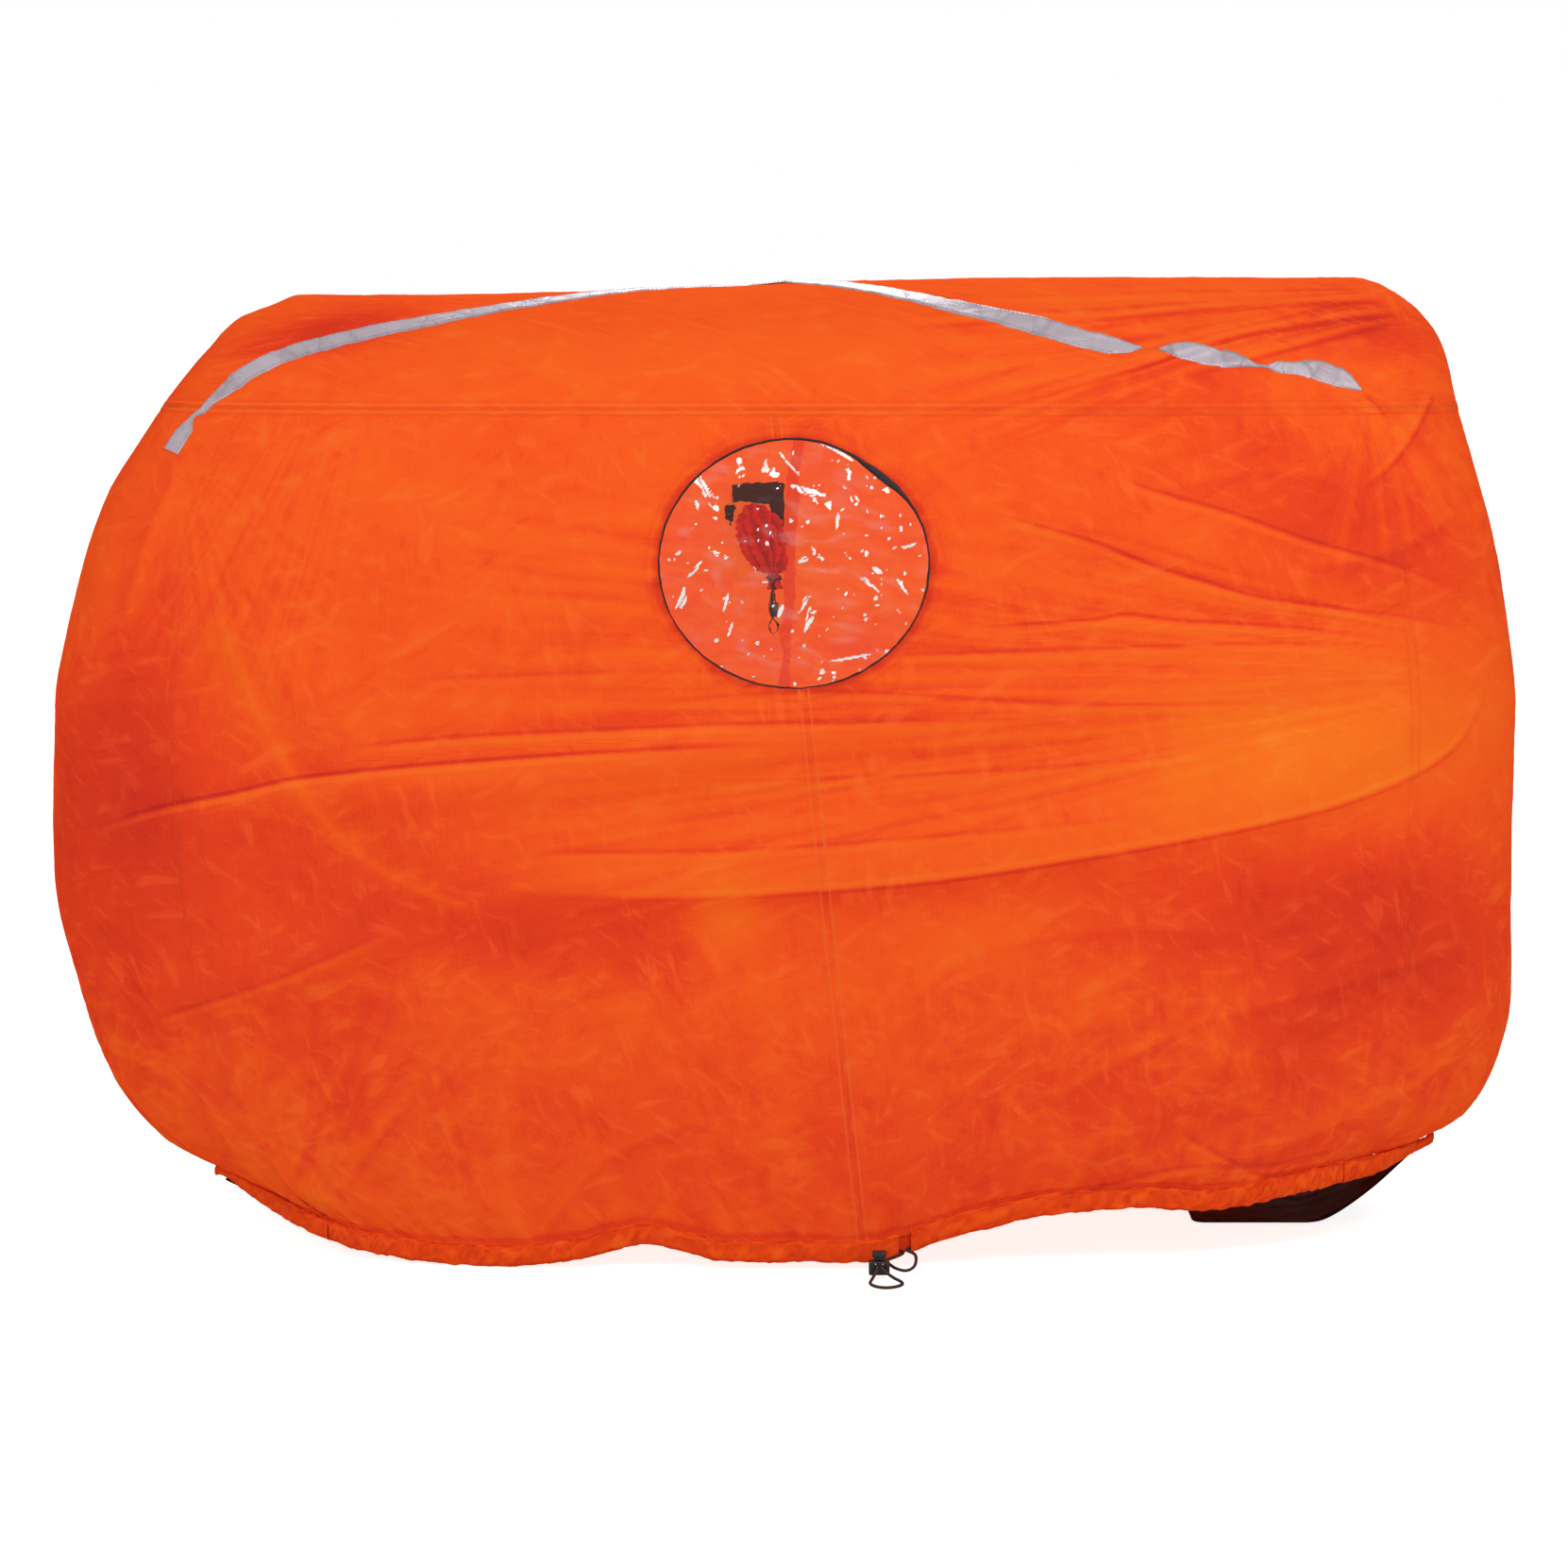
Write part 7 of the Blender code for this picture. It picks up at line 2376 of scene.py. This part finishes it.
class Window:
    """The clear film and the dark edge of its hole."""

    # Across the edge: the share of its width and the lift off the cloth
    EDGE = ((-1.0, -0.0012), (-0.7, 0.0004), (0.0, 0.0011), (0.6, 0.0008), (0.75, -0.0010))

    def _front(self, shell: Shell, x: float, z: float) -> tuple[Array, Array]:
        """The cloth's outside and its direction at an x and a height of the front."""
        found = shell.outermost(Vector((x, -1.0, z)), Vector((0, 1, 0)))
        return np.array(found[0]), np.array(found[1])

    def make_film(self, shell: Shell, finish: bpy.types.Material) -> None:
        """The crumpled film behind the hole."""
        cell = 0.0013
        reach_x = WINDOW_WIDTH / 2 + WINDOW_LAP
        reach_z = WINDOW_HEIGHT / 2 + WINDOW_LAP
        xs = WINDOW_X + np.arange(-reach_x, reach_x + cell, cell)
        zs = WINDOW_Z + np.arange(-reach_z, reach_z + cell, cell)
        x, z = np.meshgrid(xs, zs)
        coarse_x = WINDOW_X + np.linspace(-reach_x - 0.002, reach_x + 0.002, 36)
        coarse_z = WINDOW_Z + np.linspace(-reach_z - 0.002, reach_z + 0.002, 34)
        depth = np.array([[self._front(shell, a, b)[0][1] for a in coarse_x] for b in coarse_z])
        depth = self._read_grid(coarse_x, coarse_z, depth, x, z)
        inside = -window_reach(x, z)
        free = smooth(inside / 0.012)
        height, fleck, haze = self._crumple(x, z)
        y = depth + 0.0016 + free * height
        lap = smooth((0.0 - inside) / 0.004) * 0.0004
        points = np.stack([x, y + lap, z], -1)
        piece = new_piece("window_film", points.reshape(-1, 3), grid_faces(*x.shape).tolist())
        keep_attributes(piece, {"fleck": fleck * smooth(inside / 0.002), "haze": haze})
        keep_uv(piece, x, z)
        cut_hole(piece, lambda a, b: -window_reach(a, b, WINDOW_LAP))
        dress(piece, finish, "window_pane")
        width, _, high = (round(float(side), 3) for side in np.ptp(points_of(piece), axis=0))

    def _read_grid(self, gx: Array, gz: Array, values: Array, x: Array, z: Array) -> Array:
        """Values of a coarse grid at finer points."""
        i = np.clip(np.searchsorted(gx, x) - 1, 0, len(gx) - 2)
        j = np.clip(np.searchsorted(gz, z) - 1, 0, len(gz) - 2)
        s = (x - gx[i]) / (gx[i + 1] - gx[i])
        t = (z - gz[j]) / (gz[j + 1] - gz[j])
        return (
            values[j, i] * (1 - s) * (1 - t)
            + values[j, i + 1] * s * (1 - t)
            + values[j + 1, i] * (1 - s) * t
            + values[j + 1, i + 1] * s * t
        )

    def _crumple(self, x: Array, z: Array) -> tuple[Array, Array, Array]:
        """The film's relief in metres, where white glints are painted on it, and its haze with bands of
        painted sheen, from 0 to 1.
        """
        points = spots(x, 0.0, z)
        warp = np.stack([Noise(s).soft(points * 26.0) for s in (111, 112, 113)], -1)
        bent = points + 0.009 * warp
        big = Noise(114).crumple(bent / 0.040)
        small = Noise(115).crumple(bent / 0.016)
        height = 0.0038 * (big - 0.3) + 0.0013 * (small - 0.3)
        for seed, turn in ((121, 0.85), (122, 2.2), (123, 1.5)):
            along, over = turned(bent, turn)
            height += 0.0005 * Noise(seed).soft(spots(along * 20.0, over * 95.0, 0.0))
        fleck = np.zeros_like(x)
        for cx, cz, turn, half_long, half_wide, bow, gap in self._flashes():
            c, s = math.cos(turn), math.sin(turn)
            p = ((x - cx) * c + (z - cz) * s) / half_long
            q = ((z - cz) * c - (x - cx) * s) / half_wide - bow * (p * p - 0.4)
            spot = smooth((1.0 - (np.abs(p) ** 2.4 + np.abs(q) ** 1.6)) / 0.35)
            if gap:
                seams = np.abs(np.sin(q * 2.4 + 3.0 * Noise(126).soft(points * 70.0) + p * 2.0))
                spot *= smooth((seams - 0.25) / 0.25)
                spot *= smooth(Noise(127).soft(points * 120.0) / 0.3 + 1.15)
            fleck = np.maximum(fleck, spot)
        lean = bent[..., 2] + 0.22 * bent[..., 0]
        rows = Noise(128).soft(spots(bent[..., 0] * 14.0, 0.0, lean * 85.0))
        blots = Noise(129).soft(bent * 42.0)
        fine = Noise(130).soft(spots(bent[..., 0] * 60.0, 0.0, lean * 190.0))
        # A band of painted sheen across the window, and painted sheen along the rows.
        band = np.exp(-(((z - 0.668 + 0.10 * (x - WINDOW_X)) / 0.034) ** 2))
        haze = 0.50 + 0.40 * rows * (0.45 + 0.55 * band) + 0.26 * blots + 0.22 * fine
        return height, np.clip(fleck, 0.0, 1.0), np.clip(haze, 0.0, 1.0)

    def _flashes(self) -> list[tuple[float, ...]]:
        """The film's painted glints: middle, turn, half length, half width, bow and whether broken."""
        flashes = [
            (-0.0720, 0.7150, -1.02, 0.0270, 0.0052, 0.15, 1.0),
            (-0.0130, 0.7335, -1.25, 0.0090, 0.0050, 0.20, 1.0),
            (0.0430, 0.7510, -0.55, 0.0270, 0.0017, 0.00, 0.0),
            (0.0330, 0.7560, -0.52, 0.0110, 0.0022, 0.00, 1.0),
            (0.0230, 0.7120, -0.28, 0.0200, 0.0036, 0.30, 1.0),
            (0.0050, 0.7360, -0.85, 0.0150, 0.0010, 0.60, 0.0),
            (-0.0930, 0.6150, 1.25, 0.0150, 0.0040, 0.90, 1.0),
            (-0.0800, 0.6430, 0.85, 0.0110, 0.0018, 0.30, 1.0),
            (-0.0580, 0.6560, -0.40, 0.0100, 0.0024, 0.40, 1.0),
            (0.0760, 0.6310, -0.75, 0.0150, 0.0022, 0.20, 1.0),
            (0.0480, 0.6860, 1.45, 0.0085, 0.0018, 0.10, 0.0),
            (0.0180, 0.6520, 0.60, 0.0080, 0.0028, 0.30, 1.0),
            (0.0310, 0.6560, -0.80, 0.0110, 0.0022, 0.50, 1.0),
            (0.0220, 0.5980, 1.35, 0.0130, 0.0038, 0.60, 1.0),
            (0.0170, 0.6120, 1.05, 0.0110, 0.0026, 0.30, 1.0),
            (-0.0480, 0.5900, 1.25, 0.0080, 0.0013, 0.00, 0.0),
            (-0.0520, 0.6140, 1.30, 0.0100, 0.0013, 0.20, 0.0),
            (0.0600, 0.5640, 0.18, 0.0230, 0.0014, 0.20, 0.0),
            (-0.0030, 0.6060, 1.15, 0.0070, 0.0022, 0.00, 0.0),
            (0.1060, 0.6280, -0.95, 0.0100, 0.0012, 0.40, 0.0),
            (0.1120, 0.6640, 0.30, 0.0080, 0.0016, 0.90, 0.0),
            (0.0840, 0.6420, -0.60, 0.0060, 0.0026, 0.20, 0.0),
            (-0.0260, 0.6420, -0.90, 0.0110, 0.0020, 0.50, 1.0),
        ]
        chance = np.random.default_rng(12)
        while len(flashes) < 150:
            angle, reach = chance.uniform(0, 6.283), chance.uniform(0.05, 0.96) ** 0.6
            size = float(np.exp(chance.normal(-6.45, 0.40)))
            slim = float(chance.uniform(0.3, 1.0))
            flashes.append(
                (
                    WINDOW_X + 0.121 * reach * math.cos(angle),
                    WINDOW_Z + 0.110 * reach * math.sin(angle) - 0.006,
                    float(chance.normal(-0.2, 1.0)),
                    size,
                    size * slim,
                    float(chance.uniform(0.0, 0.8)),
                    0.0,
                )
            )
        return flashes

    def make_edge(self, shell: Shell, finish: bpy.types.Material) -> None:
        """The dark cut edge that shows round the film."""
        count = 420
        turn = rounds(count)
        ring = spots(np.cos(turn) * 4, np.sin(turn) * 4, 0.0)
        width = 0.00095 + 0.00045 * Noise(131).soft(ring)
        width += 0.0030 * np.exp(-(((turn - 0.82) / 0.24) ** 2))
        wave = 0.0005 * Noise(132).soft(ring * 3.0)
        rows = []
        for share, lift in self.EDGE:
            found = [self._front(shell, x, z) for x, z in window_ring(share * width + wave, count)]
            rows.append([point + out * lift for point, out in found])
        grid = np.array(rows)
        faces = grid_faces(len(rows), count, True)[:, ::-1]
        piece = new_piece("window_edge", grid.reshape(-1, 3), faces.tolist())
        face_to(piece, count, Vector((0, -1, 0)))
        length = float(np.linalg.norm(grid[2] - np.roll(grid[2], 1, axis=0), axis=1).sum())
        keep_uv(piece, turn[None, :] / 6.2832 * length, np.linspace(0, 0.004, len(rows))[:, None])
        dress(piece, finish, "window_binding")

    def make(self, shell: Shell, finishes: Finishes, stitches: StitchRows) -> None:
        """Builds the film, its dark edge and the stitches round it."""
        self.make_film(shell, finishes.film)
        self.make_edge(shell, finishes.binding)
        found = [self._front(shell, x, z) for x, z in window_ring(0.0115, 260)]
        line, outs = (np.array(side) for side in zip(*found))
        stitches.sew("window_stitches", [(line + outs * 0.0003, outs)], finishes.stitch, 9)


class Vent:
    """The vent in the back wall: its gathered sleeve, tape, toggle and cord."""

    TAPE_WIDTH = 0.0155
    SPRING = LockSpring(
        "vent_lock_coil", "vent_lock_spring", "vent_lock", "vent_plunger_press",
        1, True, 0.0003, 0.0020
    )

    def _inside(self, shell: Shell, x: float, z: float) -> tuple[Array, Array]:
        """The cloth's inside and its inward direction at an x and a height of the back."""
        found = shell.outermost(Vector((x, 0.0, z)), Vector((0, 1, 0)))
        return np.array(found[0]), np.array(found[1])

    def make_tape(self, shell: Shell, finish: bpy.types.Material) -> None:
        """One dark tape along the top, folded over and down the right side."""
        left, right = VENT_X - 0.023, VENT_X + 0.029
        top, foot = VENT_Z + 0.0345, VENT_Z - 0.018
        verts, faces, us, vs = [], [], [], []
        for x0, x1, z0, z1, lift, slant in (
            (left, right - 0.0005, top - 0.0185, top, 0.0012, 0.0),
            (right - 0.0125, right, foot + 0.003, top - 0.0008, 0.0026, 0.0),
            (right - 0.0185, right - 0.0045, foot - 0.0010, foot + 0.0105, 0.0034, 0.35),
        ):
            nx, nz = max(4, round((x1 - x0) / 0.0016)), max(4, round((z1 - z0) / 0.0016))
            start = len(verts)
            for j in range(nz + 1):
                for i in range(nx + 1):
                    a, b = i / nx, j / nz
                    x = x0 + a * (x1 - x0) + slant * (b - 0.5) * (z1 - z0)
                    z = z0 + b * (z1 - z0) + 0.0009 * math.sin(7.0 * a + 3.0 * b)
                    z += 0.06 * slant * (a - 0.5) * (x1 - x0) * 10
                    point, way = self._inside(shell, x, z)
                    wave = float(Noise(141).soft(np.array([x * 90, z * 90, lift * 900])))
                    edge = min(a, 1 - a, b, 1 - b)
                    up = lift + 0.0006 * wave - (0.0006 if edge < 1e-6 else 0.0)
                    verts.append(point + way * up)
                    us.append(x)
                    vs.append(z)
            faces += (grid_faces(nz + 1, nx + 1)[:, ::-1] + start).tolist()
        piece = new_piece("vent_webbing", np.array(verts), faces)
        keep_uv(piece, np.array(us), np.array(vs))
        dress(piece, finish, "vent_tape")
        flat_size = (self.TAPE_WIDTH, round(area_of(piece) / self.TAPE_WIDTH, 4))

    def make_sleeve(self, shell: Shell, finish: bpy.types.Material) -> None:
        """The sleeve of cloth that droops from the hole to its tied neck."""
        wall, way = self._inside(shell, VENT_X, VENT_Z)
        inside = 0.2153
        neck = np.array([VENT_X + 0.019, 0.1800, 0.6010])
        stations = [
            (wall + way * 0.0012, way, 0.0140, 0.0006),
            ((VENT_X + 0.0010, inside - 0.009, VENT_Z - 0.002), (0.1, -1, -0.30), 0.0170, 0.0014),
            ((VENT_X + 0.0050, inside - 0.020, VENT_Z - 0.011), (0.25, -0.8, -0.7), 0.0200, 0.0026),
            ((VENT_X + 0.0120, inside - 0.029, VENT_Z - 0.028), (0.25, -0.35, -1), 0.0200, 0.0032),
            ((VENT_X + 0.0170, inside - 0.032, VENT_Z - 0.046), (0.1, -0.1, -1), 0.0120, 0.0026),
            (neck + [0, 0, 0.0024], (0, 0, -1), 0.0056, 0.0004),
            (neck - [0, 0, 0.0024], (0, 0, -1), 0.0056, 0.0004),
            (neck - [0, 0, 0.0110], (0, 0, -1), 0.0080, 0.0012),
        ]
        rows = np.array([[*c, *unit(np.array(w, float)), r, p] for c, w, r, p in stations])
        fine = route_through(rows, 0.0026)
        count = 96
        turn = rounds(count)
        verts, waves = [], []
        for k, row in enumerate(fine):
            centre, ahead, radius, pleat = row[:3], unit(row[3:6]), row[6], row[7]
            side = unit(np.array([1.0, 0.0, 0.0]) - ahead * ahead[0])
            up = np.cross(ahead, side)
            at = spots(np.cos(turn) * 3.2, np.sin(turn) * 3.2, k * 0.03)
            wave = np.cos(11 * turn + 0.8 + 2.0 * Noise(151).soft(at * 0.5))
            wave = wave + Noise(152).soft(at * 1.8)
            reach = (radius + pleat * 0.95 * wave)[:, None]
            waves.append(wave)
            c, s = np.cos(turn)[:, None], np.sin(turn)[:, None]
            verts.append(centre + side * (reach * c) + up * (reach * s))
        grid = np.array(verts)
        faces = grid_faces(len(grid), count, True)
        piece = new_piece("vent_gathered_sleeve", grid.reshape(-1, 3), faces.tolist())
        middle = len(faces) // 2
        away = piece.data.polygons[middle].center - Vector(fine[len(fine) // 2][:3])
        face_to(piece, middle, away)
        # The whole sleeve darker than the plain cloth, with painted shade in the pleats' folds and painted
        # light on their outer ridges.
        tones = 0.36 + 0.20 * np.array(waves)
        keep_attributes(piece, {"tone": tones, "seam": tones * 0 + 0.05})
        keep_uv(piece, turn[None, :] * 0.015, np.linspace(0, 0.09, len(grid))[:, None])
        dress(piece, finish, "vent_sleeve")

    def make_cords(self, finish: bpy.types.Material) -> None:
        """The cord tied round the neck, and the toggle's short cord."""
        neck = np.array([-0.010, 0.1800, 0.6010])
        turn = -math.pi / 2 + 0.136 + (2 * math.pi - 0.272) * np.arange(15) / 14
        ring = [neck + 0.0074 * np.array([math.cos(a), math.sin(a), 0.0]) for a in turn]
        x, y, z = -0.010, 0.17046, 0.5715
        tail = [
            (x - 0.00105, 0.17186, 0.5984),
            (x - 0.00105, y, 0.5950),
            (x - 0.00105, y, z),
            (x - 0.00105, y, 0.5630),
            (x - 0.0042, y, 0.5570),
            (x - 0.0034, y, 0.5510),
            (x, y, 0.5485),
            (x + 0.0034, y, 0.5510),
            (x + 0.0042, y, 0.5570),
            (x + 0.00105, y, 0.5630),
            (x + 0.00105, y, z),
            (x + 0.00105, y, 0.5950),
            (x + 0.00105, 0.17186, 0.5984),
        ]
        line = route_through([*[tuple(p) for p in ring], *tail, tuple(ring[0])], 0.0010)[:-1]
        around = round_cord("vent_neck_cord", line, 0.0009, 10, True)
        toggle = [
            (-0.0535, 0.2132, 0.6640),
            (-0.0535, 0.2058, 0.6640),
            (-0.0535, 0.1989, 0.6640),
            (-0.0529, 0.1975, 0.6618),
            (-0.0525, 0.1983, 0.6570),
            (-0.0533, 0.1993, 0.6520),
        ]
        short = round_cord("toggle_cord", route_through(toggle, 0.0008), 0.0009, 10)
        for piece, node in ((around, "vent_cord"), (short, "vent_toggle_cord")):
            dress(piece, finish, node)

    def make(self, shell: Shell, finishes: Finishes) -> None:
        """Builds them all."""
        self.make_tape(shell, finishes.webbing)
        self.make_sleeve(shell, finishes.sleeve)
        self.make_cords(finishes.cord)
        self.SPRING.make(finishes.steel)


@dataclass(frozen=True)
class Seat:
    """A black seat sheet: flat on the ground, rising to the hem where it is sewn."""

    name: str
    node: str
    body: str
    side: int
    edge_x: float
    edge_z: float
    shift: float
    seed: int
    hem: str

    INNER_X = 0.392
    FLAT_X = 0.502
    THICK = 0.0012
    FRONT_Y = -0.041
    BACK_Y = 0.150
    SEWN_FRONT_Y = -0.034
    SEWN_BACK_Y = 0.040
    CORNER = 0.012

    def _profile(self) -> Array:
        """Points in x and z from the inner edge to the sewn edge."""
        inner, flat = self.INNER_X + self.shift, self.FLAT_X + self.shift
        reach, rise = self.edge_x - flat, self.edge_z - self.THICK / 2
        points = [(inner, 0.0), ((inner + flat) / 2, 0.0), (flat - 0.02, 0.0), (flat, 0.0)]
        points += [
            (flat + share * reach, lift * rise)
            for share, lift in ((0.16, 0.045), (0.36, 0.21), (0.60, 0.47), (0.82, 0.76), (1.0, 1.0))
        ]
        return route_through(points, 0.0030)

    def make(
        self, finish: bpy.types.Material, stitches: StitchRows, thread: bpy.types.Material
    ) -> None:
        """Builds the sheet with its sewn border."""
        profile = self._profile()
        inner, flat = self.INNER_X + self.shift, self.FLAT_X + self.shift
        fronts = [
            (inner, self.FRONT_Y),
            (flat + 0.010, self.FRONT_Y),
            (self.edge_x, self.SEWN_FRONT_Y),
        ]
        backs = [
            (inner, self.BACK_Y),
            (flat - 0.012, self.BACK_Y),
            (flat, self.BACK_Y - 0.008),
            (flat + 0.012, self.BACK_Y - 0.025),
            (flat + 0.055, self.SEWN_BACK_Y + 0.018),
            (self.edge_x, self.SEWN_BACK_Y),
        ]
        x = profile[:, 0]
        low = np.interp(x, *np.array(fronts).T)
        high = np.interp(x, *np.array(backs).T)
        into = np.clip((x - inner) / self.CORNER, 0.0, 1.0)
        bite = self.CORNER * (1.0 - np.sqrt(np.maximum(1.0 - (1.0 - into) ** 2, 0.0)))
        low, high = low + bite, high - bite
        across = np.linspace(0.0, 1.0, 64)
        y = low[:, None] + (high - low)[:, None] * across[None, :]
        gx = x[:, None] + 0 * y
        z = np.maximum(profile[:, 1], 0.0)[:, None] + 0 * y
        at = spots(gx * 26.0, y * 26.0, float(self.seed))
        at += 0.5 * Noise(self.seed).soft(at * 0.7)[..., None]
        dish = Noise(self.seed + 1).crumple(at * 1.3)
        soft = Noise(self.seed + 2).soft(at * 0.6)
        border = np.minimum(np.minimum(y - low[:, None], high[:, None] - y), (gx - inner))
        border = np.minimum(border, (self.edge_x - gx) + 0.010)
        hemmed = smooth((0.0085 - border) / 0.0012)
        free = smooth(border / 0.010) * smooth((self.edge_x - gx) / 0.02)
        lift = free * (0.0022 * dish + 0.0016 * np.maximum(soft, 0.0))
        lift = lift + 0.0009 * hemmed + self.THICK
        slope = np.gradient(profile[:, 1]) / np.maximum(np.abs(np.gradient(profile[:, 0])), 1e-6)
        lean = np.arctan(slope)[:, None]
        px = self.side * (gx - np.sin(lean) * lift)
        pz = z + np.cos(lean) * lift
        grid = np.stack([px, y, pz], -1)
        piece = new_piece(self.name, grid.reshape(-1, 3), grid_faces(*gx.shape).tolist())
        face_to(piece, 10, Vector((0, 0, 1)))
        keep_uv(piece, gx, y)
        solid(piece, self.THICK * 0.8)
        dress(piece, finish, self.node, self.body)
        lines = (grid[:, 3], grid[:, -4], grid[2, 3:-3])
        rows = [(line, np.tile((0.0, 0.0, 1.0), (len(line), 1))) for line in lines]
        sewing = stitches.sew(self.name + "_stitches", rows, thread, self.seed)
        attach(sewing, self.body)


class Kept:
    """The CAD pieces that show as they are, in plastic."""

    NODES = (
        "hem_lock_barrel",
        "hem_lock_plunger",
        "vent_lock_barrel",
        "vent_lock_plunger",
        "vent_toggle",
    )

    def make(self, finishes: Finishes) -> None:
        """Gives each its material."""
        for name in self.NODES:
            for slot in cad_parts[name].material_slots:
                slot.material = finishes.plastic


def set_camera() -> None:
    """Puts the camera at the photograph's viewing angle."""
    lens = bpy.data.cameras.new("camera")
    lens.sensor_width = SENSOR
    lens.lens = FOCAL / FRAME_SIDE * SENSOR
    camera = bpy.data.objects.new("camera", lens)
    bpy.context.scene.collection.objects.link(camera)
    camera.location = EYE
    way = Vector(LOOK_AT) - Vector(EYE)
    camera.rotation_euler = way.to_track_quat("-Z", "Y").to_euler()
    bpy.context.scene.camera = camera


class Studio:
    """The pale floor, the white surroundings and the lamps."""

    WORLD_LIGHT = 0.56

    def make(self) -> None:
        """Builds them all."""
        self._world()
        self._floor()
        self._lamp("key_lamp", (1.3, -2.6, 2.5), (0.05, 0.0, 0.45), 0.8, 44.0)
        self._lamp("side_lamp", (-2.2, -2.3, 1.9), (-0.1, 0.0, 0.45), 0.6, 22.0)
        self._lamp("back_lamp", (0.4, 2.6, 2.2), (0.0, 0.0, 0.45), 1.4, 58.0)
        bpy.context.scene.view_settings.view_transform = "Standard"

    def _lamp(self, name: str, place: Point, aim: Point, size: float, power: float) -> None:
        """A square soft lamp that looks at a point."""
        light = bpy.data.lights.new(name, "AREA")
        light.shape = "SQUARE"
        light.size = size
        light.energy = power
        lamp = bpy.data.objects.new(name, light)
        lamp.location = place
        lamp.rotation_euler = (Vector(aim) - Vector(place)).to_track_quat("-Z", "Y").to_euler()
        bpy.context.scene.collection.objects.link(lamp)

    def _world(self) -> None:
        """White to the camera and through clear film, plainer as light and in reflections."""
        world = bpy.data.worlds.new("studio")
        world.use_nodes = True
        bpy.context.scene.world = world
        nodes, links = world.node_tree.nodes, world.node_tree.links
        back = nodes["Background"]
        path = nodes.new("ShaderNodeLightPath")
        seen = nodes.new("ShaderNodeMath")
        seen.operation = "MAXIMUM"
        links.new(path.outputs["Is Camera Ray"], seen.inputs[0])
        links.new(path.outputs["Is Transmission Ray"], seen.inputs[1])
        level = nodes.new("ShaderNodeMapRange")
        links.new(seen.outputs[0], level.inputs["Value"])
        level.inputs["To Min"].default_value = self.WORLD_LIGHT
        level.inputs["To Max"].default_value = 1.0
        links.new(level.outputs[0], back.inputs["Strength"])
        back.inputs["Color"].default_value = (1.0, 1.0, 1.0, 1.0)

    def _floor(self) -> None:
        """A wide plain floor that keeps the shadow and looks white."""
        size, low = 40.0, -0.0006
        corners = ((-size, -size), (size, -size), (size, size), (-size, size))
        verts = np.array([(x, y, low) for x, y in corners])
        floor = new_piece("floor", verts, [[0, 1, 2, 3]])
        tree = ShaderTree("floor_paint")
        tree.surface({
            # A little blue, which cancels the orange light that the cloth throws into the floor's shadow.
            "Base Color": (0.75, 0.79, 0.80, 1.0),
            "Roughness": 0.9,
            "Specular IOR Level": 0.1,
        })
        path = tree.add("ShaderNodeLightPath")
        glow = tree.add("ShaderNodeEmission", None, {"Color": (1.0, 1.0, 1.0, 1.0)})
        seen = Signal(tree, path.outputs["Is Camera Ray"]) * 0.82
        tree.links.new(seen.socket, glow.inputs["Strength"])
        both = tree.add("ShaderNodeAddShader")
        tree.links.new(tree.shader.outputs[0], both.inputs[0])
        tree.links.new(glow.outputs[0], both.inputs[1])
        tree.links.new(both.outputs[0], tree.output.inputs[0])
        paint(floor, tree.material)


def main() -> None:
    """Builds every sub-assembly in order."""
    logging.basicConfig(level=logging.INFO, format="%(message)s")
    set_camera()
    finishes = Finishes()
    HemCord().make(finishes)
    Studio().make()
    stitches = StitchRows()
    shell = Shell(finishes)
    shell.make()
    Seams().make(finishes, stitches)
    ReflectiveTapes().make(shell, finishes, stitches)
    Hem().make(finishes, stitches)
    Window().make(shell, finishes, stitches)
    Vent().make(shell, finishes)
    right = Seat(
        "seat_sheet_right", "seat_panel_right", "seat_right", 1, 0.6122, 0.0770, 0.0, 161,
        "hem_right_end",
    )
    left = Seat(
        "seat_sheet_left", "seat_panel_left", "seat_left", -1, 0.5365, 0.0410, -0.0757, 171,
        "hem_left_end",
    )
    for seat in (right, left):
        seat.make(finishes.seat, stitches, finishes.black_stitch)
    Kept().make(finishes)


if __name__ == "__main__":
    main()
